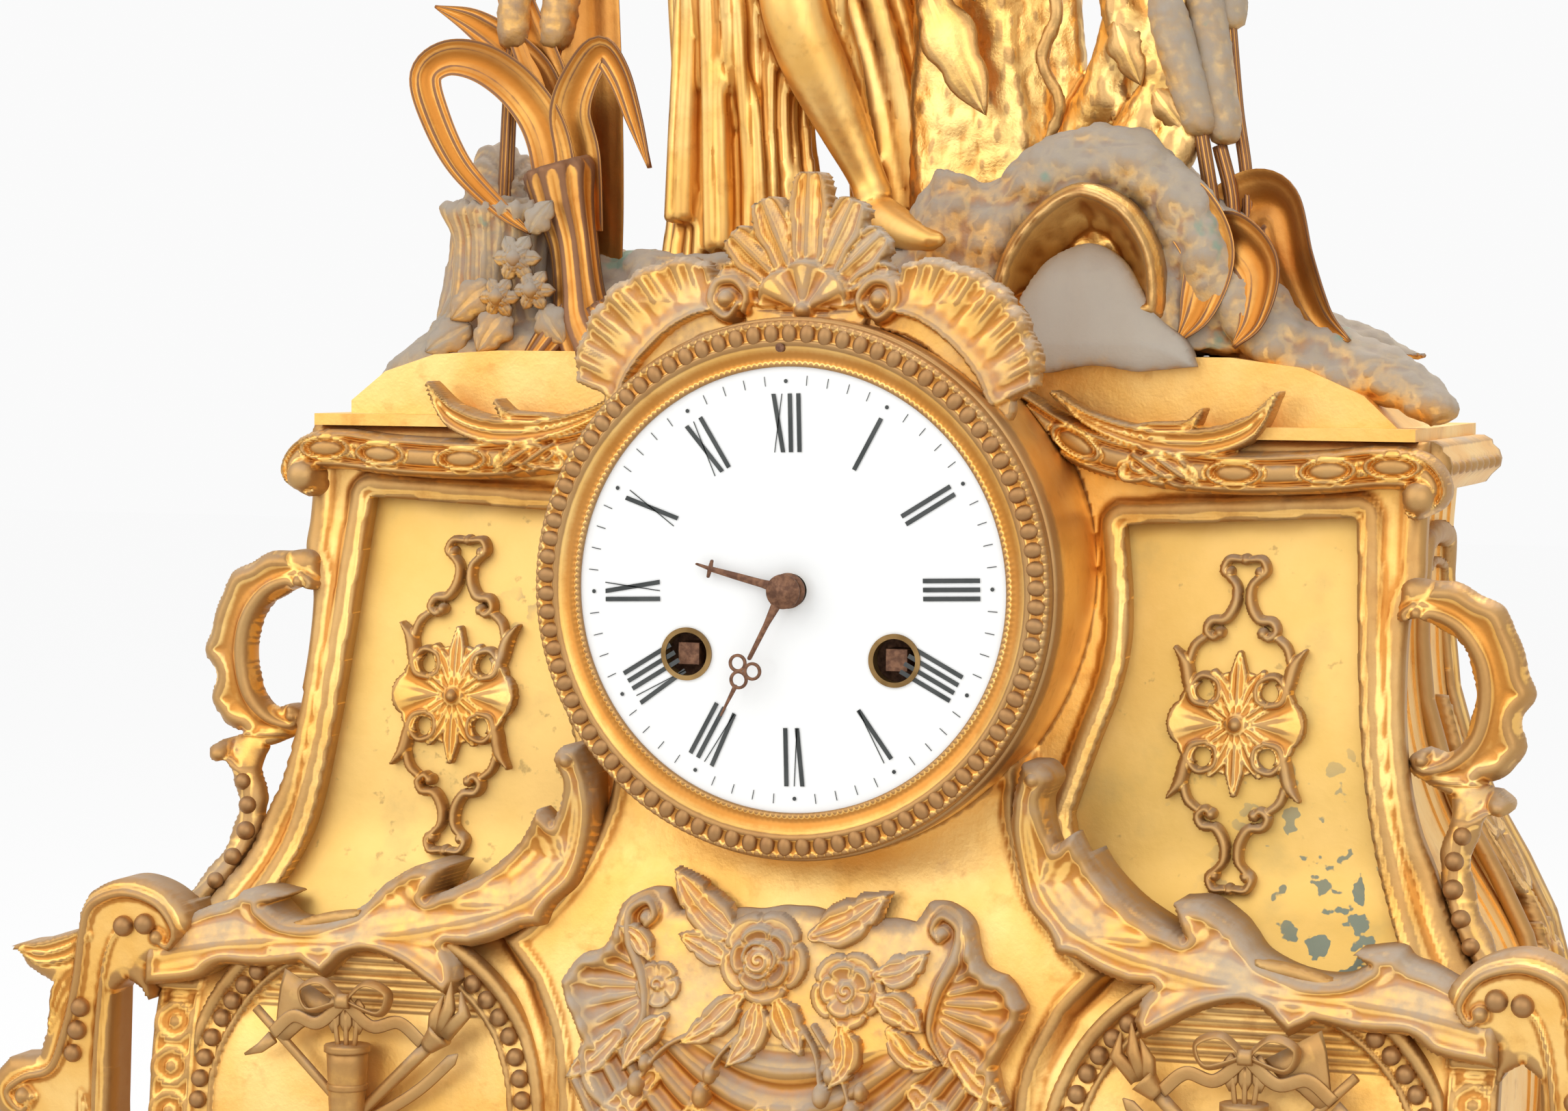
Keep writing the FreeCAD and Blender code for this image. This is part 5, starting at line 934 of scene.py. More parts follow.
def addApplique():
    # pierced strapwork: a boss between two shells and two palmettes, with scrolled straps above and below
    a = applique
    cx, cz = a["middle"]
    r = Relief(cx - 15.5, cx + 15.5, cz - 34.5, cz + 34.5, 0.28)
    plate = (1 - np.hypot((r.x - cx) / a["plate"][0], (r.z - cz) / a["plate"][1])) * 9
    r.rim = plate.copy()
    r.height = np.where(plate > 0, 0.7, -9)

    def at(x, z):
        return cx + x, cz + z
    for up in (-1, 1):
        for fan, size in a["palmette"]:
            s, c = math.sin(math.radians(fan)), math.cos(math.radians(fan)) * up
            r.blade([at(s * 1, c * 1), at(s * size * 0.6, c * size * 0.6), at(s * size, c * size)],
                [0.8, 1.9, 2.1, 0.7], 1.9, 0.3, 0.2)
        for side in (-1, 1):
            across = r.x - cx - side * 3
            gap, angle = np.hypot(across, r.z - cz), np.arctan2(r.z - cz, side * across)
            lobe = 11.4 * (0.90 + 0.10 * np.abs(np.cos(angle * 3.5)) ** 0.6) * (1 - 0.22 * (angle / 1.2) ** 2)
            groove = np.abs(np.sin(angle * 3.5)) ** 4 * unit(gap / 6)
            shell = 1.5 + 0.9 * (gap / 11) ** 2 - 0.7 * groove
            shell *= unit((lobe - gap) * 2) ** 0.4
            shown = (gap < lobe) & (np.abs(angle) < 1.15)
            r.raiseTo(np.where(shown, shell, -9))
            r.widen(np.where(shown, lobe - gap, -9))
            for points, half, height in a["straps"]:
                r.stroke([at(side * x, up * z) for x, z in points], half, height)
            for x, z, radius, height in a["knobs"]:
                r.disc(*at(side * x, up * z), radius, height)
        r.disc(*at(0, up * 33), 1.2, 2.4)
    r.disc(cx, cz, 3.3, 2.6)
    r.disc(cx, cz, 1.9, 3.9)
    rim = r.rim
    for x, z in a["holes"]:
        for side in (-1, 1):
            rim = np.minimum(rim, np.hypot(r.x - cx - side * x, r.z - cz - z) - a["hole"])
    ground = depthOf(r.z, frontCurve) + front["wall"]
    half = r.solid("applique_right", rim, ground - 0.7 - r.height.clip(0.3), ground + 0.2)
    withTwin("panel_appliques", half, "relief_gilt", ["panel_appliques"])


acanthusDepth = [(-26, 4.5), (-34, 6), (-45, 8), (-56, 9), (-66, 6), (-76, 3), (-86, 0), (-98, -4)]
acanthus = {"outline": [[(47, -33.6), (51, -33.9), (53.1, -36.9), (51.5, -41), (52.1, -45.6),
    (53.9, -50.1)], [(57.3, -47.3), (59.5, -51.2), (62.8, -55.9), (68.5, -60.9), (75.3, -64.6),
    (80.6, -66.9)], [(77.6, -60.5), (83.6, -60.4), (89.9, -63.8), (92.6, -66.3), (96.3, -69.8),
    (104.2, -72.7), (112.1, -73.1), (117.5, -70.2)], [(113.8, -68.3), (122.4, -67.3), (125.2, -69.2),
    (130.1, -70.8), (135.6, -73), (143.6, -75.4)], [(143.6, -88), (138.6, -87.6), (130.9, -86.1),
    (125.7, -83), (118, -83), (107.6, -81.7)], [(102.4, -84.6), (97, -79.6), (91.8, -78.6), (85.2, -80.6),
    (78.6, -84.1), (73.6, -86.6)], [(71.9, -83.2), (72.7, -79.2), (74.8, -76.4)],
    [(70.1, -76.5), (64.4, -74.7), (58.9, -72.1)], [(54.6, -71.4), (52.4, -67.1), (47.9, -62.4),
    (45.4, -54.5), (44.3, -47.2), (44.9, -40.6)]], "spines": [[(50, -37), (48.2, -46), (50, -56), (57, -65),
    (68, -70), (82, -73.5), (98, -76), (114, -77), (130, -79), (144, -82)],
    [(62, -67.6), (72, -67.4), (80, -65), (83.4, -61.8)], [(98, -76), (108, -75.4), (116, -72.6),
    (119.4, -69.2)], [(51, -57), (53, -52.6), (55.6, -49.4)], [(114, -79), (96, -77.8), (86, -78.4),
    (79, -81.4), (74.2, -85)]], "fold": 3.4, "eye": (49.6, -36.9), "drumClear": 55.3}


def drawAcanthus(r):
    # one broad leaf: a rolled lip, a soft spine to every tip and fine folds along them
    a = acanthus
    rim = r.area(*a["outline"])
    gap = np.minimum.reduce([r.line(line)[0] for line in a["spines"]])
    folds = 0.08 * np.cos(gap * 2 * math.pi / a["fold"]) * unit(rim / 2)
    body = dome(rim, 2.6, 2.4) + 0.7 * hump(rim, 1.5, 1.1) + 1.2 * hump(gap, 0, 4.0)
    r.height = np.where(rim > 0, body + folds, -9)
    r.rim = rim
    r.disc(*a["eye"], 2.3, 5.2)


def addAcanthus():
    r = Relief(39, 144.5, -92, -31, 0.42)
    drawAcanthus(r)
    rim = np.minimum(r.rim, r.away(0, 0) - acanthus["drumClear"])
    wall = np.minimum(depthOf(r.z, frontCurve), np.where(r.x < 60, depthOf(r.z, fieldCurve), 99)) + 1.0
    face = depthOf(r.z, acanthusDepth) + 1.6 - r.height.clip(0) * 1.15
    half = r.solid("acanthus_right", rim, face, np.maximum(wall, face + 1.5))
    pair(half, "acanthus", "dusty_gilt")


cartouche = {"outline": [[(-6, -64)], [(14, -66), (25, -66.5)], [(28, -62.5), (33, -62.5), (38, -67),
    (40, -74), (45, -76)], [(50, -82), (46.5, -90), (44, -94)], [(47, -102), (42, -110), (34, -113)],
    [(26, -122), (14, -127), (0, -129)], [(-6, -129)]], "roses": [(-5.5, -75.0, 9.6, 5.6, 3),
    (12.5, -80.5, 8.0, 3.6, 2), (-28.0, -81.5, 5.0, 2.8, 1)], "sprays": [([(-12, -71), (-19, -66),
    (-26, -58)], 4.6), ([(5, -70), (12, -67), (20, -61)], 4.8), ([(-13, -76), (-19, -73), (-24, -71)], 3.4),
    ([(19, -77), (24, -76), (29, -72)], 3.8), ([(19, -82), (24, -84), (29, -88)], 3.8),
    ([(-2, -83), (1, -89), (4, -94)], 3.8), ([(-10, -83), (-16, -89), (-22, -93)], 3.8),
    ([(-6, -84), (-7, -91), (-12, -97)], 3.6), ([(12, -88), (13, -94), (10, -100)], 3.8),
    ([(22, -88), (27, -93), (33, -94)], 3.2), ([(-26, -88), (-31, -93), (-34, -99)], 3.2),
    ([(-30, -76), (-33, -72), (-37, -70)], 2.6)], "buds": [(-31, -101.5), (-17, -103), (8.5, -101.5),
    (15, -104.5)], "lobes": [([(36, -92), (41, -97), (46.5, -101)], 3.4),
    ([(28, -100), (34, -106), (41, -110)], 3.6), ([(18, -106), (24, -114), (29, -120)], 3.6),
    ([(4, -106), (7, -116), (12, -126)], 4)]}


def roseHeight(x, z, cx, cz, radius, height, rings):
    # petals overlap in rings round a coiled heart
    gap = np.hypot(x - cx, z - cz)
    angle = np.arctan2(z - cz, x - cx)
    whole = np.full(x.shape, -9.0)
    for ring in range(rings):
        size = radius * (1 - ring * 0.29)
        petals = 5 if ring < 2 else 3
        phase = angle * petals / 2 + ring * 1.1 + 0.5
        lobe = size * (0.84 + 0.16 * np.abs(np.cos(phase)) ** 0.5)
        u = gap / lobe
        cup = height * (0.42 + 0.29 * ring) * (0.5 + 0.65 * unit(u) ** 3)
        cup -= 0.9 * hump(np.cos(phase), 0, 0.13) * u
        whole = np.maximum(whole, np.where(u < 1, cup * unit((1.02 - u) * 8) ** 0.4, -9))
    coil = height * (1.0 if rings == 3 else 0.8) - 0.7 * np.abs(np.sin(gap * 1.9 + angle * 0.5))
    return np.maximum(whole, np.where(gap < radius * 0.27, coil, -9))


def addCartouche():
    c = cartouche
    r = Relief(0, 51.5, -131, -61, 0.42, True)
    rim = chase(r, c["outline"], 1.7, 3.2, 9.0, 0.4, 8.0)
    fan = np.arctan2(r.z + 82, r.x - 26)
    wing = unit((r.x - 31) / 6) * unit((r.z + 100) / 5)
    flutes = 0.34 * np.cos(fan * 26) * unit(rim / 2)
    r.height += wing * (flutes + 2.2 * hump(rim, 1.6, 1.7) - 0.9 * hump(rim, 6.5, 3.0))
    ribs = unit((-92 - r.z) / 5) * unit(rim / 3)
    r.height += ribs * 1.1 * np.cos((r.z - 0.004 * r.x ** 2 * 5) * 2 * math.pi / 7.5)
    r.rim = rim
    r.stroke([(31.2, -69.6), (29.6, -67.6), (31.4, -64.8), (35, -67.2), (34.6, -73), (31.4, -80),
        (30.4, -88), (34, -94)], [1.0, 1.2, 1.4, 1.6, 1.6, 1.3, 1.0, 0.5], 4.0, 0.6)
    r.disc(31.4, -68.4, 1.9, 4.0)
    r.stroke([(43, -95), (41.5, -103), (33, -109), (24, -117), (10, -122.5), (0, -124)],
        [1.0, 1.5, 1.5, 1.4, 1.4, 1.4], 3.0, 0.6)
    for points, half in c["lobes"]:
        r.blade(points, [2, half, 0.6], 3.4, 0.1, 0.3, soft=0.8)
    ground = depthOf(r.z, fieldCurve)
    shell = r.solid("cartouche", np.minimum(rim, 51.5 - r.x), ground - 2.0 - r.height * 1.1, ground + 0.8)
    finishPiece(shell, "dusty_gilt", instead=["cartouche"])
    f = Relief(-42, 36, -110, -54, 0.33)
    for spine, half in c["sprays"]:
        f.blade(spine, [half * 0.4, half * 0.95, half, half * 0.65, 0.2], 2.6, 0.16, 0.3, 2.0, 0.05, 0.5)
    for x, z in c["buds"]:
        f.stroke([(x * 0.4, -88), (x * 0.8, z + 8), (x, z)], [0.7, 0.6, 0.6], 2.0)
        f.raiseTo(bar(np.hypot((f.x - x) / 0.72, f.z - z), 2.7, 3.6))
        f.raiseTo(bar(np.hypot((f.x - x - 1.6) / 0.72, f.z - z - 4.2), 2.1, 3.0))
    for x, z, radius, height, rings in c["roses"]:
        f.height = np.where(f.away(x, z) < radius * 0.8, 0, f.height)
        f.raiseTo(roseHeight(f.x, f.z, x, z, radius, height, rings))
    flowers = f.sheet("cartouche_flowers", depthOf(f.z, fieldCurve) - 4.0, 1.6)
    finishPiece(flowers, "dusty_gilt")


medallion = {"x": 94.5, "z": -112.0, "beadRing": 37.0, "beads": 52, "bead": 1.95, "outer": 41.8, "rib": 2.1,
    "half": 43}


def addMedallions():
    m = medallion
    window = m["x"] - m["half"], m["x"] + m["half"], m["z"] - m["half"], m["z"] + m["half"], 0.6
    r = Relief(*window)
    gap = r.away(m["x"], m["z"])
    ribs = 0.45 * np.abs(np.sin(math.pi * r.z / m["rib"]))
    r.height = np.where(gap < 34.0, ribs - 1.6, 0.2)
    r.height = np.maximum(r.height, bar(np.abs(gap - 34.3), 0.8, 0.9))
    r.height = np.maximum(r.height, bar(np.abs(gap - 40.4), 1.5, 1.5))
    r.height = np.where((gap > 35) & (gap < 39), -0.5, r.height)
    face = np.minimum(depthOf(r.z, frontCurve), 4.0)
    leafy = Relief(*window)
    drawAcanthus(leafy)
    rim = np.minimum(np.minimum(m["outer"] - gap, 1.5 - leafy.rim), 132.6 - r.x)
    rim = np.minimum(rim, -insideOf(r.x, r.z, outlineOf(*cartouche["outline"])))
    half = r.solid("medallion_right", rim, face - r.height - 0.3, face + 2.4)
    withTwin("medallions", half, "matt_gilt", ["medallions"])
    places = []
    for i in range(m["beads"]):
        a = 2 * math.pi * i / m["beads"]
        x, z = m["x"] + m["beadRing"] * math.cos(a), m["z"] + m["beadRing"] * math.sin(a)
        row, column = int((z - r.z[0, 0]) / r.cell), int((x - r.x[0, 0]) / r.cell)
        hidden = leafy.rim[min(row, r.x.shape[0] - 1), min(column, r.x.shape[1] - 1)] > -1.0
        hidden = hidden or insideOf(np.array([x]), np.array([z]), outlineOf(*cartouche["outline"]))[0] > -1
        if not hidden and x < 132:
            y = min(float(depthOf(z, frontCurve)), 4.0) - 0.4
            places += [(x, y, z), (-x, y, z)]
    beads = beadRow("medallion_beads", places, (m["bead"],) * 3, segments=14)
    finishPiece(beads, "bead_gilt")


# places are across, up and forwards from the medallion's middle, those of loop and tail from the knot
trophy = {"bands": [(14, 4.9), (6, 4.3), (-20, 3.3), (-30, 2.9)], "arrows": (-2.6, 0.2, 3.0),
    "axeBlade": ([(16, 15, 0.3), (14, 19, 0.4), (11.5, 23, 0.4), (9.5, 26.5, 0.3)],
    [(1.6, 0.9), (3.4, 0.8), (5.6, 0.6), (6.6, 0.3)]), "axeBeak": ([(18, 15, 0.2), (21, 12.5, 0.2),
    (24.5, 11, 0.2)], [(1.5, 0.8), (1.1, 0.6), (0.3, 0.2)]), "flames": [(-3.5, 9), (0, 11), (3, 8)],
    "sabre": [(28, -12, 0.4), (16, -9, 0.4), (0, -3, 0.4), (-14, 5, 0.4), (-24, 14, 0.4)],
    "guard": [(25, -10.5, 1.0), (28, -6, 1.0), (33, -8, 1.0), (33, -13, 1.0)],
    "bow": [(-27, -12, 0.3), (-19, -19, 0.3), (-8, -21, 0.3), (3, -24, 0.3), (15, -23, 0.3),
    (25, -17, 0.3)], "knot": (0.8, 24), "loop": [(0, 0, 2.2), (5, 4, 2.8), (10, 2, 2.6), (8, -2.4, 2.6),
    (1, -0.5, 2.4)], "tail": [(0, 0, 2.2), (6, -5, 2.2), (12, -4, 1.6), (17, -8, 1.0)]}


def addTrophies():
    # quiver, torch, arrow, axe and sabre crossed behind a bow of ribbon
    parts = []
    kx, kz = trophy["knot"]

    def p(x, z, lift=0.0):
        return medallion["x"] + x, -2.6 - lift, medallion["z"] + z

    def run(points, step):
        return smoothLine([p(*point) for point in points], step)

    def addRod(name, start, end, r0, r1=None, count=12):
        path = np.linspace(p(*start), p(*end), count)
        widths = np.linspace(r0, r0 if r1 is None else r1, count)
        parts.append(sweep(name, path, widths, sides=14))

    def addSweep(name, points, halves, sides=10):
        parts.append(sweep(name, [p(*point) for point in points], halves, sides=sides))
    addRod("quiver", (0.4, -31, 1.5), (0.4, 14, 1.5), 2.4, 4.4, 16)
    for height, radius in trophy["bands"]:
        addRod("quiver_band", (0.4, height - 0.7, 1.5), (0.4, height + 0.7, 1.5), radius, count=4)
    for x in trophy["arrows"]:
        addRod("arrow_shaft", (0.4 + x * 0.6, 13, 1.8), (0.4 + x, 22, 1.8), 0.55, count=5)
        addSweep("arrow_flight", [(0.4 + x, z, 1.8) for z in (17, 19, 23, 24.5)],
            [(0.4, 0.3), (1.5, 0.5), (1.5, 0.5), (0.3, 0.3)], 8)
    addRod("axe_haft", (-24, -24), (22, 21), 1.0)
    addSweep("axe_blade", *trophy["axeBlade"], 12)
    addSweep("axe_beak", *trophy["axeBeak"])
    addRod("torch", (24, -25), (-17, 15), 0.9, 1.5)
    addRod("torch_cup", (-17, 15, 0.2), (-20, 18, 0.2), 1.7, 3.0, 6)
    for lean, tall in trophy["flames"]:
        addSweep("torch_flame", [(-20 + lean * 0.3, 18, 0.4), (-22 + lean, 18 + tall * 0.5, 0.4),
            (-22.5 + lean * 0.6, 18 + tall, 0.4)], [1.9, 1.5, 0.2])
    sabre = run(trophy["sabre"], 2.0)
    parts.append(sweep("sabre_blade", sabre, [(1.3, 0.5)] * (len(sabre) - 1) + [(0.2, 0.2)], sides=10))
    guard = run(trophy["guard"], 1.0)
    parts.append(sweep("sabre_guard", guard, 0.6 * np.ones(len(guard)), sides=8))
    addRod("sabre_grip", (26, -11.3, 0.6), (32, -13, 0.6), 1.2, 1.0, 6)
    bow = run(trophy["bow"], 1.5)
    parts.append(sweep("archers_bow", bow, 0.95 * np.ones(len(bow)), sides=10))
    for side in (-1, 1):
        loop, tail = (run([(kx + side * x, kz + z, lift) for x, z, lift in trophy[key]],
            0.8) for key in ("loop", "tail"))
        parts.append(sweep("ribbon_loop", loop, [(1.5, 0.4)] * len(loop), sides=10, hint=(0, -0.3, 1)))
        parts.append(sweep("ribbon_tail", tail, [(1.4, 0.35)] * len(tail), sides=10))
    addRod("ribbon_knot", (kx - 1.4, kz, 3), (kx + 1.4, kz, 3), 1.6, count=4)
    half = joinPieces("trophy_right", parts)
    withTwin("trophies", half, "relief_gilt", ["trophies"])


addApplique()
addAcanthus()
addCartouche()
addMedallions()
addTrophies()
print("carved mounts of the front")

cornice = {"path": [(39, 37), (48, 31), (60, 26.5), (80, 24.2), (100, 24.6), (113, 25.8), (121, 25),
    (124, 21), (120.5, 18)], "half": 4.2, "proud": 8.0, "cabochons": [(51, 29.8, -30), (84, 24.2, 0),
    (103, 25, 4), (116, 26, 0)], "twist": (62, 75), "cabochon": (4.4, 1.9), "drumClear": 55.2}


def addCornices():
    c = cornice
    r = Relief(36, 130, 12, 45, 0.4)
    gap, along, side, total = r.line(c["path"])
    t = along / total
    half = c["half"] * np.clip(0.62 + 0.9 * np.sin(math.pi * unit(t * 0.93 + 0.05)), 0.4, 1.06)
    half = np.where(t > 0.86, c["half"] * (1.05 - (t - 0.86) * 3), half)
    half = np.maximum(half, 1.6)
    rim = half - gap
    u = unit(gap / half)
    h = 5.4 * np.sqrt(1 - u ** 2)
    lip = hump(u, 0.72, 0.14)
    h += 1.2 * lip * np.where(side > 0, 1.2, 0.8) - 1.3 * hump(u, 0.50, 0.12)
    for x, z, turn in c["cabochons"]:
        k, s = math.cos(math.radians(turn)), math.sin(math.radians(turn))
        a = ((r.x - x) * k + (r.z - z) * s) / c["cabochon"][0]
        b = (-(r.x - x) * s + (r.z - z) * k) / c["cabochon"][1]
        q = np.hypot(a, b)
        rings = 1.6 * hump(q, 1.22, 0.14) - 0.9 * hump(q, 0.98, 0.12)
        h = np.where(q < 1.5, 4.4 + rings + 1.3 * np.sqrt(unit(1 - q * q)), h)
    low, high = c["twist"]
    flutes = np.sin((r.x * 0.8 + (r.z - 25) * 1.15) * 2 * math.pi / 3.3)
    within = unit(np.minimum(r.x - low, high - r.x) / 1.2)
    h += within * (0.9 * flutes + 0.7) * unit(rim / 1.2)
    knob = r.away(121.4, 20.0)
    h = np.maximum(h, 5.0 + bar(knob, 3.3, 2.6))
    rim = np.maximum(rim, 3.3 - knob)
    r.height = np.where(rim > 0, h, 0)
    r.rim = rim
    r.blade([(46, 40), (54, 34.5), (66, 30.8), (78, 30.4), (87, 33.6), (92.6, 40.6)],
        [0.5, 1.7, 2.4, 3.2, 2.8, 0.3], 6.6, 0.1, 0.3)
    r.blade([(60, 33), (68, 32.6), (74, 33.4), (77, 37)], [0.5, 1.8, 1.8, 0.3], 6.0, 0.1, 0.3)
    r.blade([(62, 24), (68, 25.4), (73, 25), (76.6, 22)], [2.4, 3.4, 2.6, 0.3], 7.0, 0.15, 0.3, 0, 0.2)
    rim = np.minimum(r.rim, r.away(0, 0) - c["drumClear"])
    back = depthOf(r.z, frontCurve)
    face = back - c["proud"] + 6.2 - r.height * 1.1
    piece = r.solid("cornice_right", rim, face, np.maximum(back, face + 1.0) + 0.3)
    pair(piece, "cornice", "relief_gilt")


handle = {"outline": [[(117, -5), (118, 2.5), (125, 4.2), (135, 1), (140.5, -4), (142.5, -10), (145.2, -18),
    (143, -24), (143.4, -30), (141, -34.4), (136, -36.6)], [(139, -37.2), (142, -40.5), (139.5, -43),
    (136.5, -43.5), (134.4, -50), (134.6, -56), (137.4, -63), (141, -69), (147, -76)], [(146, -82)],
    [(136, -72)], [(130, -62), (127.2, -53), (128.5, -46), (129.2, -39.2)],
    [(124, -38), (120.4, -35), (120.6, -30.8), (124, -29.6), (128, -30.6), (131.6, -26), (132.8, -20),
    (132, -13), (128, -7.4), (122, -4.6)]], "bones": [([(121, -1.5), (119, -3.4), (121, -5.4), (124, -3),
    (130, -5.5), (134.5, -12), (135.6, -20), (133.8, -28), (129, -33), (123.5, -34.4), (121.6, -32.4),
    (123.6, -31)], 2.3, 3.6), ([(139.5, -41), (132.6, -44.5), (131, -50), (131, -57), (133.4, -63.5),
    (139.5, -71.5), (145, -78)], 2.0, 2.6)], "beads": [(132.2, -46.5), (130.8, -51.5), (130.8, -57),
    (132.8, -62.5), (135.3, -67.4), (139, -71.8), (142.2, -75.4)], "front": 27.5, "back": 38.5}


def addHandles():
    h = handle
    r = Relief(*reach(h["outline"]), 0.4)
    rim = chase(r, h["outline"], 2.6, 3.6, 10.0, 0.7)
    side = r.line(h["bones"][0][0])[2]
    lip = 1.1 * hump(rim, 2.2, 2.0) - 0.4
    r.height += np.where((side > 0) & (r.z > -37) & (rim > 0), lip, 0)
    decorate(r, h["bones"], [(121.5, -3, 2.0, 4.4), (123, -32.4, 2.1, 4.4), (139, -40, 2.9, 4.8)])
    middle = (h["front"] + h["back"]) / 2
    drop = unit((-36 - r.z) / 8)
    plane = middle + (depthOf(r.z, frontCurve) + 2.0 - middle) * drop
    swell = r.height.clip(0) * 1.15
    piece = r.solid("side_scroll_right", rim, plane - 0.3 - swell, plane + 0.3 + swell * 0.9)
    pair(piece, "side_scroll", "relief_gilt")
    places = [(s * x, float(depthOf(z, frontCurve)) - 1.0, z) for x, z in h["beads"] for s in (1, -1)]
    sizes = [(2.1 - 0.12 * abs(i // 2 - 2),) * 3 for i in range(len(places))]
    finishPiece(beadRow("strut_beads", places, sizes, segments=16), "bead_gilt")


bracket = {"outline": [[(143, -84)], [(137, -80), (133.5, -74), (139, -68), (148, -65.5), (156, -68.5),
    (159.5, -74)], [(157.5, -78), (161, -82), (168, -83.4), (174.5, -81)], [(172, -85.5), (165.5, -89)],
    [(166.2, -96), (169, -105)], [(176, -105.6), (180.2, -111), (178.5, -118), (171, -120.5)],
    [(166, -130), (166.5, -141)], [(169, -158)], [(143, -158)], [(143, -141)],
    [(147.5, -143.5), (152, -141)], [(152.2, -115), (151.5, -90)], [(148, -87), (144.6, -89)],
    [(143, -92)]], "bones": [([(140.5, -77), (137.8, -79.5), (136, -76), (140, -70.5), (148, -68.4),
    (155.5, -71.5), (157.6, -78), (159, -88), (161.4, -98), (165, -107), (171.5, -109.5), (175.6, -113),
    (172, -116.6), (169.4, -113.4)], 1.7, 4.2), ([(148, -75), (151.5, -80), (153.6, -90), (155, -110),
    (155.4, -141)], 1.1, 3.4), ([(165, -121), (161.8, -131), (162, -142), (165.5, -155)], 1.7, 4.0)],
    "leaves": [([(157, -78), (162, -81), (168, -82.4), (174, -81.3)], [1.6, 3.2, 2.8, 0.4], 4.0),
    ([(158, -112), (157, -122), (159, -134), (160.5, -150)], [0.8, 3.2, 3.4, 0.4], 3.4),
    ([(158, -84), (163, -90), (166, -99)], [1.4, 2.6, 0.4], 3.2)], "balls": [(140, -77.6, 2.2, 5.0),
    (171.6, -113.4, 2.6, 5.4)], "beads": [(148, -75.5), (143, -74.8), (158.2, -93.5), (159, -98.5),
    (160, -103.5)]}


def addBrackets():
    b = bracket
    r = Relief(*reach(b["outline"]), 0.45)
    r.rim = chase(r, b["outline"], 2.6, 3.0)
    decorate(r, b["bones"], b["balls"])
    for points, half, height in b["leaves"]:
        r.blade(points, half, height, 0.2, 0.3)
    overWall = insideOf(r.x, r.z, outlineOf(*wallEdge)) > -0.4
    face = 1.4 - r.height
    seat = np.where(overWall, np.maximum(depthOf(r.z, frontCurve), face + 1.0), 10.0)
    face = np.where(overWall, np.minimum(face, seat - 1.0), face)
    piece = r.solid("corner_bracket_right", r.rim, face, seat)
    pair(piece, "corner_bracket", "relief_gilt")
    places = [(s * x, -1.5, z) for x, z in b["beads"] for s in (1, -1)]
    sizes = [(2.3 - 0.15 * (i // 4),) * 3 for i in range(len(places))]
    finishPiece(beadRow("bracket_beads", places, sizes, segments=16), "bead_gilt")


crest = {"band": [(18.0, 56.4), (24.5, 54.4), (31, 49.8), (36.4, 43.6), (39.4, 37.2)], "bandWidth": 15.5,
    "lobes": 6, "rib": [(13.4, 57.6), (16.0, 54.8), (19.2, 57.6), (18.4, 61.8), (14.6, 62.4), (12.0, 59.4),
    (12.4, 56.2)], "petals": [(0, 27.5), (24, 24.0), (47, 22.0), (70, 19.5)], "heart": (0, 57.0),
    "petalWidth": 5.6, "drumClear": 54.6}


def shellBand(r, spine, width, lobes, height):
    # a scalloped shell beside a line: rolled at the line, hollow, then lifted and fluted towards its rim
    gap, along, side, total = r.line(spine)
    t = along / total
    phase = t * lobes
    half = width * (0.5 + 0.5 * np.sin(math.pi * unit(0.10 + t * 0.78)))
    half = half * (0.93 + 0.07 * np.abs(np.cos(math.pi * phase)) ** 0.5)
    u = gap / np.maximum(half, 0.1)
    body = 0.45 * hump(u, 0, 0.16) + 0.62 + 0.55 * unit(u) ** 2.4
    flute = 0.17 * np.abs(np.sin(math.pi * phase)) ** 6 * unit((u - 0.15) * 1.6)
    flute += 0.035 * np.cos(phase * 6 * math.pi) * unit((u - 0.4) * 2)
    rolled = unit((1.0 - u) * 9) ** 0.5
    inside = (side > 0) & (u < 1.0) & (t > 0.001) & (t < 0.999)
    return np.where(inside, height * (body - flute) * rolled, -9), np.where(inside, (1 - u) * half, -9)


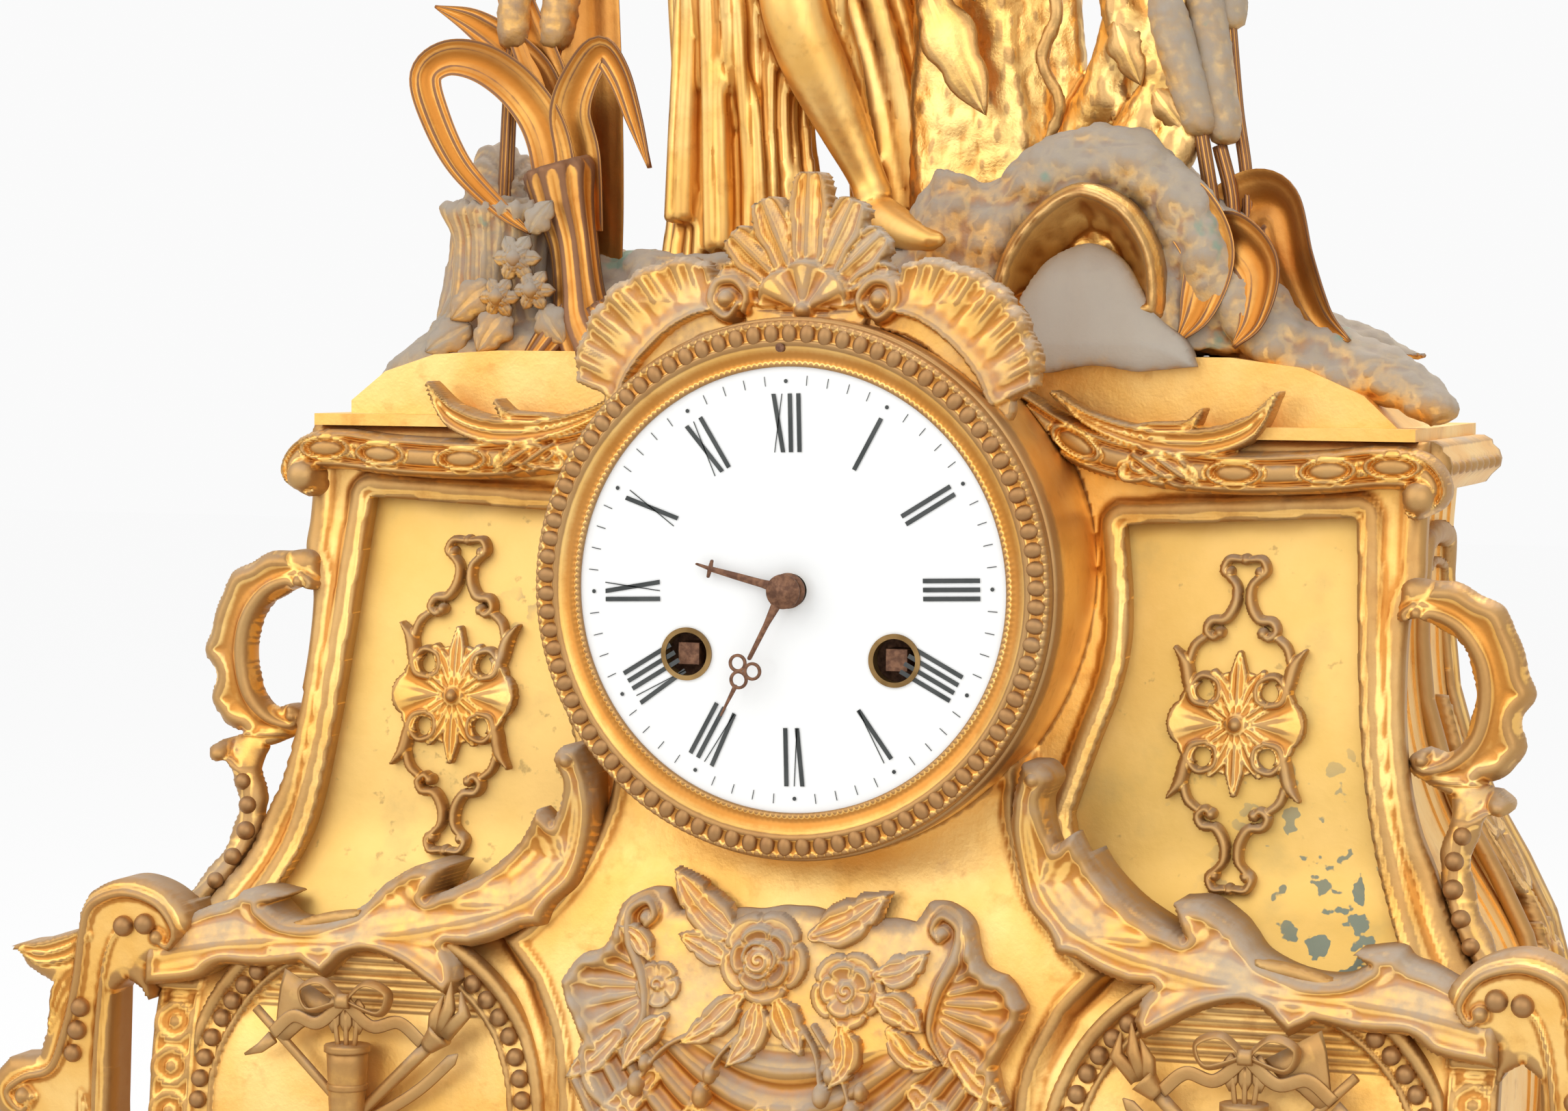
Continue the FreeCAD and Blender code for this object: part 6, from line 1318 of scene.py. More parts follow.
def addCrest():
    c = crest
    r = Relief(0, 52, 34, 87, 0.42, True)
    band, rim = shellBand(r, c["band"], c["bandWidth"], c["lobes"], 5.2)
    rim = np.maximum(rim, 4.2 - r.line(c["band"])[0])
    r.height = np.where(rim > 0, 2.0, 0)
    r.raiseTo(band, 0.3)
    hx, hz = c["heart"]
    near = r.away(hx, hz)
    rim = np.maximum(rim, 13.0 - near)
    r.raiseTo(np.where(near < 13.0, 2.4, -9))
    for angle, size in c["petals"][::-1]:
        a = math.radians(angle)
        along = (r.x - hx) * math.sin(a) + (r.z - hz) * math.cos(a)
        across = (r.x - hx) * math.cos(a) - (r.z - hz) * math.sin(a)
        t = unit(along / size)
        tip = np.sqrt(unit(1.02 - ((t - 0.66) / 0.36).clip(0) ** 2))
        half = c["petalWidth"] * (0.35 + 0.65 * t) * tip * (1 - 0.05 * np.cos(t * 22))
        u = np.abs(across) / np.maximum(half, 0.05)
        body = 2.2 + 3.4 * t + 1.1 * u ** 2 * t
        body += 1.0 * hump(u, 0, 0.16) - 0.7 * hump(u, 0.48, 0.1)
        body *= unit((1 - u) * 6) ** 0.35
        shape = (along > 2) & (along < size) & (u < 1)
        r.height = np.where(shape, np.maximum(body - 0.02 * angle, r.height - 0.6), r.height)
        rim = np.maximum(rim, np.where(shape, (1 - u) * half, -9))
    gap, angle = np.hypot(r.x, r.z - 56.0), np.arctan2(r.x, r.z - 56.0)
    edgeOf = 10.8 * (0.90 + 0.10 * np.abs(np.cos(angle * 3.5)) ** 0.6)
    groove = np.abs(np.sin(angle * 3.5)) ** 4 * unit(gap / 5)
    small = 4.2 + 2.4 * unit(gap / 10.8) ** 1.5 - 1.3 * groove
    small *= unit((edgeOf - gap) * 1.5) ** 0.4
    r.height = np.where((gap < edgeOf) & (np.abs(angle) < 1.45), np.maximum(small, r.height), r.height)
    decorate(r, [(c["rib"], 1.7, 5.6)], [(16.2, 58.6, 2.6, 6.6), (0, 56.4, 2.4, 6.0)])
    rim = np.maximum(rim, 1.6 - r.line(c["rib"])[0])
    rim = np.maximum(rim, 2.6 - r.away(16.2, 58.6))
    rim = np.minimum(rim, r.away(0, 0) - c["drumClear"])
    tilt = 6.0 + np.clip(r.z - 58, 0, 30) * 0.22
    whole = r.solid("bezel_crest", rim, tilt + 4.2 - r.height, tilt + 6.2 - np.clip(r.height - 2, 0, 3) * 0.6)
    finishPiece(whole, "dusty_gilt", instead=["bezel_crest"])


addCornices()
addHandles()
addBrackets()
addCrest()
print("scrolls, brackets and crest")

# The top: rocks, trunk, plants and the leaning figure; their heights start at the ledge
ledge = 69.5


def onLedge(route, step):
    # the same run, evenly spaced and raised to the ledge
    return smoothLine([(x, y, z + ledge, half) for x, y, z, half in route], step)


def limb(name, route, sides=18, flat=1.0):
    rows = onLedge(route, 1.0)
    halves = np.column_stack((rows[:, 3], rows[:, 3] * flat))
    return sweep(name, rows[:, :3], halves, sides=sides)


def stacked(name, rows, sides, waveAt):
    # level rings one above the other: height, middle across, middle back, half width, half depth
    angles = np.linspace(0, 2 * math.pi, sides, endpoint=False)
    rings = []
    for z, x, y, wide, deep in smoothLine(rows, 2.0):
        wave = waveAt(angles, z)
        rings.append(np.column_stack((x + wide * wave * np.cos(angles), y + deep * wave * np.sin(angles),
            np.full(sides, z + ledge))))
    return skin(name, rings)


def levels(name, rows, sides=48, lobes=0.0):
    return stacked(name, rows, sides, lambda angles, z: 1 + lobes * np.cos(angles * 7 + z * 0.05))


def coreOf(name, node):
    # the CAD solid's own skin, taken as the core of a carved piece
    piece = meshPiece(name, *gather([frame["nodes"][node].data]))
    weld = bmesh.new()
    weld.from_mesh(piece.data)
    bmesh.ops.remove_doubles(weld, verts=weld.verts, dist=0.00001)
    weld.to_mesh(piece.data)
    weld.free()
    return piece


def melt(name, pieces, voxel, smooth):
    # several closed skins run together into one even skin
    whole = joinPieces(name, pieces)
    remesh = whole.modifiers.new("Remesh", "REMESH")
    remesh.mode = "VOXEL"
    remesh.voxel_size = voxel * millimetre
    soften = whole.modifiers.new("Smooth", "SMOOTH")
    soften.iterations = smooth
    soften.factor = 0.5
    piece = baked(name, whole)
    piece.data.shade_smooth()
    return piece


def placesOf(mesh):
    return (readOut(mesh.vertices, "co", 3) - dialCentre) / millimetre


def push(mesh, amounts):
    # move each point along its normal, in millimetres
    normals = readOut(mesh.vertex_normals, "vector", 3)
    moved = toFrame(placesOf(mesh) + normals * np.asarray(amounts)[:, None]).astype(np.float32)
    mesh.vertices.foreach_set("co", moved.ravel())
    mesh.update()


def cells(points, size, seed=0.0):
    # distance to the nearest and second nearest of scattered points
    out = np.empty((len(points), 2))
    for i, p in enumerate(points / size + seed):
        near = noise.voronoi(Vector(p))[0]
        out[i] = near[0], near[1]
    return out


def clouds(points, size):
    return np.array([noise.noise(Vector(p)) for p in points / size])


def ridge(route):
    # a rounded run of ground; its heights are the dial's own
    return limb("ridge", [(x, y, z - ledge, half) for x, y, z, half in route], 16, 0.85)


rock = {"voxel": 1.1, "pebble": 4.6, "rise": 1.1, "ridges": [[(24, 51, 58, 6.5), (27, 51, 71, 7),
    (34, 52, 82, 7), (48, 53, 88.5, 7.5), (62, 52, 84, 7.5), (71, 51, 74, 7.5), (75, 51, 62, 7)],
    [(66, 54, 58, 8), (79, 53, 59, 9.5), (89, 52, 51.5, 8), (100, 52, 46, 7), (112, 50, 44, 6.5),
    (122, 47, 38, 4.6), (124, 46, 35, 3.4)], [(-56, 54, 46, 6), (-70, 52, 46, 7), (-86, 52, 47, 7.5),
    (-98, 52, 46, 6.5), (-108, 52, 41, 5), (-112, 52, 36, 3)], [(14, 52, 60, 8), (17, 52, 72, 8),
    (22, 54, 84, 8)], [(-46, 56, 50, 7), (-28, 56, 52, 7), (-8, 56, 52, 7), (12, 54, 54, 8)],
    [(78, 52, 58, 5), (84, 49, 52, 5), (93, 47, 46, 4.4), (104, 46, 41, 3.4)]],
    "stump": [(-23, -84, 60, 23, 13), (-15, -84, 61, 15.5, 12), (-7, -85, 61, 12.6, 11),
    (3, -85, 61, 12.4, 11), (9, -85.5, 61, 15, 12.6), (10.5, -85.5, 61, 13, 11), (8, -85.5, 61, 9, 8)],
    "heart": [(4, -87, 68, 9, 8), (14, -89, 69, 9, 8), (21, -91, 70, 6, 5), (24, -92, 70, 1.5, 1.5)]}


def addRock():
    parts = [coreOf("rock_core", "rock_mound")] + [ridge(route) for route in rock["ridges"]]
    parts += [levels("stump", rock["stump"], lobes=0.05), levels("heart", rock["heart"], 30, 0.05)]
    body = melt("rock_mound", parts, rock["voxel"], 3)
    points = placesOf(body.data)
    near, fine, block = cells(points, rock["pebble"]), cells(points, 2.3, 5.0), cells(points, 15.0, 2.0)
    calm = unit((points[:, 2] - 33) / 6)
    bark = (points[:, 0] < -66) & (points[:, 2] > 54)
    streak = np.sin(np.arctan2(points[:, 1] - 61, points[:, 0] + 85) * 21 + clouds(points, 14.0) * 4)
    lump = rock["rise"] * (0.8 - 1.5 * near[:, 0]) + 0.6 * (0.6 - fine[:, 0]) + clouds(points, 12.0) * 2.0
    lump += 2.0 * np.clip(block[:, 1] - block[:, 0], 0, 0.5) - 0.7
    lump = np.where(bark, 0.6 * streak + 0.3 * (0.6 - fine[:, 0]), lump)
    hollow = np.hypot((points[:, 0] - 47.5) / 17, (points[:, 2] - 62) / 20)
    sunk = unit((1 - hollow) * 3) * (points[:, 1] < 56)
    push(body.data, lump * calm * (1 - sunk))
    points = placesOf(body.data)
    points[:, 1] = np.where(sunk > 0, np.maximum(points[:, 1], 44 + 12 * sunk), points[:, 1])
    body.data.vertices.foreach_set("co", toFrame(points).astype(np.float32).ravel())
    finishPiece(body, "rock_gilt", instead=["rock_mound"], rounds=2)
    print("rock", len(body.data.polygons))


spring = {"arch": [[(29, 55), (29.5, 61), (33, 71), (40.5, 79.6), (49, 83.4), (58.5, 79.6), (64.5, 71),
    (66.5, 61), (66, 55)]], "water": [[(35, 44.5), (34.6, 52), (36, 60), (41, 67.6), (48.8, 71), (56, 67.6),
    (61.4, 61), (66, 55), (71.5, 50.5), (74, 45.6)], [(62, 44.4), (52, 45.6), (43, 44)]],
    "fall": [(44, 37.4), (50, 38.6), (58, 42), (65, 45.6), (72, 50.5)]}


def addSpring():
    # a hooded spring: its gilt arch, and the water drawn out over the ledge in long waves
    r = Relief(26, 69, 54, 85, 0.4)
    edge = r.area(*spring["arch"])
    lip = 5.4 * hump(edge, 2.2, 2.2) - 6.0 * unit((edge - 3) / 6.5) ** 1.4
    places = np.column_stack((r.x.ravel(), np.zeros(r.x.size), r.z.ravel()))
    beaten = clouds(places, 3.2).reshape(r.x.shape) * 0.5 + clouds(places, 9.0).reshape(r.x.shape) * 0.8
    face = 45.5 - lip - beaten * unit(edge / 2)
    arch = r.solid("spring_arch", np.minimum(edge, r.z - 55.2), face, face + 4.0)
    finishPiece(arch, "trunk_gilt")
    w = Relief(32, 76, 42, 73, 0.45)
    edge = w.area(*spring["water"])
    fall = np.interp(w.z, *np.array(spring["fall"]).T)
    flow = np.cos((w.x - 50) / (1 + (72 - w.z) * 0.05) * 1.1 + np.sin(w.z * 0.2) * 1.2)
    face = fall - dome(edge, 7.0, 3.6) + 0.8 - 0.22 * flow
    water = w.solid("spring_water", edge, face, fall + 6)
    finishPiece(water, "water_dust")


trunkRoots = [[(50, 60, 15, 6.5), (56, 60, 25, 5.4), (62, 61, 35, 5), (60, 62, 47, 5.4), (66, 63, 60, 5)],
    [(60, 57, 13, 4.4), (66, 59, 24, 4.2), (64, 59, 34, 3.4), (56, 60, 44, 4.0), (50, 60, 56, 3.4)],
    [(36, 55.5, 62, 1.4), (40, 54.6, 50, 1.5), (37, 54, 40, 1.5), (41, 54, 31, 1.4), (38, 54.6, 22, 1.2)]]


def addTrunk():
    parts = [coreOf("trunk_core", "tree_trunk")] + [limb("root", route) for route in trunkRoots]
    body = melt("tree_trunk", parts, 1.05, 2)
    points = placesOf(body.data)
    angle = np.arctan2(points[:, 1] - 75, points[:, 0] - 23)
    near = cells(points * np.array((1, 1, 0.6)), 2.5)
    swirl = np.sin(angle * 11 + clouds(points, 20.0) * 6 + points[:, 2] * 0.04)
    gnarl = unit((points[:, 0] - 44) / 6)
    bark = 0.7 * (0.5 - near[:, 0]) + (0.15 + 0.5 * gnarl) * swirl
    push(body.data, bark + clouds(points, 8.0) * (0.15 + 1.2 * gnarl))
    finishPiece(body, "trunk_gilt", instead=["tree_trunk"], rounds=2)
    print("trunk", len(body.data.polygons))


def ivyLeaf(name, foot, tip, wide, lift):
    # a lobed leaf lying on the bark or the rock
    foot, tip = np.asarray(foot, float), np.asarray(tip, float)
    along = tip - foot
    size = np.linalg.norm(along)
    along /= size
    across = np.cross(along, (0.0, -1.0, 0.0))
    across /= np.linalg.norm(across)
    out = np.cross(across, along)
    rows, columns = 16, 11
    front = []
    for i in range(rows):
        t = i / (rows - 1)
        lobes = 0.74 + 0.26 * abs(math.cos(t * math.pi * 2.6))
        half = max(wide * (math.sin(math.pi * min(1, t ** 0.75)) ** 0.7) * lobes, 0.08)
        for j in range(columns):
            s = j / (columns - 1) * 2 - 1
            rise = lift * math.sin(math.pi * min(1, t * 0.9 + 0.1)) * (1 - 0.55 * s * s)
            rise -= 0.35 * abs(math.cos(t * 18 - abs(s) * 4)) * abs(s)
            rise -= 0.5 if abs(s) < 0.1 else 0
            front.append(foot + along * size * t + across * half * s + out * (rise + 0.4))
    front = np.array(front)
    points = np.vstack([front, front - out])
    faces = []
    count = rows * columns
    for i in range(rows - 1):
        for j in range(columns - 1):
            a = i * columns + j
            faces.append((a, a + 1, a + columns + 1, a + columns))
            faces.append((a + count, a + columns + count, a + columns + 1 + count, a + 1 + count))
    grid = np.arange(count).reshape(rows, columns)
    rim = np.concatenate((grid[0], grid[1:, -1], grid[-1, -2::-1], grid[-2:0:-1, 0])).tolist()
    for a, b in zip(rim, rim[1:] + rim[:1]):
        faces.append((b, a, a + count, b + count))
    return outwards(buildMesh(name, points, faces))


trunkLeaves = [((11, 57, 125), (25, 54, 98), 6.4), ((12, 58, 140), (22, 56, 122), 4.6),
    ((52, 58, 118), (58, 56, 104), 4.2), ((60, 58, 104), (68, 56, 94), 3.8)]


def addTrunkLeaves():
    parts = [ivyLeaf("leaf", foot, tip, wide, 2.6) for foot, tip, wide in trunkLeaves]
    finishPiece(joinPieces("trunk_leaves", parts), "trunk_gilt")


# stems, heads and leaves as x, y, height over the ledge, half width (whole width for leaves)
plants = {"left": {"stems": [[(-60, 50, -23, 8), (-64, 51, -16, 6.6), (-65.5, 52, -9, 5.4),
    (-67.5, 54, 1, 5.2), (-70, 55, 10, 6.6), (-71.5, 56, 17, 7.8), (-72, 56, 19, 6.5)],
    [(-66, 51, -14, 5), (-71, 48, -21, 4), (-76, 47, -27, 2.4)], [(-62, 51, -14, 5), (-56, 50, -20, 4),
    (-51, 50, -24, 2.2)], [(-87, 62, 4, 1.7), (-86, 62, 29, 1.6), (-85, 62, 46, 1.6)],
    [(-78, 62, 0, 1.7), (-76.5, 62, 30, 1.6), (-75, 62, 46, 1.6)]], "heads": [[(-85, 62, 44, 1.8),
    (-84.8, 62, 47, 3.8), (-83.6, 62, 62, 4.2), (-82.6, 62, 72, 3.6), (-82.2, 62, 75, 1.2)],
    [(-75, 62, 44, 1.8), (-74.8, 62, 47, 3.8), (-73.4, 63, 62, 4.2), (-72.4, 63, 73, 3.4),
    (-72, 63, 76, 1.2)]], "leaves": [[(-71, 56, 6, 9), (-74, 56, 24, 9), (-80, 56, 34, 8.6),
    (-88.5, 55, 40.5, 8), (-97, 54, 42, 7), (-102, 53, 38, 6.4), (-99.4, 52, 29, 6), (-93, 51, 18, 5),
    (-83, 50, 8.6, 3.4), (-76, 50, 3.4, 0.6)], [(-67, 57, 4, 10), (-67.5, 57, 20, 9.6), (-69, 56, 30, 8.6),
    (-66, 55, 38, 7.4), (-61.2, 54, 43, 6.4), (-56.6, 53, 38, 5.8), (-52.6, 52, 28, 4),
    (-49, 51, 17.6, 0.6)], [(-73, 60, 14, 9), (-77, 60, 34, 9), (-84, 61, 43, 8), (-94, 62, 50, 5.6),
    (-104, 63, 54, 0.6)], [(-72, 60, 16, 9.5), (-76, 60, 36, 9.5), (-82, 61, 50, 8), (-87, 62, 62, 5.6),
    (-94, 63, 74, 0.6)], [(-66.5, 63, -12, 13), (-66.5, 63, 10, 14), (-67, 63, 36, 14), (-68, 64, 60, 13),
    (-69, 65, 92, 11), (-70, 66, 112, 1)]]}, "right": {"stems": [[(74, 54, -6, 1.6), (73.4, 57, 8, 1.5),
    (70.6, 57, 25, 1.5)], [(77.5, 56, -6, 1.6), (77, 59, 10, 1.5), (74, 60, 22, 1.5)],
    [(80, 60, -4, 1.4), (79.5, 62, 14, 1.3), (77, 63, 30, 1.3), (75, 64, 48, 1.3)]],
    "heads": [[(70.6, 57, 24, 1.8), (70.1, 57, 26.6, 3.7), (66.6, 57, 38, 4.2), (63, 57, 50, 4),
    (61, 57, 57, 1.6)], [(75.4, 60, 22.4, 1.8), (75, 60, 25, 3.6), (72.6, 60.5, 38, 4.1), (70, 61, 54, 3.8),
    (68.6, 61.2, 61, 1.6)], [(75.1, 64, 46.5, 1.6), (75, 64.1, 49, 3.4), (74.6, 65, 62, 3.6),
    (74.4, 65.4, 69, 1.4)]], "leaves": [[(70, 58, -6, 11), (76, 60, 6, 12), (82, 60, 10.4, 12),
    (88, 57, 8.4, 11), (92, 53, -3, 10), (97.4, 50, -13.6, 7), (104, 48, -18.4, 0.6)],
    [(63, 52, 12, 9), (70, 49, 8, 11), (75, 47.4, -1, 10), (73, 46, -12, 7), (69, 45, -19, 0.6)],
    [(73, 52, 2, 8), (80, 48, 2.6, 9.4), (86, 45.5, -4, 9), (85, 44, -14, 6), (81, 43, -20, 0.6)]]}}


def reedLeaf(name, route):
    # a long blade folded along its middle, with fine lengthwise flutes
    rows = onLedge(route, 1.2)
    half = rows[:, 3] / 2

    def section(circle, half):
        across = circle[:, 0]
        fold = 0.42 * half[0] * (np.abs(across) - 0.5)
        flute = 0.16 * np.cos(across * 13)
        thick = (0.75 * np.sqrt(np.clip(1 - across ** 2, 0.04, 1)) + flute) * np.sign(circle[:, 1] + 1e-9)
        return np.column_stack((across * half[0], fold + thick * 0.8))
    return sweep(name, rows[:, :3], np.column_stack((half * 1.12, half)), section, (0, -1, 0.15), 40)


def fluted(name, route):
    # a stalk with lengthwise flutes
    rows = onLedge(route, 1.5)

    def section(circle, half):
        flutes = 1 + 0.07 * np.cos(np.arctan2(circle[:, 1], circle[:, 0]) * 11)
        return circle * half * flutes[:, None]
    return sweep(name, rows[:, :3], rows[:, 3], section, sides=44)


def addPlants(side):
    group = plants[side]
    parts = [fluted("stem", route) for route in group["stems"]]
    parts += [reedLeaf("blade", route) for route in group["leaves"]]
    whole = joinPieces("reeds_" + side, parts)
    finishPiece(whole, "plant_gilt", instead=["reeds_" + side])
    heads = joinPieces("cattails_" + side, [limb("head", route, 28) for route in group["heads"]])
    points = placesOf(heads.data)
    push(heads.data, 0.35 * clouds(points, 0.9) + 0.25 * clouds(points, 2.2))
    finishPiece(heads, "rock_gilt")


rosettes = [(-77.5, 46, 67.5, 5.6), (-81.5, 46, 59, 4.8), (-73.5, 46, 60.6, 4.8)]
stumpLeaves = [((-84, 48, 62), (-93, 46, 54), 4.6), ((-80, 47, 56), (-86, 44, 47), 4.6),
    ((-72, 47, 57), (-66, 45, 49), 4.2), ((-89, 48, 53), (-99, 46, 47), 4.2),
    ((-75, 47, 73), (-70, 47, 80), 3.4)]


def addRosettes():
    # open flowers and leaves gathered about the stump
    parts = []
    for x, y, z, size in rosettes:
        for ring, (count, reachOut, rise) in enumerate(((6, 1.0, 0.2), (5, 0.62, 1.0))):
            for i in range(count):
                a = 2 * math.pi * (i + ring * 0.5) / count
                tip = (x + size * reachOut * math.cos(a), y - rise, z + size * reachOut * math.sin(a))
                wide = size * 0.42 * reachOut ** 0.5
                parts.append(ivyLeaf("petal", (x, y - 0.4 - rise, z), tip, wide, 1.3))
        parts.append(levels("heart", [(z - ledge - 1.8, x, y - 2.4, 0.5, 0.5),
            (z - ledge, x, y - 2.4, 1.9, 1.6), (z - ledge + 1.8, x, y - 2.4, 0.5, 0.5)], 12))
    parts += [ivyLeaf("leaf", foot, tip, wide, 1.8) for foot, tip, wide in stumpLeaves]
    finishPiece(joinPieces("stump_flowers", parts), "rock_gilt")


addRock()
addSpring()
addTrunk()
addTrunkLeaves()
addPlants("left")
addPlants("right")
addRosettes()
print("rocks and plants")

figure = {"gown": [(-6, -31, 64, 18, 14.5), (12, -31, 64, 16, 13.5), (32, -32, 64, 15, 13),
    (57, -31, 64, 17, 14), (77, -29, 64, 18, 15), (92, -27, 64, 16.5, 13), (104, -25, 64, 11.5, 9.5),
    (117, -23, 64, 13.5, 11), (129, -21, 64, 15, 9.5), (137, -20, 64, 13, 7), (141, -19.5, 64, 6, 5.5)],
    "train": [(4, 2, 73, 11, 5.5), (20, 0, 73, 10.5, 6), (40, -4, 73, 11, 7), (60, -10, 72, 12, 8),
    (82, -18, 70, 12, 9), (96, -23, 68, 9, 7)], "neck": [(137, -19.8, 64, 5.4, 5.4),
    (148, -18, 63.5, 4.5, 4.7), (157, -17, 63, 4.6, 4.9)], "head": [(153.8, -16.4, 60.5, 2.6, 3.4),
    (157, -16.2, 61, 5.2, 6.6), (161.5, -16, 61.8, 7.0, 8.2), (167, -15.8, 62.5, 8.0, 9.4),
    (173, -15.5, 63.2, 8.5, 10.0), (179, -15.3, 63.8, 7.6, 9.0), (183.6, -15.2, 64, 5.0, 6.0),
    (186.4, -15.2, 64, 1.6, 2.0)], "bun": [(163, -15.6, 73, 3, 2.6), (167, -15.6, 74.5, 5.4, 4.6),
    (172, -15.6, 75, 5.8, 5), (177, -15.6, 74, 3, 2.8)], "thigh": [(-24, 60, 92, 11), (-21, 55, 76, 9.8),
    (-17.5, 51, 58, 7.6), (-15.5, 51, 48, 7.2), (-12, 54, 38, 7.0), (-7, 57, 26, 5.4),
    (-2.5, 58.5, 16, 4.1), (-0.6, 58.5, 11, 4.4)], "foot": [(-2.4, 61, 8.2, 4.6), (2.4, 56, 6.6, 4.7),
    (8.5, 51, 4, 4.0), (13.5, 47.4, 2.4, 3.0), (16.6, 45.2, 1.6, 2.0)],
    "arms": [[(-33, 64, 132, 5.2), (-39, 63, 120, 5.3), (-44, 61, 104, 4.5), (-42, 56, 96, 4.2),
    (-35, 51.5, 88, 3.3), (-31, 50, 85, 3.6), (-27.5, 49, 83.5, 2.6)],
    [(-7, 64, 133, 5.2), (2, 65, 124, 5), (13, 67, 115.5, 4.4), (14.5, 63, 114, 4.2), (10, 55, 116, 3.4),
    (6.5, 51, 117.2, 3.5), (3.5, 48.6, 118, 2.4)]], "girdle": [(-37, 66, 106, 2), (-33, 56, 105, 2.2),
    (-24, 53.6, 105.5, 2.2), (-15, 57, 106, 2), (-12, 66, 106, 2)], "swags": [[(-12, 66, 104, 3),
    (-12, 56, 94, 4), (-14, 49, 84, 3.6), (-24, 46.5, 78, 3.2), (-36, 51, 84, 3)],
    [(-11, 66, 98, 3), (-9, 57, 84, 3.6), (-9, 52, 68, 3.4), (-8, 55, 50, 3), (-5, 60, 30, 2.8),
    (-2, 66, 10, 2.4)], [(-14, 58, 100, 2.4), (-30, 48.5, 70, 2.6), (-30, 49.5, 48, 2.6),
    (-26, 51, 26, 2.6), (-23, 51.5, 2, 3)], [(-38, 54, 96, 2.6), (-40, 51.5, 70, 2.8), (-41, 51, 40, 2.8),
    (-42, 50.5, 6, 3.2)], [(-34, 50, 92, 2.4), (-35.5, 49, 60, 2.6), (-34, 49.5, 30, 2.6),
    (-33, 49, 0, 3)]], "mantle": [[(-8, 68, 132, 4), (2, 76, 116, 5), (6, 79, 92, 6), (6, 79, 66, 6.4),
    (8, 78, 40, 6), (10, 77, 14, 5.6)], [(-30, 70, 134, 4), (-36, 76, 112, 5), (-37, 78, 84, 6),
    (-36, 78, 50, 6.6), (-37, 77, 16, 6.4)]], "voxel": 0.85}

# The face keeps to a drawing book's rules: eyes half way up, nose and mouth at the thirds below
faceForms = [("nose", (-16.1, 52.6, 166.2), (1.25, 1.5, 3.4)), ("noseTip", (-16.1, 51.9, 163.6),
    (1.6, 1.5, 1.15)), ("browLeft", (-19.3, 53.9, 171.2), (2.6, 1.2, 0.8)),
    ("browRight", (-12.6, 53.9, 171.2), (2.6, 1.2, 0.8)), ("eyeLeft", (-19.1, 54.4, 169.3),
    (1.5, 1.2, 1.0)), ("eyeRight", (-12.9, 54.4, 169.3), (1.5, 1.2, 1.0)),
    ("lipHigh", (-16.1, 53.2, 160.4), (2.2, 1.1, 0.6)), ("lipLow", (-16.1, 53.4, 159.3), (1.8, 1.1, 0.65)),
    ("chin", (-16.2, 55.4, 156.0), (2.4, 2.2, 1.9)), ("cheekLeft", (-20.0, 56.2, 164.4), (2.8, 2.4, 2.8)),
    ("cheekRight", (-12.2, 56.2, 164.4), (2.8, 2.4, 2.8))]


def ball(name, middle, halves):
    sides = 20
    angles = np.linspace(0, 2 * math.pi, sides, endpoint=False)
    rings = []
    for level in np.linspace(-0.995, 0.995, 11):
        level = math.sin(level * math.pi / 2)
        across = math.sqrt(max(0.001, 1 - level * level))
        rings.append(np.column_stack((middle[0] + halves[0] * across * np.cos(angles),
            middle[1] + halves[1] * across * np.sin(angles), np.full(sides,
            middle[2] + ledge + halves[2] * level))))
    return skin(name, rings)


def foldedLevels(name, rows, folds, depth):
    # a gown's skirt: the folds deepen towards the hem and lean as they fall
    hem, top = rows[0][0], rows[-1][0]

    def wave(angles, z):
        t = unit((top - z) / (top - hem))
        phase = angles * folds + 0.8 * np.sin(angles * 2 + 1) + (1 - t) * 1.6
        fold = np.abs(np.sin(phase / 2)) ** 0.7 * 2 - 1.2
        return 1 + depth * t ** 0.7 * fold + depth * 0.35 * t * np.sin(phase * 1.7 + 2 * t)
    return stacked(name, rows, 144, wave)


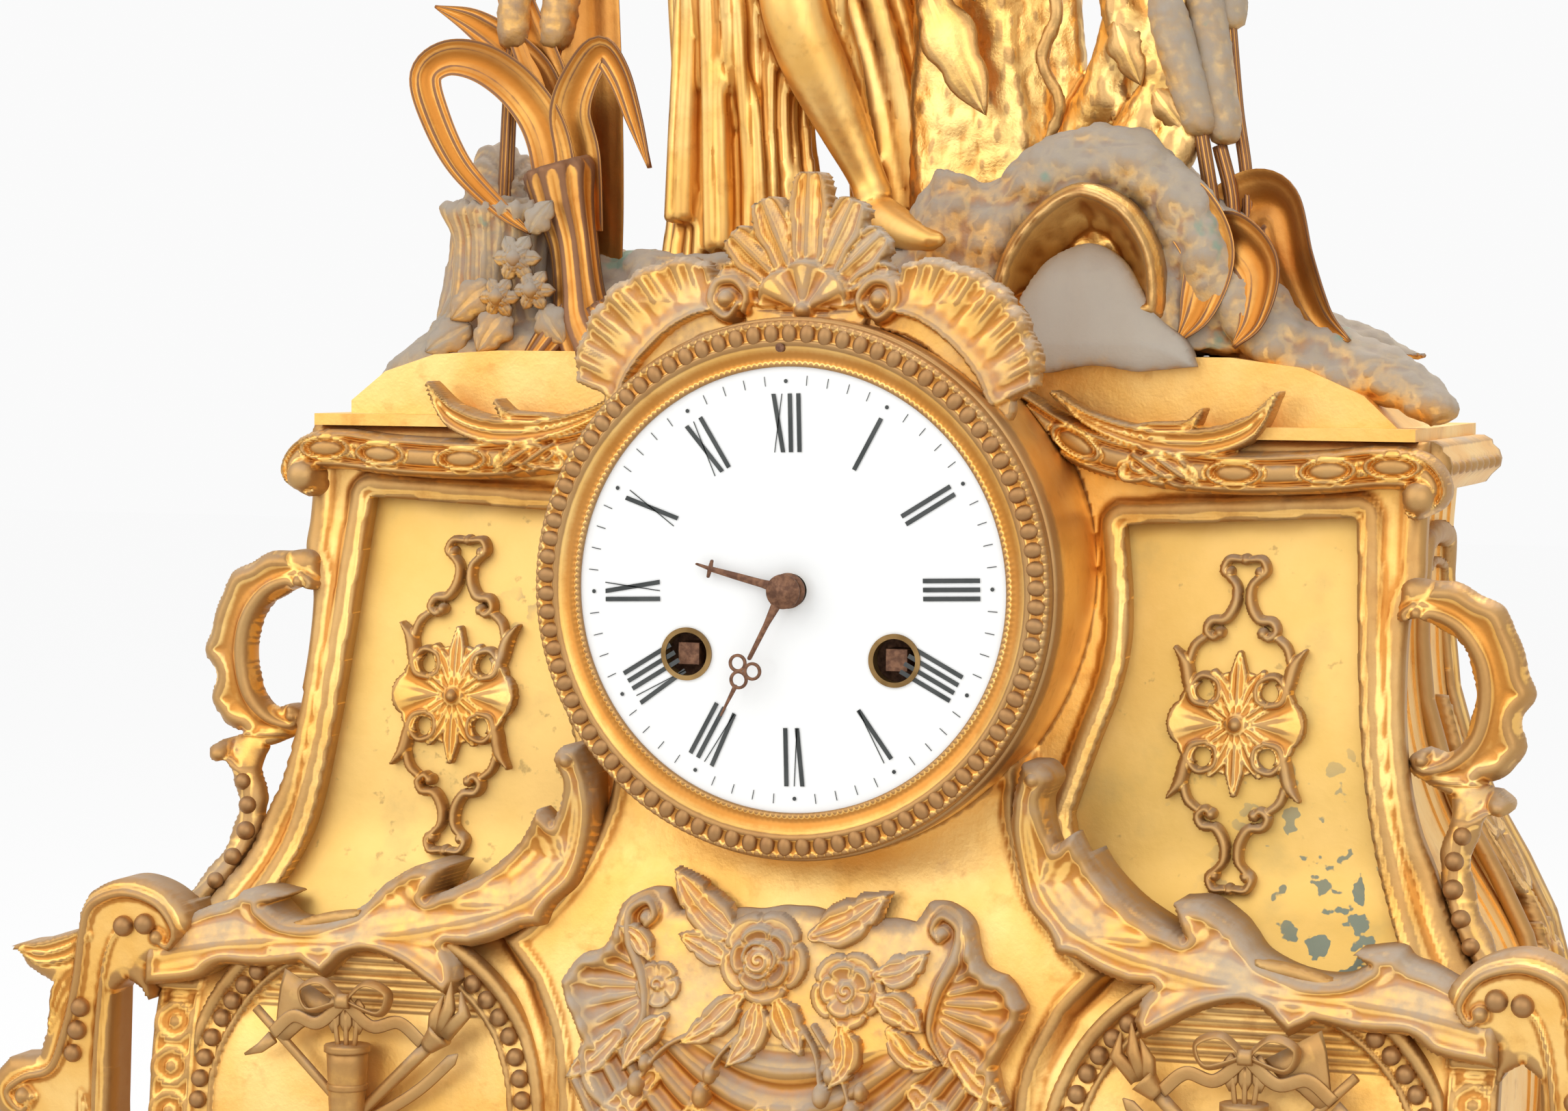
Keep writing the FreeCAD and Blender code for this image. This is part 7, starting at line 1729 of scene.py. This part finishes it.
def addFigure():
    f = figure
    parts = [foldedLevels("gown", f["gown"], 17, 0.085), foldedLevels("train", f["train"], 9, 0.12)]
    parts += [levels(key, f[key]) for key in ("neck", "head", "bun")]
    parts += [limb(key, f[key], 24) for key in ("thigh", "foot")]
    parts += [limb("arm", route, 20) for route in f["arms"]] + [limb("girdle", f["girdle"], 12)]
    parts += [limb("swag", route, 12, 0.8) for route in f["swags"]]
    parts += [limb("mantle", route, 16, 0.6) for route in f["mantle"]]
    parts += [ball(name, middle, halves) for name, middle, halves in faceForms]
    parts += [ball("bust", (x, 56.5, 124.5), (5.4, 5.2, 5.6)) for x in (-26.5, -15.5)]
    for i in range(5):
        out = 4.2 - i * 1.55
        parts.append(limb("toe", [(11.5 + out * 0.9, 49 - out * 0.2, 3.2, 1.7),
            (15.0 + out * 0.75, 45.6 + (4 - i) * -0.2 + i * 0.9, 1.8, 1.45)], 10))
    for i in range(4):
        for x, y, z, dx in ((-28, 49, 83.6, -0.4), (3.4, 48.8, 118, 0.4)):
            parts.append(limb("finger", [(x, y, z + i * 1.5 - 2.2, 1.25),
                (x + dx * 8, y - 1.8, z - 2 + i * 1.4, 1.1), (x + dx * 12, y - 0.5, z - 4 + i * 1.2, 0.9)],
                10))
    body = melt("figure", parts, f["voxel"], 2)
    points = placesOf(body.data)
    z = points[:, 2] - ledge
    head = z > 152
    hair = head & ((points[:, 1] > 60.5) | (z > 178.5) | (points[:, 1] > 57.5) & (z > 174))
    strands = np.sin((points[:, 2] + 0.9 * points[:, 0]) * 3.4 + 2.2 * clouds(points, 5.0)) * 0.32 + 0.9
    amount = np.where(hair, strands, 0)
    across = np.abs(points[:, 0] + 16)
    socket = np.exp(-((across - 3.1) / 1.7) ** 2 - ((z - 169.4) / 1.4) ** 2) * (points[:, 1] < 58)
    amount -= 0.7 * socket * (points[:, 1] > 53.9)
    leg = np.minimum(nearRoute(points, f["thigh"]), nearRoute(points, f["foot"]))
    arm = np.minimum(nearRoute(points, f["arms"][0]), nearRoute(points, f["arms"][1]))
    cloth = (z < 150) & (leg > 1.2) & (arm > 0.8)
    angle = np.arctan2(points[:, 1] - 64, points[:, 0] + 30)
    crease = np.sin(angle * 26 + 2.5 * clouds(points * np.array((1, 1, 0.35)), 16.0) + z * 0.02)
    amount += np.where(cloth, 0.42 * crease * np.clip((112 - z) / 30, 0.15, 1), 0)
    push(body.data, amount)
    finishPiece(body, "figure_gilt", instead=["figure"], rounds=2)
    print("figure", len(body.data.polygons))


def nearRoute(points, route):
    # how far outside a limb each point lies
    rows = onLedge(route, 2.5)
    gap = np.full(len(points), 1e9)
    for a, b in zip(rows, rows[1:]):
        step = b[:3] - a[:3]
        t = unit((points - a[:3]) @ step / max(step @ step, 1e-9))
        away = np.linalg.norm(points - a[:3] - t[:, None] * step, axis=1) - (a[3] + (b[3] - a[3]) * t)
        gap = np.minimum(gap, away)
    return gap


handTurns = {"minute": 207.0, "hour": 283.7}


def flatHand(name, runs, rings, turn, low, high, rodY):
    # a pierced steel hand: bars of changing width and little rings, drawn upright
    r = Relief(-6, 6, -7, 34, 0.12)
    rim = np.full(r.x.shape, -9.0)
    for points, half in runs:
        halves = np.interp(np.linspace(0, 1, 20), np.linspace(0, 1, len(half)), half)
        gap, along, _, total = r.line(points, 0.5)
        rim = np.maximum(rim, np.interp(along / total, np.linspace(0, 1, 20), halves) - gap)
    for x, z, radius, wide in rings:
        rim = np.maximum(rim, wide / 2 - np.abs(r.away(x, z) - radius))
    a = math.radians(turn)

    def turned(points):
        x = points[:, 0] * math.cos(a) + points[:, 2] * math.sin(a)
        z = -points[:, 0] * math.sin(a) + points[:, 2] * math.cos(a)
        return np.column_stack((x, points[:, 1], z))
    face = low + 0.22 * unit(1 - rim / 0.6)
    plate = r.solid(name, rim, face, np.full(rim.shape, high), turned)
    collar = lathe("collar", [(0.01, rodY - 0.2), (1.2, rodY - 0.2), (1.5, rodY + 0.2), (3.3, rodY + 0.5),
        (3.5, rodY + 0.9), (3.4, high), (0.01, high)], 40)
    return joinPieces(name, [plate, collar])


def addHands():
    minuteFront, hourFront = ((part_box(node)[0].y - dialCentre[1]) / millimetre for node in ("minute_hand",
        "hour_hand"))
    minute = flatHand("minute_hand", [([(0, 0), (0, 9), (0, 15.2)], [1.3, 0.55, 0.42]),
        ([(0, 21.8), (0, 28.4)], [0.45, 0.16])], [(-1.75, 17.3, 1.55, 0.62), (1.75, 17.3, 1.55, 0.62),
        (0, 20.2, 1.6, 0.62), (0, 0, 2.4, 2.2)], handTurns["minute"], minuteFront + 0.5, minuteFront + 1.15,
        minuteFront)
    finishPiece(minute, "rusted_steel", "minute_hand_arbor", ["minute_hand"], 1)
    hour = flatHand("hour_hand", [([(0, 0), (0, 6), (0, 12), (0, 17)], [1.4, 0.8, 0.7, 0.5]),
        ([(0, 17), (0.2, 20)], [0.4, 0.22]), ([(-1.6, 17), (1.6, 17)], [0.3, 0.45, 0.3])],
        [(0, 0, 2.4, 2.4)], handTurns["hour"], hourFront, hourFront + 0.7, hourFront + 0.2)
    finishPiece(hour, "rusted_steel", "hour_hand_pipe", ["hour_hand"], 1)
    print("hands", minuteFront, hourFront)


addFigure()
addHands()
print("figure and hands")


# Sides, plinth and feet; side heights follow the casting's own curve
sides = {"curve": [(-158, 142.7), (-143, 141), (-131, 141.1), (-107, 143.1), (-95, 143.2), (-83, 142.3),
    (-71, 139), (-59, 133), (-47, 126), (-35, 121), (-23, 117.5), (-11, 116.3), (1, 116.1), (25, 117.8)],
    "frame": [(66, -147), (104, -147), (105, -100), (104, -50), (102, 2), (94, 10), (76, 10), (68, 2),
    (67, -50), (66, -100), (66, -147)], "rosette": (85, -78), "section": [(-8, -5.6), (-1, -5.6),
    (1.2, -5.0), (2.4, -3.4), (4.3, -1.6), (4.6, 0.2), (4.0, 2.0), (2.6, 3.2), (2.4, 4.2), (0.6, 5.2),
    (-8, 5.2)]}


def addSides():
    s = sides
    x, z = s["rosette"]
    r = Relief(54, 108, -152, 15, 0.6)
    r.stroke(s["frame"], [2.4, 2.4], 2.0)
    r.stroke([(a * 0.86 + x * 0.14, b * 0.93 + z * 0.07) for a, b in s["frame"]], [0.8, 0.8], 1.1)
    for i in range(8):
        a = math.radians(i * 45)
        size = 14 if i % 2 == 0 else 10
        r.blade([(x, z), (x + size * 0.6 * math.sin(a), z + size * 0.6 * math.cos(a)),
            (x + size * math.sin(a), z + size * math.cos(a))], [0.8, 3.0, 3.4, 0.4], 2.6, 0.25, 0.25)
    for up in (-1, 1):
        r.stroke([(x, z + up * 12), (x, z + up * 26), (x, z + up * 44)], [1.4, 1.0, 0.6], 2.0)
        for turn in (-1, 1):
            for low, tall in ((14, 15), (25, 13)):
                r.blade([(x, z + up * low), (x + turn * 7, z + up * (low + 3)),
                    (x + turn * 11, z + up * (low + tall))], [0.6, 2.6, 2.6, 0.3], 2.2, 0.2, 0.3)
        r.blade([(x, z + up * 34), (x, z + up * 46), (x, z + up * 54)], [0.8, 3.6, 0.4], 2.4, 0.25, 0.25)
    r.disc(x, z, 3.6, 4.2)

    def onSide(points):
        surface = np.interp(points[:, 2], *np.array(s["curve"]).T)
        return np.column_stack((surface - points[:, 1], points[:, 0], points[:, 2]))
    half = r.solid("side_mount", r.rim, -0.2 - r.height.clip(0.3), np.full(r.x.shape, 1.4), onSide)
    withTwin("side_mounts", half, "relief_gilt")
    section = np.array(s["section"])
    path = [(121.6, y, 25.8) for y in np.linspace(42.2, 115, 74)]
    rail = sweep("side_cornice", path, np.ones(74), lambda circle, half: section, (0, 0, 1))
    places = [(124.9, 47.0 + 8.6 * i, 25.6) for i in range(8)]
    beads = beadRow("side_cabochons", places, (2.2, 3.3, 1.7), segments=16)
    half = joinPieces("side_cornices", [rail, beads])
    withTwin("side_cornices", half, "relief_gilt", ["side_cornices"])


plinth = {"half": 173.0, "front": -14.0, "back": 124.0, "height": -167.2, "pitch": 7.9,
    "bead": (3.2, 1.7, 2.5)}


def addPlinthTrim():
    p = plinth
    count = round(2 * p["half"] / p["pitch"])
    places = [(-p["half"] + (i + 0.5) * 2 * p["half"] / count, p["front"] + 0.4,
        p["height"]) for i in range(count)]
    turns = [(0, 0, 0)] * count
    deep = round((p["back"] - p["front"]) / p["pitch"])
    for i in range(deep):
        y = p["front"] + (i + 0.5) * (p["back"] - p["front"]) / deep
        places += [(side * (p["half"] - 0.4), y, p["height"]) for side in (-1, 1)]
    turns += [(0, 0, math.pi / 2)] * deep * 2
    beads = beadRow("plinth_beads", places, p["bead"], turns, 14)
    finishPiece(beads, "bead_gilt")
    r = Relief(146, 177, -183, -170.8, 0.5)
    r.stroke([(150, -172.6), (160, -173), (171, -173.4), (175, -177), (171.6, -180.6), (167.6, -178.6),
        (170, -176.6)], [0.9, 1.3, 1.7, 1.7, 1.4, 1.0], 2.2)
    r.blade([(168, -175), (160, -176), (154, -179.4)], [1.2, 2.8, 0.4], 2.0, 0.2, 0.3)
    r.disc(170.6, -177.4, 1.5, 2.8)
    rim = np.minimum(r.rim, 177 - r.x)
    half = r.solid("foot_scroll", rim, -17.8 - r.height.clip(0.2), np.full(r.x.shape, -16.6))
    withTwin("foot_scrolls", half, "relief_gilt")


addSides()
addPlinthTrim()
print("sides, plinth and feet")

meshes = [thing.data for thing in bpy.data.objects if thing.type == "MESH"]
print("triangles", sum(len(face.vertices) - 2 for mesh in meshes for face in mesh.polygons))
